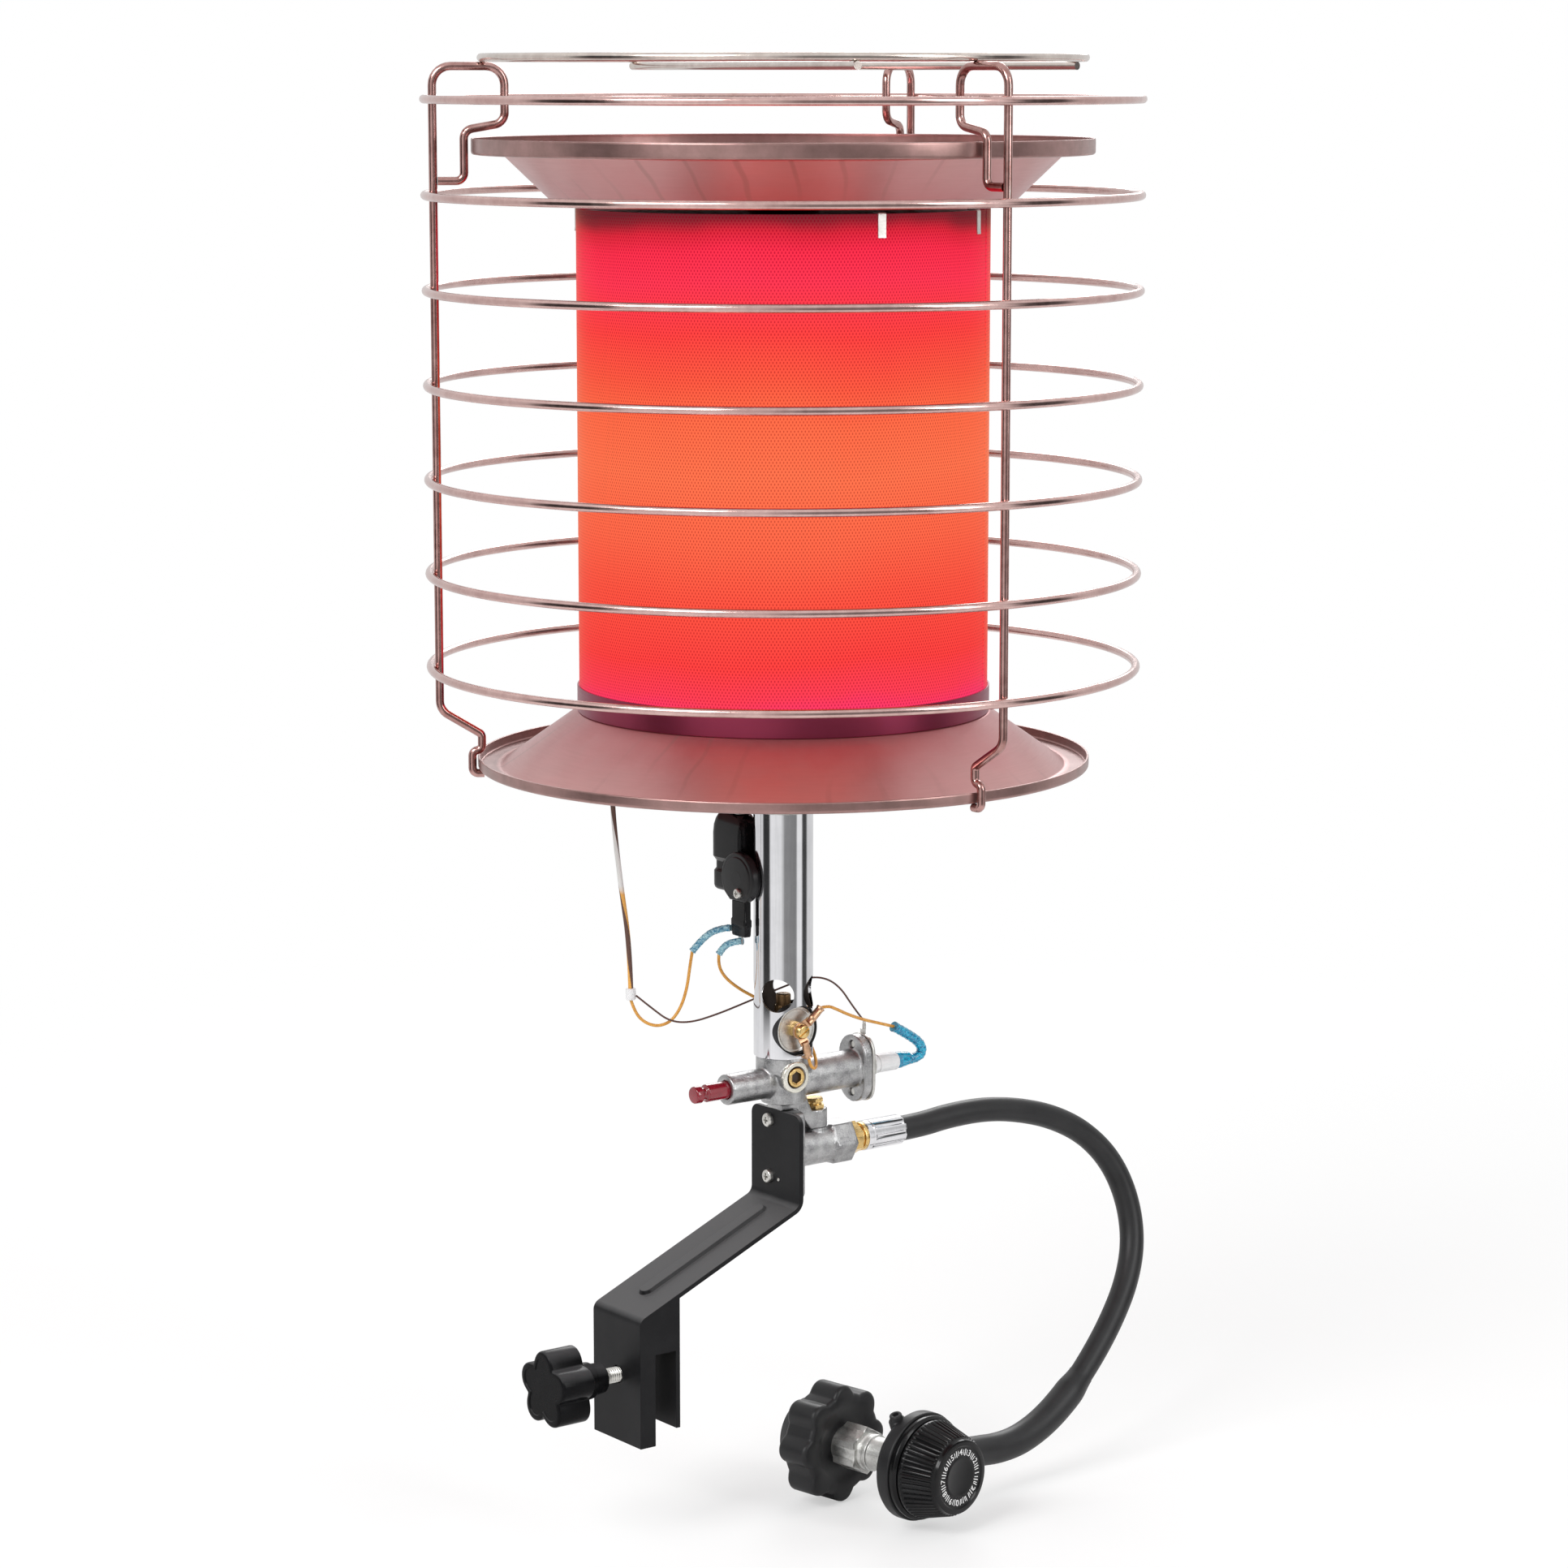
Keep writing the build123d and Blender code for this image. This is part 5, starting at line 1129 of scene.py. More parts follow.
# ---------------------------------------------------------------- helpers for made pieces
def slab(form: Form, place: Place, outline: Sequence[tuple], layers: Sequence[tuple[float, float]],
         steps: int = 6) -> Form:
    """Stands a flat outline on a place.

    Args:
        form: The form that takes it.
        place: Its foot; the outline's first number runs along its zero direction.
        outline: Corners (a, b, softness), counter-clockwise.
        layers: Pairs (along, inset), from foot to top.
        steps: Pieces of each rounded corner.

    Returns:
        The form.
    """
    flat = [Vector(p) for p in softened(outline, True, steps)]
    zero = Vector(place.zero)
    side = Vector(place.way).cross(zero)
    count = len(flat)
    inward = []
    for k in range(count):
        run = (flat[(k + 1) % count] - flat[k - 1]).normalized()
        inward.append(Vector((-run.y, run.x)))
    rings = []
    for along, inset in layers:
        foot = place.at(along)
        moved = [p + n * inset for p, n in zip(flat, inward)]
        rings.append(form.ring(foot + zero * p.x + side * p.y for p in moved))
    return form.capped(rings)


def edge_layers(start: float, end: float, soft: float, both: bool = True) -> list[tuple]:
    """Layers of (along, inset) from start to end with rounded rims."""
    arc = [(soft * (1 - cos(t)), soft * (1 - sin(t))) for t in (0, pi / 8, pi / 4, 3 * pi / 8, pi / 2)]
    low = [(start + rise, inset) for rise, inset in arc] if both else [(start, 0.0)]
    high = [(end - rise, inset) for rise, inset in reversed(arc)]
    return low + high


def lobed(core: float, centre: float, lobe: float, count: int, first: float = 0.0,
          blend: float = 0.7) -> Callable[[float], float]:
    """Radius by angle of a wheel with round lobes that blend into its core."""
    def shape(turn: float) -> float:
        """The wheel's radius at an angle."""
        step = 2 * pi / count
        near = (turn - first + step / 2) % step - step / 2
        room = lobe**2 - (centre * sin(near)) ** 2
        reach = centre * cos(near) + sqrt(max(room, 0.0))
        top = max(core, reach)
        low = min(core, reach)
        return top + blend * log(1 + exp((low - top) / blend))

    return shape


def fluted(radius: float, count: int, depth: float, width: float) -> Callable[[float], float]:
    """Radius by angle of a round form with lengthwise grooves."""
    def shape(turn: float) -> float:
        """The form's radius at an angle."""
        step = 2 * pi / count
        near = abs((turn + step / 2) % step - step / 2) * radius
        return radius - depth * max(0.0, 1 - (near / width) ** 2) ** 0.7

    return shape


def thread(form: Form, place: Place, radius: float, length: float, pitch: float) -> Form:
    """Adds a threaded rod whose ridge climbs round it."""
    depth, sides, per_turn = pitch * 0.45, 32, 8
    rings = []
    steps = int(length / pitch * per_turn)
    for step in range(steps + 1):
        along = length * step / steps
        ring = []
        for k in range(sides):
            phase = (along / pitch - k / sides) % 1.0
            near_end = min(along, length - along) / pitch
            cut_in = abs(phase - 0.5) * 2 * depth
            ring.append(place.at(along, radius - cut_in - max(0.0, 0.6 - near_end) * 0.8,
                                 2 * pi * k / sides))
        rings.append(form.ring(ring))
    return form.capped(rings)


def strip(form: Form, path: Sequence[Vector], across: Vector, half: float, thick: float) -> Form:
    """Runs a flat strip along a path, with its width across and its thickness outwards."""
    rings = []
    for number, point in enumerate(path):
        way = path[min(number + 1, len(path) - 1)] - path[max(number - 1, 0)]
        out = way.cross(across).normalized() * thick / 2
        wide = across.normalized() * half
        rings.append(form.ring([point - wide - out, point + wide - out,
                                point + wide + out, point - wide + out]))
    return form.capped(rings)


def merged(node: Object, flat_angle: float = 0.0) -> Mesh:
    """A copy of a frame node's mesh with its loose triangles joined.

    Args:
        node: The frame node.
        flat_angle: Faces that turn less than this, in degrees, become one face.

    Returns:
        The copy.
    """
    copy = node.data.copy()
    work = bmesh.new()
    work.from_mesh(copy)
    bmesh.ops.remove_doubles(work, verts=work.verts, dist=2e-6)
    if flat_angle:
        bmesh.ops.dissolve_limit(work, angle_limit=radians(flat_angle), verts=work.verts,
                                 edges=work.edges)
    work.to_mesh(copy)
    work.free()
    return copy


def cast_skin(node: Object, name: str, grid: float, rounds: int) -> Mesh:
    """A cast surface over a frame node: its copy remeshed and eased, so its joins run together.

    Args:
        node: The frame node.
        name: The new mesh's name.
        grid: The size of the new mesh's faces, in millimetres.
        rounds: How often the new mesh is eased.

    Returns:
        The mesh.
    """
    carrier = linked(name, merged(node))
    remesh = carrier.modifiers.new("skin", "REMESH")
    remesh.mode = "VOXEL"
    remesh.voxel_size = grid * MM
    ease = carrier.modifiers.new("ease", "SMOOTH")
    ease.factor = 0.5
    ease.iterations = rounds
    mesh = worked_out(carrier)
    bpy.data.objects.remove(carrier)
    mesh.name = name
    return mesh


def sharpened(node: Object, name: str, material: Material, width: float,
              segments: int = 3) -> Object:
    """A copy of a frame node with its flat faces joined and its edges rounded."""
    return bevelled(piece(name, merged(node, 0.6), material), width, segments)


def screw_head(radius: float, height: float) -> Form:
    """A pan head on its shank, standing on the origin and pointing up."""
    outline = [(-6.2, 0), (-6.2, 1.9, 0.5), (0, 1.9), (0, radius),
               (height, radius * 0.93, height * 0.55), (height * 1.04, 0)]
    return Form().turned(Place((0.0, 0.0, 0.0)), outline, False, 64)


def screw_piece(radius: float, height: float, material: Material) -> Object:
    """The head with its recess cut in, as an object at the origin."""
    made = piece("screw_unit", screw_head(radius, height).mesh("screw_unit"), material)
    for turn in (0.0, pi / 2):
        way = Vector((cos(turn), sin(turn), 0)) * radius
        side = Vector((-sin(turn), cos(turn), 0)) * radius
        knife = Form()
        knife.capped([
            knife.ring(way * a * reach + side * b * half + Vector((0, 0, deep))
                       for a, b in SQUARE)
            for deep, reach, half in ((height * 0.35, 0.28, 0.08), (height * 1.4, 0.62, 0.16))
        ])
        made = cut(made, knife)
    return made


def scattered(name: str, unit: Object, places: Sequence[tuple[Place, float]],
              material: Material) -> Mesh:
    """Repeats a unit piece at places by a Geometry Nodes tree.

    Args:
        name: The mesh's name.
        unit: A piece at the origin that points up.
        places: Where it stands, each with its size; each place turns it to its own axis.
        material: What it is made of.

    Returns:
        One mesh with every repeat.
    """
    spots = bpy.data.meshes.new(name + "_places")
    spots.from_pydata([Vector(place.foot) * MM for place, _ in places], [], [])
    sizes = spots.attributes.new("size", "FLOAT", "POINT")
    sizes.data.foreach_set("value", [size for _, size in places])
    turns = spots.attributes.new("turn", "FLOAT_VECTOR", "POINT")
    for slot, (place, _) in zip(turns.data, places):
        zero, way = Vector(place.zero), Vector(place.way)
        frame = Matrix((zero, way.cross(zero), way)).transposed()
        slot.vector = frame.to_euler()
    plan = Plan(name + "_set", Unit=unit)
    shape = plan.node("GeometryNodeObjectInfo", {"transform_space": "ORIGINAL"},
                      {"Object": plan.entry["Unit"]})
    turn, size = plan.stored("FLOAT_VECTOR", "turn"), plan.stored("FLOAT", "size")
    many = plan.repeated(plan.entry["Geometry"], shape.outputs["Geometry"], Rotation=turn, Scale=size)
    mesh = plan.result(name, many, material, base=spots)
    bpy.data.objects.remove(unit)
    return mesh


# ---------------------------------------------------------------- sub-assemblies
@dataclass
class Guard:
    """Wire guard: seven rings, three bent uprights and the top grate."""

    wire: float = 4.2
    ring_r: float = 175.7
    ring_low: float = 337.0
    ring_pitch: float = 46.4
    ring_count: int = 7
    upright_r: float = 171.6
    upright_count: int = 3
    loop_r: float = 136.5
    loop_z: float = 631.2
    pan_r: float = 153.0
    dish_low: float = 286.0
    grate_r: float = 147.5
    grate_bars: tuple = ((99.2, 122.0, 85.0), (255.3, 23.7, 147.6))

    finishes: ClassVar[dict] = {
        "guard_rings": "chrome wire", "guard_uprights": "upright wire", "top_grate": "grate wire",
    }

    def build(self, dresser: Dresser) -> None:
        """Makes the three pieces."""
        for name, mesh, nodes in (
            ("guard_rings", self.rings(dresser), ("guard_rings_low", "guard_rings_high")),
            ("guard_uprights", self.uprights(dresser), ("guard_uprights",)),
            ("top_grate", self.grate(dresser), ("top_grate",)),
        ):
            finish = self.finishes[name]
            made = piece(name + "_wire", mesh, dresser.stuff(finish), 60.0)
            dresser.add(made, finish, instead_of=nodes)

    def section(self, plan: Plan) -> NodeSocket:
        """The wire's round section as a curve."""
        return plan.circle(14, self.wire / 2 * MM)

    def rings(self, dresser: Dresser) -> Mesh:
        """Repeats one round wire up the guard."""
        plan = Plan("ring_stack", Rings=self.ring_count, Radius=self.ring_r * MM,
                    Pitch=self.ring_pitch * MM)
        circle = plan.circle(RING_POINTS, plan.entry["Radius"])
        wire = plan.node("GeometryNodeCurveToMesh", {}, {0: circle, 1: self.section(plan)})
        step = plan.node("ShaderNodeCombineXYZ", {}, {2: plan.entry["Pitch"]})
        places = plan.node(
            "GeometryNodeMeshLine", {"mode": "OFFSET"},
            {"Count": plan.entry["Rings"], "Offset": step.outputs[0],
             "Start Location": (0.0, POST_Y * MM, self.ring_low * MM)},
        )
        many = plan.repeated(places.outputs[0], wire.outputs[0])
        return plan.result("guard_rings_mesh", many, dresser.stuff("chrome wire"))

    def upright_route(self) -> list[tuple[float, float, float]]:
        """Corners of an upright as (radius, height, bend)."""
        weld, hook = self.upright_r - self.wire / 2 - 0.1, self.pan_r + self.wire / 2 + 0.7
        foot = self.dish_low - self.wire / 2 - 0.05
        out = self.pan_r + 3.5
        return [
            (weld, 576.0, 0), (out, 576.0, 4), (out, 600.5, 5), (self.loop_r, 604.0, 6),
            (self.loop_r, self.loop_z, 9), (self.upright_r, self.loop_z, 9),
            (self.upright_r, 316.0, 8), (151.0, 303.5, 3), (151.0, 296.0, 2.8),
            (hook, 294.8, 2.8), (hook, foot, 2.8), (150.0, foot, 0),
        ]

    def uprights(self, dresser: Dresser) -> Mesh:
        """Bends one wire along its route and repeats it round the guard."""
        route = self.upright_route()
        spine = bpy.data.meshes.new("upright_route")
        spine.from_pydata([(r * MM, 0, z * MM) for r, z, _ in route],
                          [(k, k + 1) for k in range(len(route) - 1)], [])
        bends = spine.attributes.new("bend", "FLOAT", "POINT")
        bends.data.foreach_set("value", [bend * MM for _, _, bend in route])
        plan = Plan("upright_set", Uprights=self.upright_count)
        line = plan.node("GeometryNodeMeshToCurve", {}, {0: plan.entry["Geometry"]})
        round_line = plan.node("GeometryNodeFilletCurve", {"mode": "POLY"},
                               {"Curve": line.outputs[0], "Radius": plan.stored("FLOAT", "bend"),
                                "Limit Radius": True, "Count": 7})
        wire = plan.node("GeometryNodeCurveToMesh", {},
                         {0: round_line.outputs[0], 1: self.section(plan), "Fill Caps": True})
        places = plan.node("GeometryNodeMeshLine", {"mode": "OFFSET"},
                           {"Count": plan.entry["Uprights"], "Offset": (0, 0, 0),
                            "Start Location": (0.0, POST_Y * MM, 0.0)})
        number = plan.node("GeometryNodeInputIndex").outputs[0]
        turn = plan.node("ShaderNodeMath", {"operation": "MULTIPLY"},
                         {0: number, 1: 2 * pi / self.upright_count})
        spin = plan.node("ShaderNodeCombineXYZ", {}, {2: turn.outputs[0]})
        many = plan.repeated(places.outputs[0], wire.outputs[0], Rotation=spin.outputs[0])
        return plan.result("guard_uprights_mesh", many, dresser.stuff("upright wire"), base=spine)

    def grate(self, dresser: Dresser) -> Mesh:
        """Lays two straight wires in a ring."""
        plan = Plan("grate_set", Radius=self.grate_r * MM, Height=(self.loop_z + self.wire - 0.1) * MM)
        circle = plan.circle(RING_POINTS, plan.entry["Radius"])
        lift = plan.node("ShaderNodeCombineXYZ", {}, {1: POST_Y * MM, 2: plan.entry["Height"]})
        ring = plan.node("GeometryNodeTransform", {}, {0: circle, "Translation": lift.outputs[0]})
        together = plan.node("GeometryNodeJoinGeometry")
        plan.join(ring.outputs[0], together.inputs[0])
        for angle, distance, half in self.grate_bars:
            turn, height = radians(angle), (self.loop_z + 0.2) * MM
            middle = Vector((distance * cos(turn), POST_Y + distance * sin(turn), 0)) * MM
            way = Vector((-sin(turn), cos(turn), 0)) * half * MM
            lifted = Vector((0, 0, height))
            bar = plan.node("GeometryNodeCurvePrimitiveLine", {"mode": "POINTS"},
                            {"Start": middle - way + lifted, "End": middle + way + lifted})
            plan.join(bar.outputs[0], together.inputs[0])
        wire = plan.node("GeometryNodeCurveToMesh", {},
                         {0: together.outputs[0], 1: self.section(plan), "Fill Caps": True})
        return plan.result("top_grate_mesh", wire.outputs[0], dresser.stuff("grate wire"))


@dataclass
class RadiantHead:
    """Reflector pan, glowing screen with its tabs and base, dish and tie rod."""

    rim_r: float = 153.0
    sheet: float = 0.9
    screen_r: float = 102.0
    screen_low: float = 315.0
    screen_high: float = 562.5
    clip_angles: tuple = (30.0, 110.0, 230.0, 350.0)
    seam_angle: float = 39.0

    def build(self, dresser: Dresser) -> None:
        """Makes the sheet parts and dresses what is inside."""
        self.sheets(dresser)
        self.screen(dresser)
        self.small_parts(dresser)
        dresser.dress("base steel", "emitter_cap")
        dresser.dress("screen", "burner_drum")
        dresser.dress("brass", "burner_head")

    def sheets(self, dresser: Dresser) -> None:
        """Turns the pan, the dish, the base band and the collar."""
        rim, sheet = self.rim_r, self.sheet
        pan = Form().turned(post_level(0), [
            (565.0, 3.3), (565.0, 113.0, 3), (588.6, 137.6, 3), (588.6, rim, 1.8),
            (595.6, rim, 0.5), (596.5, rim - 0.2, 0.4), (596.5, rim - 1.3, 0.4), (595.2, rim - 1.0, 0.3),
            (588.6 + sheet, rim - sheet, 0.9), (588.6 + sheet, 137.2, 3),
            (565.0 + sheet, 112.6, 3), (565.0 + sheet, 3.3),
        ], sides=224)
        dish = Form().turned(post_level(0), [
            (313.1, 14.4), (313.1, 102.5, 3), (286.0, 140.6, 3), (286.0, rim, 1.8),
            (290.8, rim, 0.5), (291.5, rim - 0.2, 0.3), (291.5, rim - 1.2, 0.3), (290.4, rim - 1.0, 0.3),
            (286.9, rim - sheet, 0.9), (286.9, 141.0, 3), (314.0, 103.0, 3), (314.0, 14.4),
        ], sides=224)
        for name, form in (("top_reflector", pan), ("lower_dish", dish)):
            dresser.put(name + "_sheet", form, "reflector", name, edge_angle=50.0)
        low = self.screen_low
        band = Form().turned(post_level(0), [
            (314.0, 14.4), (314.0, 103.0, 0.5), (327.0, 103.0, 0.4), (327.0, 102.05, 0.2),
            (low, 102.05), (low, 14.4),
        ], sides=192)
        dresser.put("emitter_base_band", band, "base steel", "emitter_base")
        collar = Form().turned(post_level(0), [
            (304.1, 14.35), (304.1, 22.0, 1.4), (313.1, 22.0, 0.5), (313.1, 14.35),
        ])
        dresser.put("post_collar_ring", collar, "zinc", "post_collar")

    def screen(self, dresser: Dresser) -> None:
        """Rolls the screen with its lap seam and hangs its tabs."""
        r, low, high = self.screen_r, self.screen_low, self.screen_high
        form = Form().turned(post_level(0), [
            (low, r - 0.8), (low, r), (high, r, 0.3), (high, r - 0.8, 0.3),
        ], sides=224)
        turn = radians(self.seam_angle)
        out = Vector((cos(turn), sin(turn), 0))
        across = Vector((-sin(turn), cos(turn), 0))
        foot = Vector((0, POST_Y, 0)) + out * (r + 0.18)
        strip(form, [foot + Vector((0, 0, low + 12.4)), foot + Vector((0, 0, high - 0.4))],
              across, 2.4, 0.5)
        dresser.put("emitter_screen_sheet", form, "screen", "emitter_screen")
        unit = Form()
        tab = [Vector((-4.6, 0, 0.5)), Vector((-0.6, 0, 0.5)), Vector((0.15, 0, 0.25)),
               Vector((0.42, 0, -0.5)), Vector((0.42, 0, -9.2)), Vector((0.62, 0, -11.4))]
        strip(unit, tab, Vector((0, 1, 0)), 2.2, 0.75)
        unit_piece = piece("tab_unit", unit.mesh("tab_unit"), dresser.stuff("zinc"))
        unit_piece = bevelled(unit_piece, 0.15, 2)
        places = []
        for angle in self.clip_angles:
            turn = radians(angle)
            way = (cos(turn), sin(turn), 0.0)
            places.append((Place((way[0] * r, POST_Y + way[1] * r, high), UP, way), 1.0))
        mesh = scattered("screen_tabs", unit_piece, places, dresser.stuff("zinc"))
        made = piece("screen_tabs", mesh, dresser.stuff("zinc"))
        dresser.add(made, "zinc", instead_of=["screen_clips"])

    def small_parts(self, dresser: Dresser) -> None:
        """Makes the tie rod with its nut, and the thermocouple with its nut."""
        top = 565.9
        form = Form().turned(post_level(top), [(0, 3.05), (0, 8.2, 0.3), (1.0, 7.6, 0.4), (1.0, 3.05)])
        form.hexed(post_level(top + 1.0), 10.0, 5.0, 3.05)
        thread(form, post_level(top - 8.0), 3.0, 16.0, 1.0)
        form.turned(post_level(331.0), [(0, 0), (0, 2.9), (top - 339.0, 2.9), (top - 339.0, 0)],
                    False, 32)
        dresser.put("tie_rod_and_nut", form, "zinc", "tie_rod")
        x, y = probe_spot()
        at = Place((x, POST_Y + y, 306.0))
        form = Form().turned(at, [(0.6, 0), (0.6, 2.2, 0.5), (3.2, 2.2, 0.4), (3.2, 1.6, 0.2),
                                  (44.0, 1.6, 1.2), (44.0, 0)], False, 40)
        form.hexed(Place((x, POST_Y + y, 308.9)), 7.0, 4.2, 1.62)
        dresser.put("thermocouple_probe", form, "zinc", "thermocouple")


@dataclass
class BurnerPost:
    """Chrome post with its air holes, the orifice inside and the terminal on its side."""

    radius: float = 15.1
    bore: float = 13.9
    low: float = 136.5
    high: float = 318.0
    hole_z: float = 169.4
    holes: tuple = ((40.0, 8.5), (130.0, 8.0), (220.0, 7.0), (310.0, 8.5))
    stud_z: float = 150.8

    def build(self, dresser: Dresser) -> None:
        """Makes the tube and the fittings on it."""
        form = Form().turned(post_level(0), [
            (self.low, self.bore), (self.low, self.radius, 0.35),
            (self.high, self.radius, 0.3), (self.high, self.bore),
        ], sides=160)
        tube = piece("burner_tube_post", form.mesh("burner_tube"), dresser.stuff("chrome tube"))
        # Painted shade: a dark thin tube just inside the bore, cut with the same holes, stands for the
        # shade in the post.
        form = Form().turned(post_level(0), [
            (self.low + 1, self.bore - 0.3), (self.low + 1, self.bore - 0.02),
            (self.high - 1, self.bore - 0.02), (self.high - 1, self.bore - 0.3),
        ], sides=96)
        bore_shade = piece("post_lining", form.mesh("post_lining"), dresser.stuff("shadow"))
        for angle, hole_r in self.holes:
            turn = radians(angle)
            way = (cos(turn), sin(turn), 0.0)
            knife = Form().turned(Place((0, POST_Y, self.hole_z), way, UP),
                                  [(4.0, 0), (4.0, hole_r), (20.0, hole_r), (20.0, 0)],
                                  False, 72)
            tube, bore_shade = cut(tube, knife), cut(bore_shade, knife)
        knife = Form().turned(facing_side(0, 0, self.stud_z),
                              [(3.0, 0), (3.0, 12.9), (20.0, 12.9), (20.0, 0)], False, 72)
        tube, bore_shade = cut(tube, knife), cut(bore_shade, knife)
        dresser.add(bore_shade, "shadow")
        dresser.add(tube, "chrome tube", instead_of=["burner_tube"])
        jet = Form().hexed(post_level(158.0), 8.4, 4.0, 0.62)
        jet.turned(post_level(162.0), [(0, 0.6), (0, 3.8), (6.0, 3.8, 1.2), (6.0, 0.6)], sides=48)
        dresser.put("gas_orifice_jet", jet, "aged brass", "gas_orifice")
        self.terminal(dresser)

    def terminal(self, dresser: Dresser) -> None:
        """Makes the disc, its grommet, the stud with its screw and the lugs."""
        face = facing_side(0, 0, self.stud_z)
        disc = Form().turned(face, [
            (6.2, 2.05), (6.2, 12.0, 0.3), (10.8, 12.0, 0.5), (10.8, 10.8, 0.4), (10.45, 10.3, 0.4),
            (10.45, 2.05),
        ])
        dresser.put("terminal_disc_plate", disc, "zinc", "terminal_disc")
        ring = Form().turned(face, [(6.2, 12.02), (6.2, 12.85, 0.3), (11.5, 12.85, 0.4),
                                    (11.5, 12.02, 0.3)])
        dresser.put("terminal_grommet_ring", ring, "rubber", "terminal_grommet")
        stud = Form().hexed(face.on(7.5), 7.6, 6.0, 2.0)
        stud.turned(face, [(1.5, 0), (1.5, 2.0), (15.1, 2.0), (15.1, 3.9, 0.3), (16.4, 3.9, 0.5),
                           (18.1, 3.2, 1.0), (18.3, 0)], False, 64)
        screw = piece("terminal_screw_body", stud.mesh("terminal_screw"), dresser.stuff("brass"))
        tilt = radians(35)
        long = Vector((0, cos(tilt), sin(tilt))) * 4.2
        wide = Vector((0, -sin(tilt), cos(tilt))) * 0.42
        slot = Form()
        slot.capped([
            slot.ring(face.at(along) + long * a + wide * b for a, b in SQUARE)
            for along in (17.2, 19.3)
        ])
        dresser.add(cut(screw, slot), "brass", instead_of=["terminal_screw"])
        lugs = Form()
        self.lug(lugs, 13.5, 41.0, 16.0)
        self.lug(lugs, 14.3, -75.0, 14.3)
        dresser.put("terminal_lugs_pair", lugs, "copper", "terminal_lugs", edge_angle=40.0)
        dresser.put("plate_crimp", self.crimp(), "zinc", edge_angle=40.0)

    def lug(self, form: Form, seat: float, angle: float, reach: float) -> None:
        """Adds a ring lug with a folded crimp barrel.

        Args:
            form: The form that takes it.
            seat: Where its ring lies along the stud.
            angle: Which way its barrel points, in degrees.
            reach: How far the barrel reaches.
        """
        face = facing_side(seat, 0, self.stud_z)
        form.turned(face, [(0, 2.05), (0, 4.4, 0.2), (0.8, 4.4, 0.2), (0.8, 2.05)], sides=56)
        turn = radians(angle)
        way = Vector((0, cos(turn), sin(turn)))
        across = Vector((0, -sin(turn), cos(turn)))
        flat = [face.at(0.4) + way * d + Vector((rise, 0, 0))
                for d, rise in ((3.6, 0), (5.0, 0.1), (6.2, 0.9), (7.4, 1.1))]
        strip(form, flat, across, 2.5, 0.75)
        middle = face.at(1.9)
        path = [middle + way * (5.6 + (reach - 5.6) * k / 24) for k in range(25)]

        def shape(number: int, spin: float) -> float:
            """Radius of the barrel with its two crimp dents and flared mouth."""
            share = number / 24
            dent = 0.32 * max(0.0, sin(share * 2 * pi * 1.5)) * (0.6 + 0.4 * cos(2 * spin))
            mouth = 0.25 * max(0.0, (share - 0.9) * 10)
            return 2.1 - dent + mouth

        form.bar(path, shape, 24)

    def crimp(self) -> Form:
        """The small crimp of the thin lead under the plate's top screw."""
        form = Form().box((-1.9, 51.1, 139.05), (1.9, 51.7, 142.45))
        path = [Vector((0, POST_Y + 52.1, 140.05 + 6.4 * k / 12)) for k in range(13)]
        return form.bar(path, lambda number, _: 1.0 - 0.18 * max(0.0, sin(number / 12 * 3 * pi)), 20)


@dataclass
class TiltSwitch:
    """Moulded tilt switch beside the post, with its cover."""

    cover_x: float = -12.5
    cover_y: float = -16.5
    cover_z: float = 227.0

    def build(self, dresser: Dresser) -> None:
        """Makes the housing with its neck, and the cover."""
        barrel = Place((-28.1, POST_Y - 10.25, 218.0))
        outline = [(-12.9, -6.25, 6.1), (12.9, -6.25, 1.5), (12.9, 6.25, 1.5), (-12.9, 6.25, 6.1)]
        waist = [(0, 1.8), (0.9, 0.9), (2.2, 0.5), (9.4, 0.5), (10.8, 1.7), (14.6, 1.7), (17.0, 0)]
        dome = [(29.0 + 11.0 * sin(t), 5.6 * (1 - cos(t))) for t in (0, 0.4, 0.75, 1.05, 1.3, pi / 2)]
        form = slab(Form(), barrel, outline, waist + dome)
        neck = Place((-12.0, POST_Y - 17.4, 197.6))
        profile = [(0, 1.0), (0.6, 0.5), (4.6, 0.3), (5.4, 0.0), (8.4, 0.0), (9.2, 0.5), (17.9, 0.5)]
        slab(form, neck, [(-6, -2.5, 1), (6, -2.5, 1), (6, 2.4, 1), (-6, 2.4, 1)], profile)
        form.turned(facing_back(self.cover_y, self.cover_z, self.cover_x),
                    [(0, 0), (0, 12.8), (1.6, 12.8, 0.5), (1.6, 0)], False)
        dresser.put("switch_housing_shell", form, "black gloss", "switch_housing",
                    slot_of="black plastic")
        face = facing_front(self.cover_y, self.cover_z, self.cover_x)

        def shape(turn: float) -> float:
            """The cover's outline: round, with a flat foot over the neck and clipped corners."""
            flat = 11.4 / max(0.01, -sin(turn))
            clip = 13.0 / max(0.01, cos(turn + radians(52)), cos(turn + radians(128)))
            return min(13.5, flat, clip)

        layers = edge_layers(0, 3.4, 0.9, False) + [(3.4, 2.2), (3.9, 2.7), (4.0, 3.4)]
        form = Form().stacked(face, shape, layers, 144)
        form.turned(face, [(3.9, 0), (3.9, 4.4, 0.3), (4.05, 4.2), (4.05, 0)], False, 48)
        dresser.put("switch_cover_disc", form, "black plastic", "switch_cover")


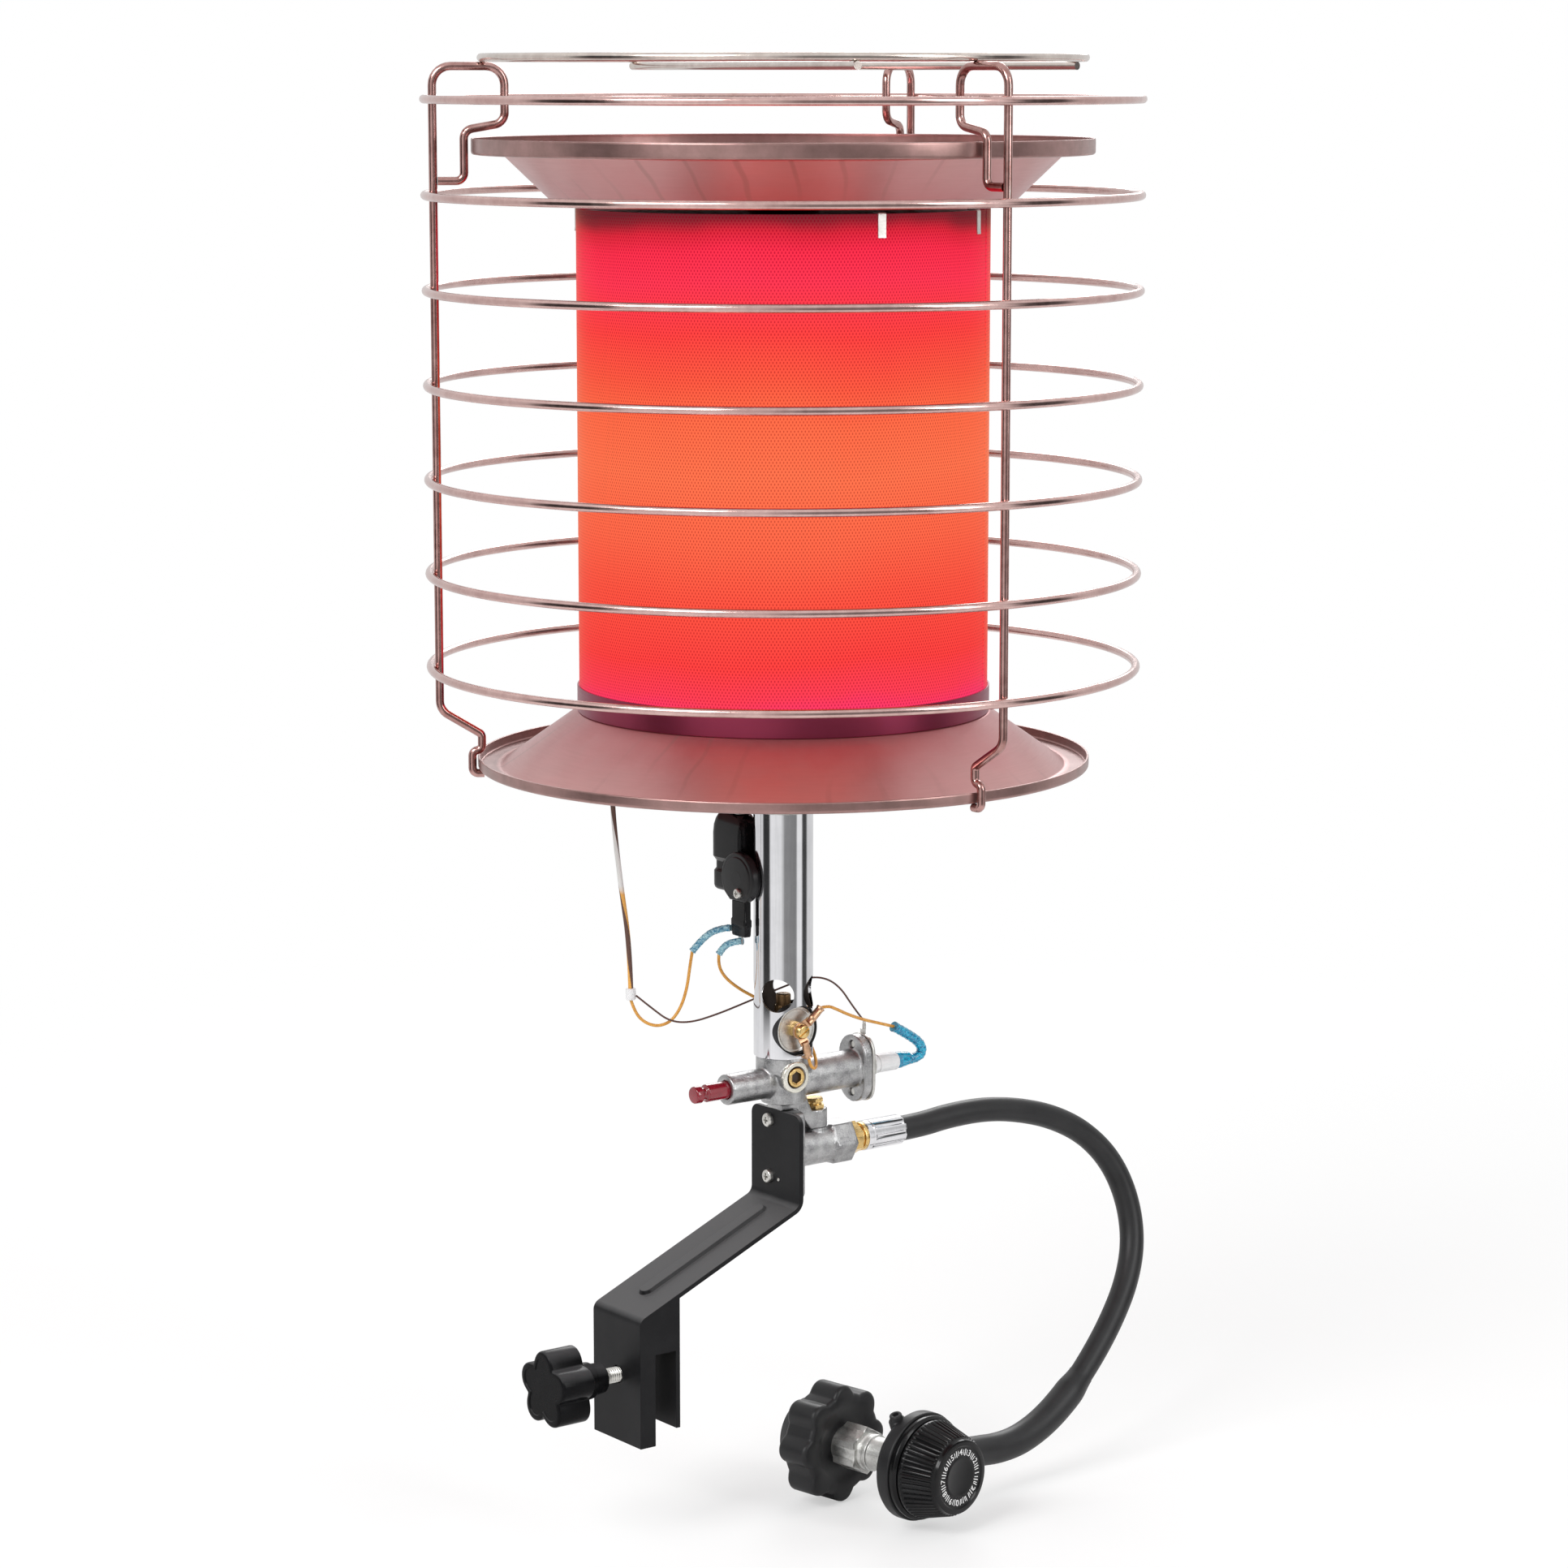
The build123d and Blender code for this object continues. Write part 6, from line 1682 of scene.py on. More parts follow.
@dataclass
class GasValve:
    """Cast valve with its button, test plug, end plate, magnet nut and connector."""

    height: float = 122.8
    plate_y: float = 49.5
    plate_t: float = 1.6
    tall: float = 35.0
    wide: float = 22.0
    boss: tuple = (-2.5, 127.0)
    spring_seat: float = 80.5
    spring_keep: float = 0.17

    def build(self, dresser: Dresser) -> None:
        """Makes each part of the valve."""
        dresser.cast("valve_body_casting", "valve_body", 0.62, 5)
        self.button(dresser)
        self.spring(dresser)
        self.plug(dresser)
        self.magnet(dresser)

    def button(self, dresser: Dresser) -> None:
        """Turns the red push button."""
        axis = screw_line(POST_Y, self.height)
        form = Form().turned(axis, [
            (-56.5, 0), (-56.5, 4.3, 0.9), (-52.7, 4.5, 0.6), (-51.7, 3.0, 0.5), (-50.0, 3.0, 0.5),
            (-49.0, 4.5, 0.5), (-24.0, 4.5), (-18.5, 4.2, 0.3), (-18.5, 3.4), (-26.0, 3.4), (-26.0, 0),
        ], False, 72)
        dresser.put("push_button", form, "red plastic", "valve_button", "button")

    def spring(self, dresser: Dresser) -> None:
        """Copies the return spring, which the button presses together."""
        node = dresser.frame["nodes"]["valve_spring"]
        made = piece("return_spring", merged(node), dresser.stuff("spring steel"), 60.0)
        dresser.add(made, "spring steel", instead_of=["valve_spring"])
        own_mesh(made)

    def plug(self, dresser: Dresser) -> None:
        """Makes the test plug with its hexagon socket."""
        y, z = self.boss
        face = facing_side(0, y, z)
        form = Form().turned(face, [(11.9, 0), (11.9, 4.9), (14.7, 4.9, 0.4), (15.0, 4.5, 0.3),
                                    (15.0, 3.6, 0.2), (14.5, 3.2, 0.2), (14.5, 0)], False, 72)
        made = piece("test_plug_screw", form.mesh("test_plug"), dresser.stuff("brass"))
        knife = Form().hexed(face.on(12.5), 5.6, 4.0, lead=0.0)
        dresser.add(cut(made, knife), "brass", instead_of=["test_plug"])
        # Painted shade: a dark disc at the socket's floor and a dark ring round the plug stand for the
        # shade in the recess.
        form = Form().turned(face, [(12.55, 0), (12.55, 3.4), (12.75, 3.4), (12.75, 0)], False, 32)
        form.turned(face, [(12.9, 4.93), (12.9, 5.9), (13.5, 5.9), (13.5, 4.93)])
        dresser.put("test_plug_floor", form, "shadow")
        form = Form().turned(face, [(11.0, 5.9), (11.0, 7.4, 0.3), (12.6, 8.1, 0.6), (14.2, 8.1, 0.4),
                                    (14.6, 7.6, 0.2), (14.6, 5.9)])
        dresser.put("boss_faced_ring", form, "faced")

    def magnet(self, dresser: Dresser) -> None:
        """Makes the oval plate, the nut on it and the lead's connector."""
        half_w, half_t = self.wide / 2, self.tall / 2
        outline = [(a * half_w, b * half_t, half_w) for a, b in SQUARE]
        seat = facing_back(self.plate_y, self.height)
        form = slab(Form(), seat, outline, edge_layers(0.0, self.plate_t, 0.35), 12)
        dresser.put("magnet_end_plate", form, "zinc", "magnet_plate")
        form = Form().hexed(seat.on(self.plate_t), 12.0, 4.9)
        form.turned(seat, [(-25.5, 0), (-25.5, 7.4), (0, 7.4), (0, 4.4), (self.plate_t, 4.4),
                           (6.5, 3.0), (8.5, 3.0, 0.3), (8.5, 0)], False, 48)
        dresser.put("magnet_nut", form, "zinc", "magnet_unit")
        form = Form().turned(seat, [
            (6.5, 3.05), (6.5, 4.8, 0.4), (9.2, 4.8, 0.2), (9.5, 4.35, 0.2), (10.3, 4.35, 0.2),
            (10.6, 4.8, 0.2), (23.0, 4.8, 0.9), (23.0, 1.2), (9.0, 1.2), (9.0, 3.05),
        ], sides=72)
        dresser.put("lead_connector_body", form, "white plastic", "lead_connector")


@dataclass
class GasInlet:
    """Lower casting with its bleed screw, brass adapter and the hose's crimped ferrule."""

    height: float = 86.0
    ferrule_r: float = 7.8
    start: float = 50.5
    end: float = 75.5
    crimps: int = 8

    def build(self, dresser: Dresser) -> None:
        """Makes each part of the inlet."""
        dresser.cast("inlet_casting", "inlet_block", 0.6, 4)
        foot = Place((0, POST_Y + 20.0, 105.5))
        form = Form().hexed(foot, 9.0, 2.2)
        form.turned(foot, [(2.1, 0), (2.1, 3.6), (3.5, 3.6), (3.5, 0)], False, 48)
        form.hexed(foot.on(3.4), 8.0, 2.0)
        dresser.put("bleed_screw_hex", form, "brass", "bleed_screw")
        seat = facing_back(0, self.height)
        form = Form().hexed(seat.on(40.0), 15.0, 6.5, 2.5)
        form.turned(seat, [(30.0, 2.5), (30.0, 3.9), (40.1, 3.9), (40.1, 2.5)], sides=48)
        form.turned(seat, [(46.4, 2.5), (46.4, 6.2, 0.2), (48.1, 6.2, 0.1), (48.1, 7.4, 0.5),
                           (50.5, 7.4, 0.4), (50.5, 2.5)], sides=72)
        dresser.put("inlet_adapter_brass", form, "brass", "inlet_adapter")
        dresser.put("hose_ferrule_crimped", self.ferrule(seat), "chrome tube", "hose_ferrule",
                    edge_angle=24.0)

    def ferrule(self, seat: Place) -> Form:
        """The sleeve with its lengthwise crimps behind a plain collar."""
        flutes = fluted(self.ferrule_r, self.crimps, 0.85, 1.5)
        profile = [(self.start, 0.4, 0), (self.start + 0.3, 0.0, 0), (self.start + 2.6, 0.0, 0),
                   (self.start + 2.9, 0.35, 0), (self.start + 3.4, 0.35, 0), (self.start + 3.8, 0.0, 0),
                   (self.start + 5.4, 0.0, 1), (self.end - 1.4, 0.0, 1), (self.end - 0.4, 0.5, 0.9),
                   (self.end, 1.0, 0.7)]

        def crimped(inset: float, share: float) -> Callable[[float], float]:
            """The sleeve's radius by angle at one station."""
            return lambda turn: self.ferrule_r - (self.ferrule_r - flutes(turn)) * share - inset

        form = Form()
        stations = [(along, crimped(inset, share)) for along, inset, share in profile]
        return form.capped(form.rings(seat, stations, 192))


@dataclass
class ClampBracket:
    """Pressed arm with its screws, the thumbscrew and the swivel pad."""

    plate_face: float = -5.0
    screw_z: float = -13.0
    knob_back: float = -41.0
    knob_thick: float = 19.3
    nubs: tuple = ((-9.8, 102.0), (2.6, 71.8))

    def build(self, dresser: Dresser) -> None:
        """Makes each part of the bracket."""
        node = dresser.frame["nodes"]["bracket"]
        arm = sharpened(node, "bracket_sheet", dresser.stuff("black paint"), 0.45)
        dresser.add(arm, "black paint", instead_of=["bracket"])
        form = Form()
        for x, z in self.nubs:
            form.turned(facing_front(self.plate_face, z, x),
                        [(-0.3, 0), (-0.3, 1.0), (0.3, 0.9, 0.3), (0.55, 0)], False, 24)
        dresser.put("plate_nubs", form, "zinc")
        self.screws(dresser)
        self.thumbscrew(dresser)

    def screws(self, dresser: Dresser) -> None:
        """Sets the pan-head screws of the bracket, the valve's end plate and the switch."""
        stuff = dresser.stuff("zinc")
        heads = [(facing_front(self.plate_face, z, -5.5), 1.0) for z in (101.7, 72.2)]
        heads += [(facing_back(51.1, 122.8 + side), 1.0) for side in (12.5, -12.5)]
        heads.append((facing_front(-20.55, 220.0, -10.5), 0.72))
        mesh = scattered("pan_screw_heads", screw_piece(3.7, 2.2, stuff), heads, stuff)
        made = piece("pan_screw_heads", mesh, stuff)
        dresser.add(made, "zinc", instead_of=["pan_screws"])

    def thumbscrew(self, dresser: Dresser) -> None:
        """Makes the star knob, its threaded shank, the nut in the clamp and the pad."""
        face = Place((0, self.knob_back, self.screw_z), (0, -1, 0), (1, 0, 0))
        star = lobed(14.4, 12.6, 7.1, 5, pi / 2, 1.6)
        thick = self.knob_thick
        layers = edge_layers(0, thick, 1.5) + [(thick, 3.2), (thick - 0.5, 3.7), (thick - 0.5, 6.0)]
        form = Form().stacked(face, star, layers, 240)
        form.turned(face, [(-16.0, 4.0), (-16.0, 7.6, 0.9), (-9.0, 8.2, 0.4), (-8.4, 9.2, 0.5),
                           (0, 10.2, 0.6), (1.5, 11.0), (1.5, 4.0)])
        dresser.put("star_knob_moulding", form, "star plastic", "star_knob", "thumbscrew",
                    edge_angle=40.0)
        shank = screw_line(self.knob_back, self.screw_z)
        form = thread(Form(), shank, 4.0, 39.45, 1.25)
        dresser.put("clamp_screw_thread", form, "zinc", "clamp_screw", "thumbscrew", edge_angle=50.0)
        form = Form().hexed(screw_line(-13.0, self.screw_z), 14.0, 6.3, 4.06)
        dresser.put("clamp_weld_nut", form, "zinc", "clamp_nut")
        form = Form().turned(screw_line(-1.5, self.screw_z),
                             [(0, 0), (0, 8.0, 0.5), (2.0, 8.0, 0.5), (2.0, 0)], False)
        dresser.put("clamp_pad_disc", form, "zinc", "clamp_pad", "pad")


@dataclass
class Regulator:
    """Tank nut, inlet nipple, body with its outlet and the adjusting knob."""

    base: Point = (6.5, POST_Y + 23.6, -70.0)
    angle: float = 10.0
    roll: float = 6.5
    knob_start: float = 70.6
    knob_end: float = 91.0
    ribs: int = 56
    mark_r: float = 12.9

    def place(self, station: float = 0.0) -> Place:
        """A place on the regulator's axis that points to its knob."""
        turn = radians(self.angle)
        way = Vector((cos(turn), sin(turn), 0))
        return Place(tuple(Vector(self.base) + way * station), tuple(way), (-sin(turn), cos(turn), 0))

    def build(self, dresser: Dresser) -> None:
        """Makes each part of the regulator."""
        self.nipple(dresser)
        self.nut(dresser)
        self.body(dresser)
        self.knob(dresser)

    def nipple(self, dresser: Dresser) -> None:
        """Turns the inlet nipple with its hexagon."""
        axis = self.place()
        form = Form().turned(axis, [
            (-26.0, 2.0), (-26.0, 3.5, 0.4), (-22.0, 5.0, 1.0), (-12.0, 5.0, 0.5), (-12.0, 9.0, 0.6),
            (-4.0, 9.0, 0.6), (-4.0, 13.0, 0.8), (0.0, 13.0, 0.5), (0.0, 9.5, 0.4), (29.5, 9.5, 0.4),
            (30.2, 8.9, 0.3), (31.4, 8.9, 0.3), (32.0, 9.5, 0.3), (34.0, 9.5, 0.5), (34.4, 8.6, 0.3),
            (50.0, 8.6), (50.0, 2.0),
        ])
        form.hexed(self.place(13.5), 22.0, 15.0)
        dresser.put("inlet_nipple_zinc", form, "cast zinc", "inlet_nipple")

    def nut(self, dresser: Dresser) -> None:
        """Makes the lobed hand nut with its socket and dished face."""
        axis = self.place()
        wheel = lobed(26.6, 24.2, 6.8, 8, 0.0, 1.2)
        plain = [(-16.0, 16.65), (-16.0, 18.7), (-15.7, 19.0), (-6.5, 20.9)]
        rim = [(along - 6.5, inset) for along, inset in edge_layers(0, 19.0, 2.4)]
        face = [(12.5, 19.5), (12.2, 19.1), (11.4, 12.2), (11.4, 9.65), (0.3, 9.65), (0.3, 16.65)]
        lobes = [(along, inset_by(wheel, inset)) for along, inset in rim]
        form = Form()
        form.skin(form.rings(axis, plain + lobes + face, 256), looped=True)
        dresser.put("tank_nut_wheel", form, "black satin", "qcc_nut", "tank_nut", edge_angle=40.0)

    def body(self, dresser: Dresser) -> None:
        """Turns the body and bonnet, and adds the outlet and the vent."""
        axis = self.place()
        form = Form().turned(axis, [
            (50.0, 2.0), (50.0, 15.0, 1.0), (53.0, 21.0, 2.0), (58.0, 26.6, 1.5), (60.0, 27.9, 0.8),
            (66.0, 27.9, 0.9), (66.0, 23.0), (60.0, 23.0), (57.0, 6.0), (57.0, 2.0),
        ], sides=144)
        turn, roll = radians(self.angle), radians(self.roll)
        out = Vector((-sin(turn) * cos(roll), cos(turn) * cos(roll), -sin(roll)))
        foot = Vector(self.place(58.0).foot)
        outlet = Place(tuple(foot), tuple(out), tuple(self.place().way))
        form.turned(outlet, [(23.6, 3.0), (23.6, 7.5), (33.5, 7.5, 0.5), (34.0, 7.0, 0.3),
                             (35.0, 7.0, 0.3), (35.5, 7.5, 0.3), (40.0, 7.5, 0.8), (40.0, 3.0)])
        turn = radians(112.0)
        way = Vector(axis.zero) * cos(turn) + Vector(axis.way).cross(Vector(axis.zero)) * sin(turn)
        vent = Place(tuple(axis.at(57.0, 18.0, turn)), tuple(way), axis.way)
        form.turned(vent, [(0, 0), (0, 4.4), (9.0, 4.4, 0.6), (9.6, 3.4, 0.4), (12.4, 3.2, 0.6),
                           (12.4, 1.6, 0.3), (11.2, 1.4), (11.2, 0)], False, 48)
        dresser.put("regulator_shell", form, "black satin", "regulator_body", slot_of="black paint")
        form = Form().turned(axis, [
            (66.0, 9.5), (66.0, 26.8, 0.5), (68.8, 26.8, 1.0), (70.0, 25.4, 0.5), (70.0, 13.4),
            (84.0, 13.4), (84.0, 9.5),
        ], sides=144)
        dresser.put("regulator_bonnet_ring", form, "black gloss", "regulator_bonnet",
                    slot_of="black plastic")

    def knob(self, dresser: Dresser) -> None:
        """Makes the ribbed knob, its centre cap and the marks round it."""
        axis = self.place()
        start, end = self.knob_start, self.knob_end
        outer = [(start, 24.8, 0), (start + 0.4, 25.2, 0), (start + 1.6, 25.2, 0),
                 (start + 2.2, 24.9, 1), (end - 2.9, 20.6, 1), (end - 2.5, 19.8, 0),
                 (end - 2.2, 19.5, 0), (end - 1.0, 19.2, 0), (end - 0.3, 19.0, 0), (end, 18.2, 0),
                 (end, 16.4, 0), (end - 0.5, 15.6, 0), (end - 0.5, 10.6, 0), (end, 10.1, 0),
                 (end, 9.2, 0), (end - 0.35, 8.4, 0), (end - 0.35, 0.02, 0)]
        inner = [(86.0, 0.02, 0), (86.0, 13.5, 0), (start, 13.5, 0)]

        def ribbed(reach: float, share: float) -> Callable[[float], float]:
            """The knob's radius by angle at one station."""
            def shape(turn: float) -> float:
                """The radius at an angle."""
                rib = 0.5 + 0.5 * cos(turn * self.ribs)
                return reach - share * (0.9 * (1 - rib) ** 1.4)

            return shape

        form = Form()
        stations = [(along, ribbed(reach, share)) for along, reach, share in outer + inner]
        form.skin(form.rings(axis, stations, self.ribs * 6), looped=True)
        dresser.put("regulator_knob_moulding", form, "black gloss", "regulator_knob", "regulator_dial")
        self.marks(dresser, end - 0.5)

    def marks(self, dresser: Dresser, level: float) -> None:
        """Prints the ring of strokes and numbers on the knob's face."""
        seat = self.place(level)
        zero, way = Vector(seat.zero), Vector(seat.way)
        unit = Form()
        unit.capped([unit.ring(Vector((a * 1.7, b * 0.26, rise)) for a, b in SQUARE)
                     for rise in (-0.06, 0.07)])
        stuff = dresser.stuff("white print")
        stroke = piece("stroke_unit", unit.mesh("stroke_unit"), stuff)
        places = []
        for number in range(60):
            turn = 2 * pi * number / 60
            if number % 5 in (0, 4):
                continue
            out = zero * cos(turn) + way.cross(zero) * sin(turn)
            spot = Place(tuple(seat.at(0.0, self.mark_r, turn)), seat.way, tuple(out))
            places.append((spot, 1.0 if number % 5 == 2 else 0.8))
        mesh = scattered("dial_strokes", stroke, places, stuff)
        dresser.add(piece("dial_strokes", mesh, stuff), "black gloss", "regulator_dial")
        made = bmesh.new()
        for number in range(12):
            turn = 2 * pi * (number - 0.1) / 12
            text = bpy.data.curves.new("number", "FONT")
            text.body = str(number + 1)
            text.size = 4.5 * MM
            text.offset = 0.02 * MM
            text.extrude = 0.06 * MM
            text.align_x, text.align_y = "CENTER", "CENTER"
            carrier = linked("number", text)
            mesh = worked_out(carrier)
            bpy.data.objects.remove(carrier)
            out = zero * cos(turn) + way.cross(zero) * sin(turn)
            across = out.cross(way)
            frame = Matrix((across, out, way)).transposed().to_4x4()
            frame.translation = seat.at(0.02, self.mark_r, turn) * MM
            mesh.transform(frame)
            made.from_mesh(mesh)
            bpy.data.meshes.remove(mesh)
        whole = bpy.data.meshes.new("dial_numbers")
        made.to_mesh(whole)
        made.free()
        dresser.add(piece("dial_numbers", whole, stuff), "black gloss", "regulator_dial")


@dataclass
class Sleeves:
    """Thin clear sleeves over the switch terminals and the magnet's connector."""

    front: tuple = ((-20.6, -18.3, 200.5), (-23.9, -21.7, 200.2), (-28.8, -28.3, 196.3),
                    (-32.6, -33.2, 188.3))
    back: tuple = ((-13.2, -16.0, 194.6), (-17.5, -18.2, 193.9), (-21.7, -21.3, 191.4),
                   (-23.6, -23.0, 187.2))
    boot: tuple = ((0.4, 80.0, 122.2), (0.8, 88.6, 122.4), (1.4, 89.6, 128.4), (2.0, 82.0, 134.8),
                   (2.4, 69.6, 141.6))
    small_r: float = 1.9
    boot_r: float = 2.8
    step: float = 0.35

    def build(self, dresser: Dresser) -> None:
        """Makes the two sleeves on the switch, and the boot on the connector."""
        form = Form()
        for route, radius, seed in ((self.front, self.small_r, 0.0), (self.back, self.small_r, 2.1)):
            self.tube(form, route, radius, seed)
        dresser.put("sleeving_pieces", form, "sleeving", "terminal_sleeves", edge_angle=60.0)
        form = Form()
        self.tube(form, self.boot, self.boot_r, 4.0)
        start = facing_back(0, 122.8)
        form.turned(start, [(72.5, 0), (72.5, 4.2, 0.3), (75.0, 4.35, 0.5), (81.5, 3.4, 0.6),
                            (81.5, 0)], False)
        dresser.put("connector_boot", form, "boot", edge_angle=60.0)

    def tube(self, form: Form, route: Sequence[Point], radius: float, seed: float) -> None:
        """Runs one wrinkled sleeve along a route's smooth line."""
        line = bpy.data.curves.new("sleeve_line", "CURVE")
        path = smooth_line(line, route)
        steps = spaced(path, self.step)
        last = len(steps) - 1

        def shape(number: int, turn: float) -> float:
            """Radius with creases across the sleeve and flared ends."""
            along = number * self.step
            fold = sin(along * 1.9 + seed) * 0.5 + sin(along * 4.3 + seed * 2 + turn) * 0.5
            end = max(0.0, 1.0 - min(number, last - number) / 4) * 0.10
            return radius * (0.93 + 0.055 * fold + end)

        form.bar(steps, shape, 24)


@dataclass
class GasHose:
    """Rubber hose from the inlet to the regulator, with its thicker sleeve."""

    route: tuple = (
        (0.0, 75.5, 86.0), (0.0, 89.5, 86.0), (0.3, 108.0, 88.2), (1.3, 131.0, 88.6),
        (2.8, 153.0, 85.4), (5.0, 175.5, 78.8), (8.2, 195.8, 67.6), (12.8, 211.0, 50.8),
        (18.5, 218.2, 29.7), (25.4, 216.6, 8.0), (32.3, 206.2, -11.2), (38.8, 190.0, -28.2),
        (44.3, 171.5, -44.2), (48.6, 152.5, -58.4), (51.4, 133.5, -69.6), (53.2, 114.5, -76.2),
        (53.8, 98.5, -77.5),
    )
    mouth: tuple = ((54.6, 85.0, -75.9), (56.7, 72.8, -74.5))
    width: float = 13.0
    sleeve_width: float = 16.0
    sleeve_length: float = 96.0
    taper: float = 13.0
    step: float = 0.8

    def build(self, dresser: Dresser) -> None:
        """Makes the hose and its sleeve."""
        cord = Cord("gas_hose", "rubber", self.route + self.mouth, self.width, 373.0, "fitting")
        hose = cord.build(dresser)
        whole = path_length(cord.path)
        covered = spaced(cord.path, self.step, whole - self.sleeve_length)

        def reach(number: int, _: float) -> float:
            """Radius of the sleeve, which tapers down to the hose at its start."""
            share = min(number * self.step / self.taper, 1.0)
            swell = share * share * (3.0 - 2.0 * share)
            return (self.width + 0.3 + (self.sleeve_width - self.width - 0.3) * swell) / 2

        form = Form().bar(covered, reach, 40)
        sleeve = dresser.put("hose_sleeve_tube", form, "rubber", "hose_sleeve", edge_angle=45.0)
        made = [bpy.data.objects[n] for n in ("regulator_shell", "regulator_bonnet_ring",
                                              "inlet_nipple_zinc")]
        inside = [dresser.frame["nodes"][n] for n in ("regulator_diaphragm", "regulator_spring")]
        cord.declare(hose, [sleeve] + made + inside)


@dataclass
class Leads:
    """The thin leads between tilt switch, valve and thermocouple."""

    tie: Point = (-46.4, -61.8, 164.5)
    tie_high: float = 170.5

    def cords(self) -> list[Cord]:
        """The five leads."""
        probe_x, probe_y = probe_spot()
        x, y, low = self.tie
        return [
            Cord("thermocouple_lead", "twisted pair", (
                (probe_x, probe_y, 306.0), (probe_x - 0.4, probe_y - 1.2, 282.0),
                (-49.4, -69.2, 252.0), (-47.6, -66.4, 222.0), (-46.6, -62.4, 194.0),
                (x, y, self.tie_high)), 2.6, 136.0),
            Cord("switch_lead", "orange", (
                (-32.6, -33.2, 188.3), (-33.3, -34.3, 180.5), (-33.6, -35.6, 170.7),
                (-34.5, -38.4, 160.6), (-36.9, -43.0, 152.6), (-40.2, -49.2, 149.9),
                (-43.6, -55.4, 152.2), (-45.7, -59.9, 157.9), (x, y, low)), 1.6, 66.5),
            Cord("return_lead", "orange", (
                (-23.6, -23.0, 187.2), (-24.4, -23.2, 181.6), (-22.7, -20.1, 174.6),
                (-19.8, -13.2, 168.4), (-19.0, -4.0, 163.0), (-16.8, 5.0, 158.0),
                (-12.0, 12.8, 152.0), (-5.5, 16.8, 145.5), (1.7, 16.5, 139.2),
                (8.2, 14.6, 133.4), (12.3, 11.6, 130.2), (15.1, 7.9, 130.3),
                (16.2, 4.8, 132.9), (16.2, 3.70, 136.99)), 1.6, 102.0),
            Cord("magnet_lead", "orange", (
                (15.4, 12.08, 161.3), (15.4, 16.6, 161.9), (13.9, 23.6, 158.8),
                (11.5, 32.8, 154.4), (8.0, 45.5, 149.4), (4.8, 58.6, 145.2),
                (2.4, 69.6, 141.6)), 1.6, 63.0),
            Cord("ground_lead", "brown", (
                (-44.0, -60.2, 166.8), (-39.2, -53.9, 160.3), (-34.4, -46.2, 153.2),
                (-29.4, -36.4, 152.2), (-26.0, -22.0, 155.4), (-22.5, -8.0, 159.8),
                (-18.8, 6.0, 164.4), (-11.5, 15.6, 169.4), (-2.5, 19.8, 173.4),
                (3.2, 26.0, 172.6), (4.2, 33.6, 166.8), (3.4, 40.6, 158.0),
                (1.6, 47.4, 150.8), (0.0, 52.1, 146.45)), 1.0, 146.0),
        ]

    def build(self, dresser: Dresser) -> None:
        for cord in self.cords():
            made = cord.build(dresser)
            with_it = ["lead_tie"] if cord.name == "thermocouple_lead" else []
            cord.declare(made, [dresser.frame["nodes"][n] for n in with_it])


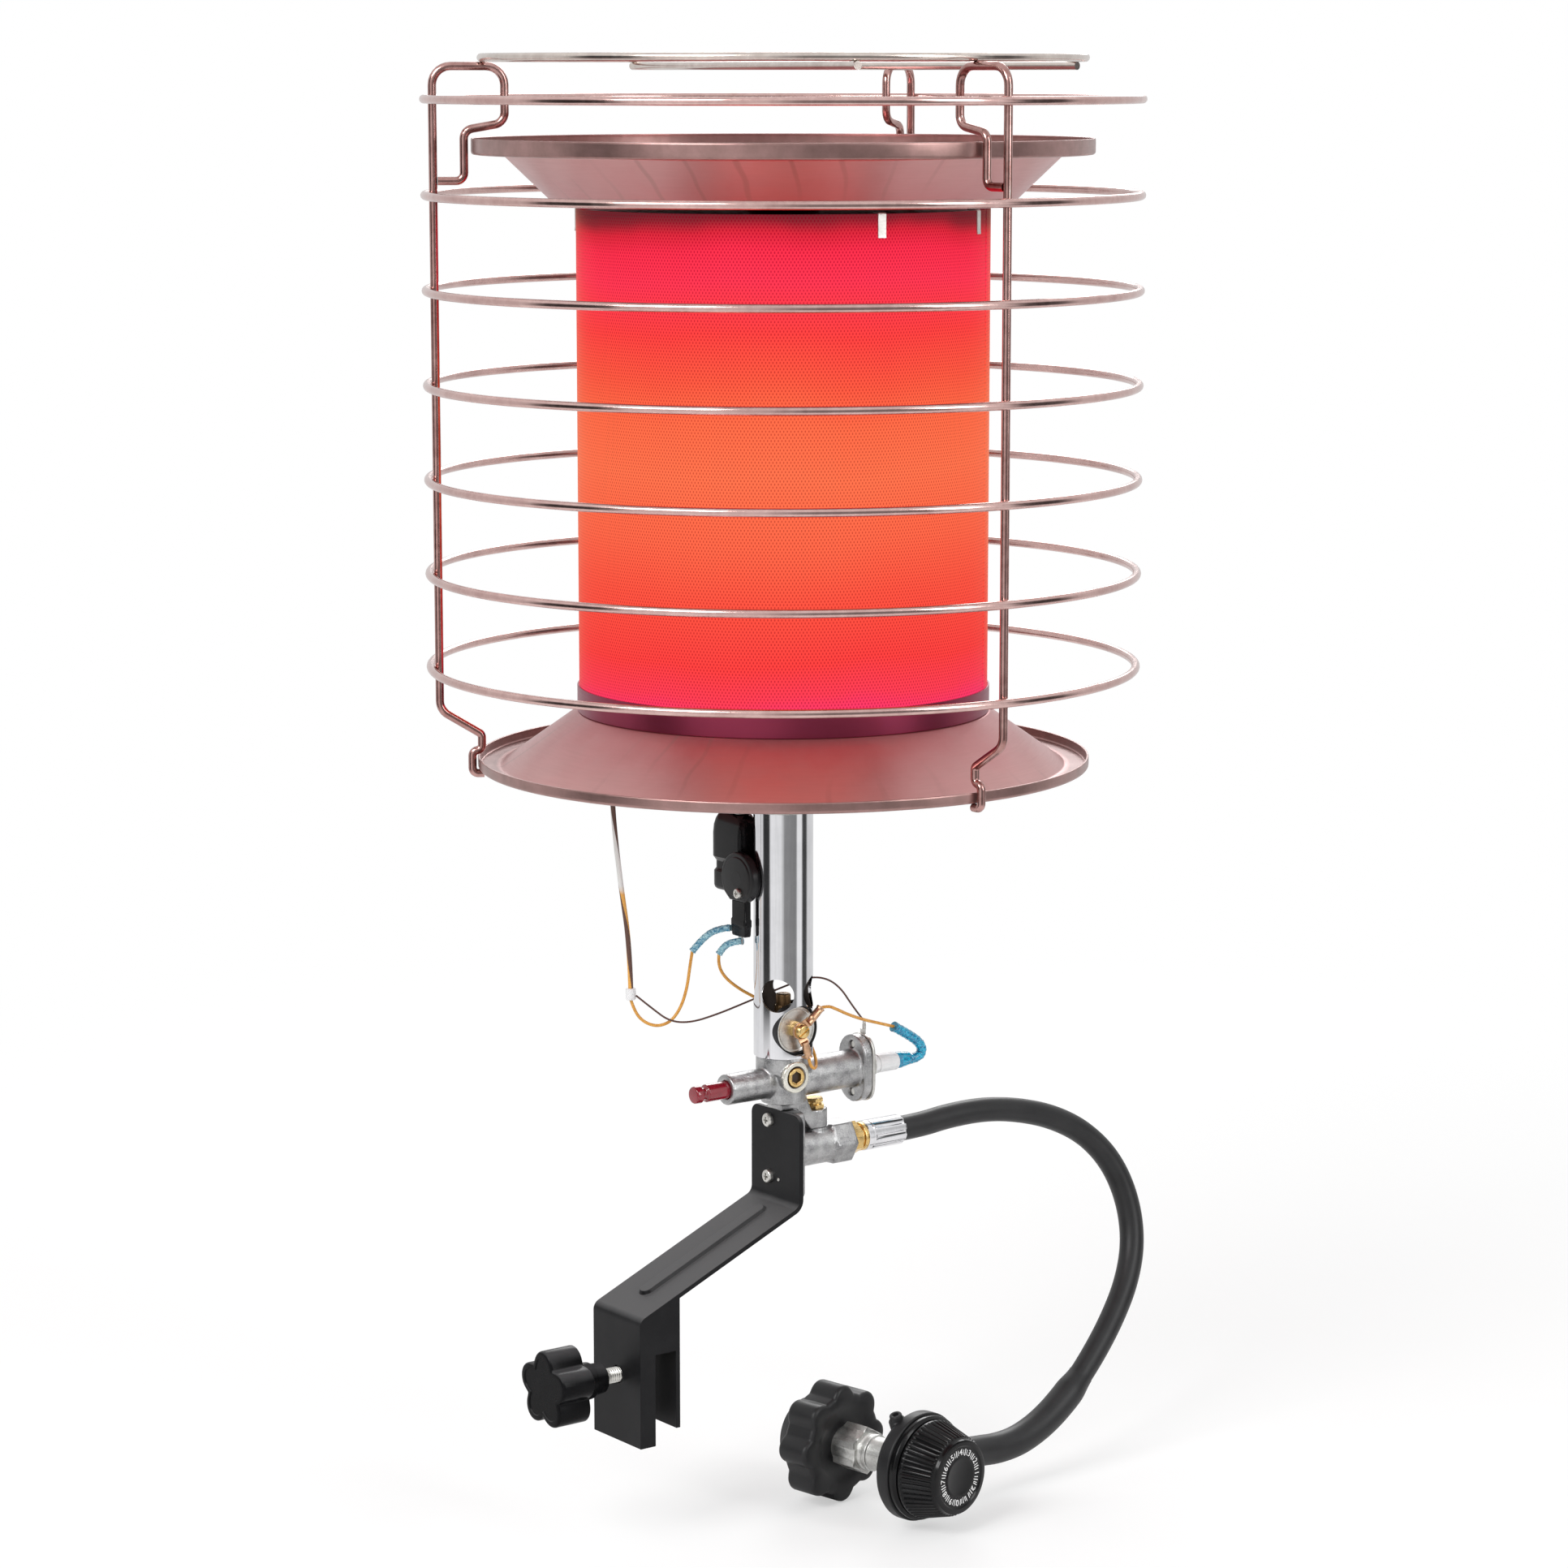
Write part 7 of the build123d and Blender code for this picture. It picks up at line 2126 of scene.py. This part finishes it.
@dataclass
class Studio:
    """Plain pale floor, soft light and the camera."""

    lens: float = 98.8
    place: Point = (1.7044, -1.1954, 0.6291)
    tilt: float = 80.585
    turn: float = 53.0
    floor_size: float = 9.0
    world_light: float = 0.62
    lit_z: float = 0.28
    # What a shine shows round the object: degrees to the right of the front, and how bright.
    room: tuple = (
        (-180, 0.80), (-87, 0.85), (-81, 0.04), (-56, 0.04), (-50, 1.0), (-8, 0.95), (6, 0.32),
        (50, 0.26), (56, 1.0), (74, 1.0), (80, 0.06), (98, 0.08), (106, 0.80), (180, 0.80),
    )

    def build(self, low: float) -> None:
        """Sets up everything round the object.

        Args:
            low: The height that the object's lowest point reaches, in metres.
        """
        self.camera()
        self.world()
        self.floor(low)
        self.lamps()
        bpy.context.scene.view_settings.view_transform = "Standard"

    def camera(self) -> None:
        """Makes the camera."""
        data = bpy.data.cameras.new("camera")
        data.lens = self.lens
        data.sensor_width = 36.0
        data.clip_start, data.clip_end = 0.05, 60.0
        made = linked("camera", data)
        made.location = self.place
        made.rotation_euler = (radians(self.tilt), 0, radians(self.turn))
        bpy.context.scene.camera = made

    def room_tone(self, sheet: NodeSheet, x: Signal, y: Signal) -> NodeSocket:
        """The room's tone in a level direction."""
        front = radians(self.turn - 90.0)
        right = x * -sin(front) + y * cos(front)
        turn = right.angle_to(x * cos(front) + y * sin(front)) / (2 * pi) + 0.5
        stops = [(degrees / 360 + 0.5, (level,) * 3) for degrees, level in self.room]
        return sheet.ramp(turn, stops)

    def world(self) -> None:
        """White behind the object, a plain level as light, and the room in its shine."""
        world = bpy.data.worlds.new("studio")
        world.use_nodes = True
        sheet = NodeSheet(world.node_tree)
        sheet.tree.nodes.clear()
        ray = sheet.node("ShaderNodeLightPath").outputs
        way = sheet.node("ShaderNodeTexCoord").outputs["Generated"]
        x, y, z = sheet.split(way)
        shine = sheet.mix(z.over(0.42, 0.3).socket, self.room_tone(sheet, x, y), (1.0, 1.0, 1.0))
        glossy = Signal(sheet, ray["Is Glossy Ray"])
        seen = Signal(sheet, ray["Is Camera Ray"]) + Signal(sheet, ray["Is Transmission Ray"])
        strength = (seen + glossy).kept() * (1.0 - self.world_light) + self.world_light
        colour = sheet.mix(glossy.socket, (1.0, 1.0, 1.0), shine)
        back = sheet.node("ShaderNodeBackground", {}, {0: colour, 1: strength})
        sheet.node("ShaderNodeOutputWorld", {}, {0: back.outputs[0]})
        bpy.context.scene.world = world

    def floor(self, low: float) -> None:
        """Lays a pale floor under the lowest point."""
        paint = Paint("floor_paper")
        grain = paint.noise(40, 4, 0.6)
        colour = paint.mix((grain * 0.3).socket, (0.94, 0.94, 0.94), (0.90, 0.90, 0.90))
        matte = paint.node("ShaderNodeBsdfPrincipled", {}, {"Base Color": colour, "Roughness": 0.9,
                                                            "Specular IOR Level": 0.1})
        x, y, _ = paint.axes((0, POST_Y, 0))
        reach = ((x * x + y * y) ** 0.5) / PER_METRE
        ray = paint.node("ShaderNodeLightPath").outputs
        glossy = Signal(paint, ray["Is Glossy Ray"])
        tint = paint.mix(glossy.socket, (1.0, 1.0, 1.0), self.room_tone(paint, x, y))
        glow = paint.node("ShaderNodeEmission", {}, {0: tint, 1: 1.0})
        seen = Signal(paint, ray["Is Camera Ray"]) * (reach.over(0.85, 1.1) * 0.5 + 0.5)
        white = (seen + glossy * reach.over(0.9, 0.6)).kept()
        both = paint.node("ShaderNodeMixShader", {}, {0: white, 1: matte.outputs[0], 2: glow.outputs[0]})
        paint.node("ShaderNodeOutputMaterial", {}, {0: both.outputs[0]})
        half = self.floor_size / 2
        mesh = bpy.data.meshes.new("floor")
        corners = [(-half, -half, low), (half, -half, low), (half, half, low), (-half, half, low)]
        mesh.from_pydata(corners, [], [(0, 1, 2, 3)])
        mesh.materials.append(paint.material)
        linked("floor", mesh)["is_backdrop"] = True

    def lamps(self) -> None:
        """Hangs the soft boxes."""
        for name, place, size, power in (
            ("key", (0.6, -2.2, 2.0), (1.4, 1.0), 46.0),
            ("side", (2.6, 0.9, 1.4), (0.8, 1.8), 26.0),
            ("back", (-1.8, 1.8, 1.6), (1.2, 1.2), 22.0),
        ):
            data = bpy.data.lights.new(name, "AREA")
            data.shape = "RECTANGLE"
            data.size, data.size_y = size
            data.energy = power
            made = linked(name, data)
            made.location = place
            way = Vector((0, POST_Y * MM, self.lit_z)) - Vector(place)
            made.rotation_euler = way.to_track_quat("-Z", "Y").to_euler()


def main() -> None:
    """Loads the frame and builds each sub-assembly."""
    logging.basicConfig(level=logging.INFO, format="%(name)s %(message)s")
    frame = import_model()
    frame_low, frame_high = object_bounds()
    dresser = Dresser(frame)
    Guard().build(dresser)
    RadiantHead().build(dresser)
    BurnerPost().build(dresser)
    TiltSwitch().build(dresser)
    GasValve().build(dresser)
    GasInlet().build(dresser)
    ClampBracket().build(dresser)
    Regulator().build(dresser)
    GasHose().build(dresser)
    Leads().build(dresser)
    Sleeves().build(dresser)
    dresser.dress("zinc", "switch_terminals", "switch_clip", "switch_ball")
    dresser.dress("brass", "valve_spindle")
    dresser.dress("rubber", "regulator_diaphragm")
    dresser.dress("spring steel", "regulator_spring")
    dresser.dress("white plastic", "lead_tie")
    Studio().build(frame_low.z - 0.0005)


if __name__ == "__main__":
    main()
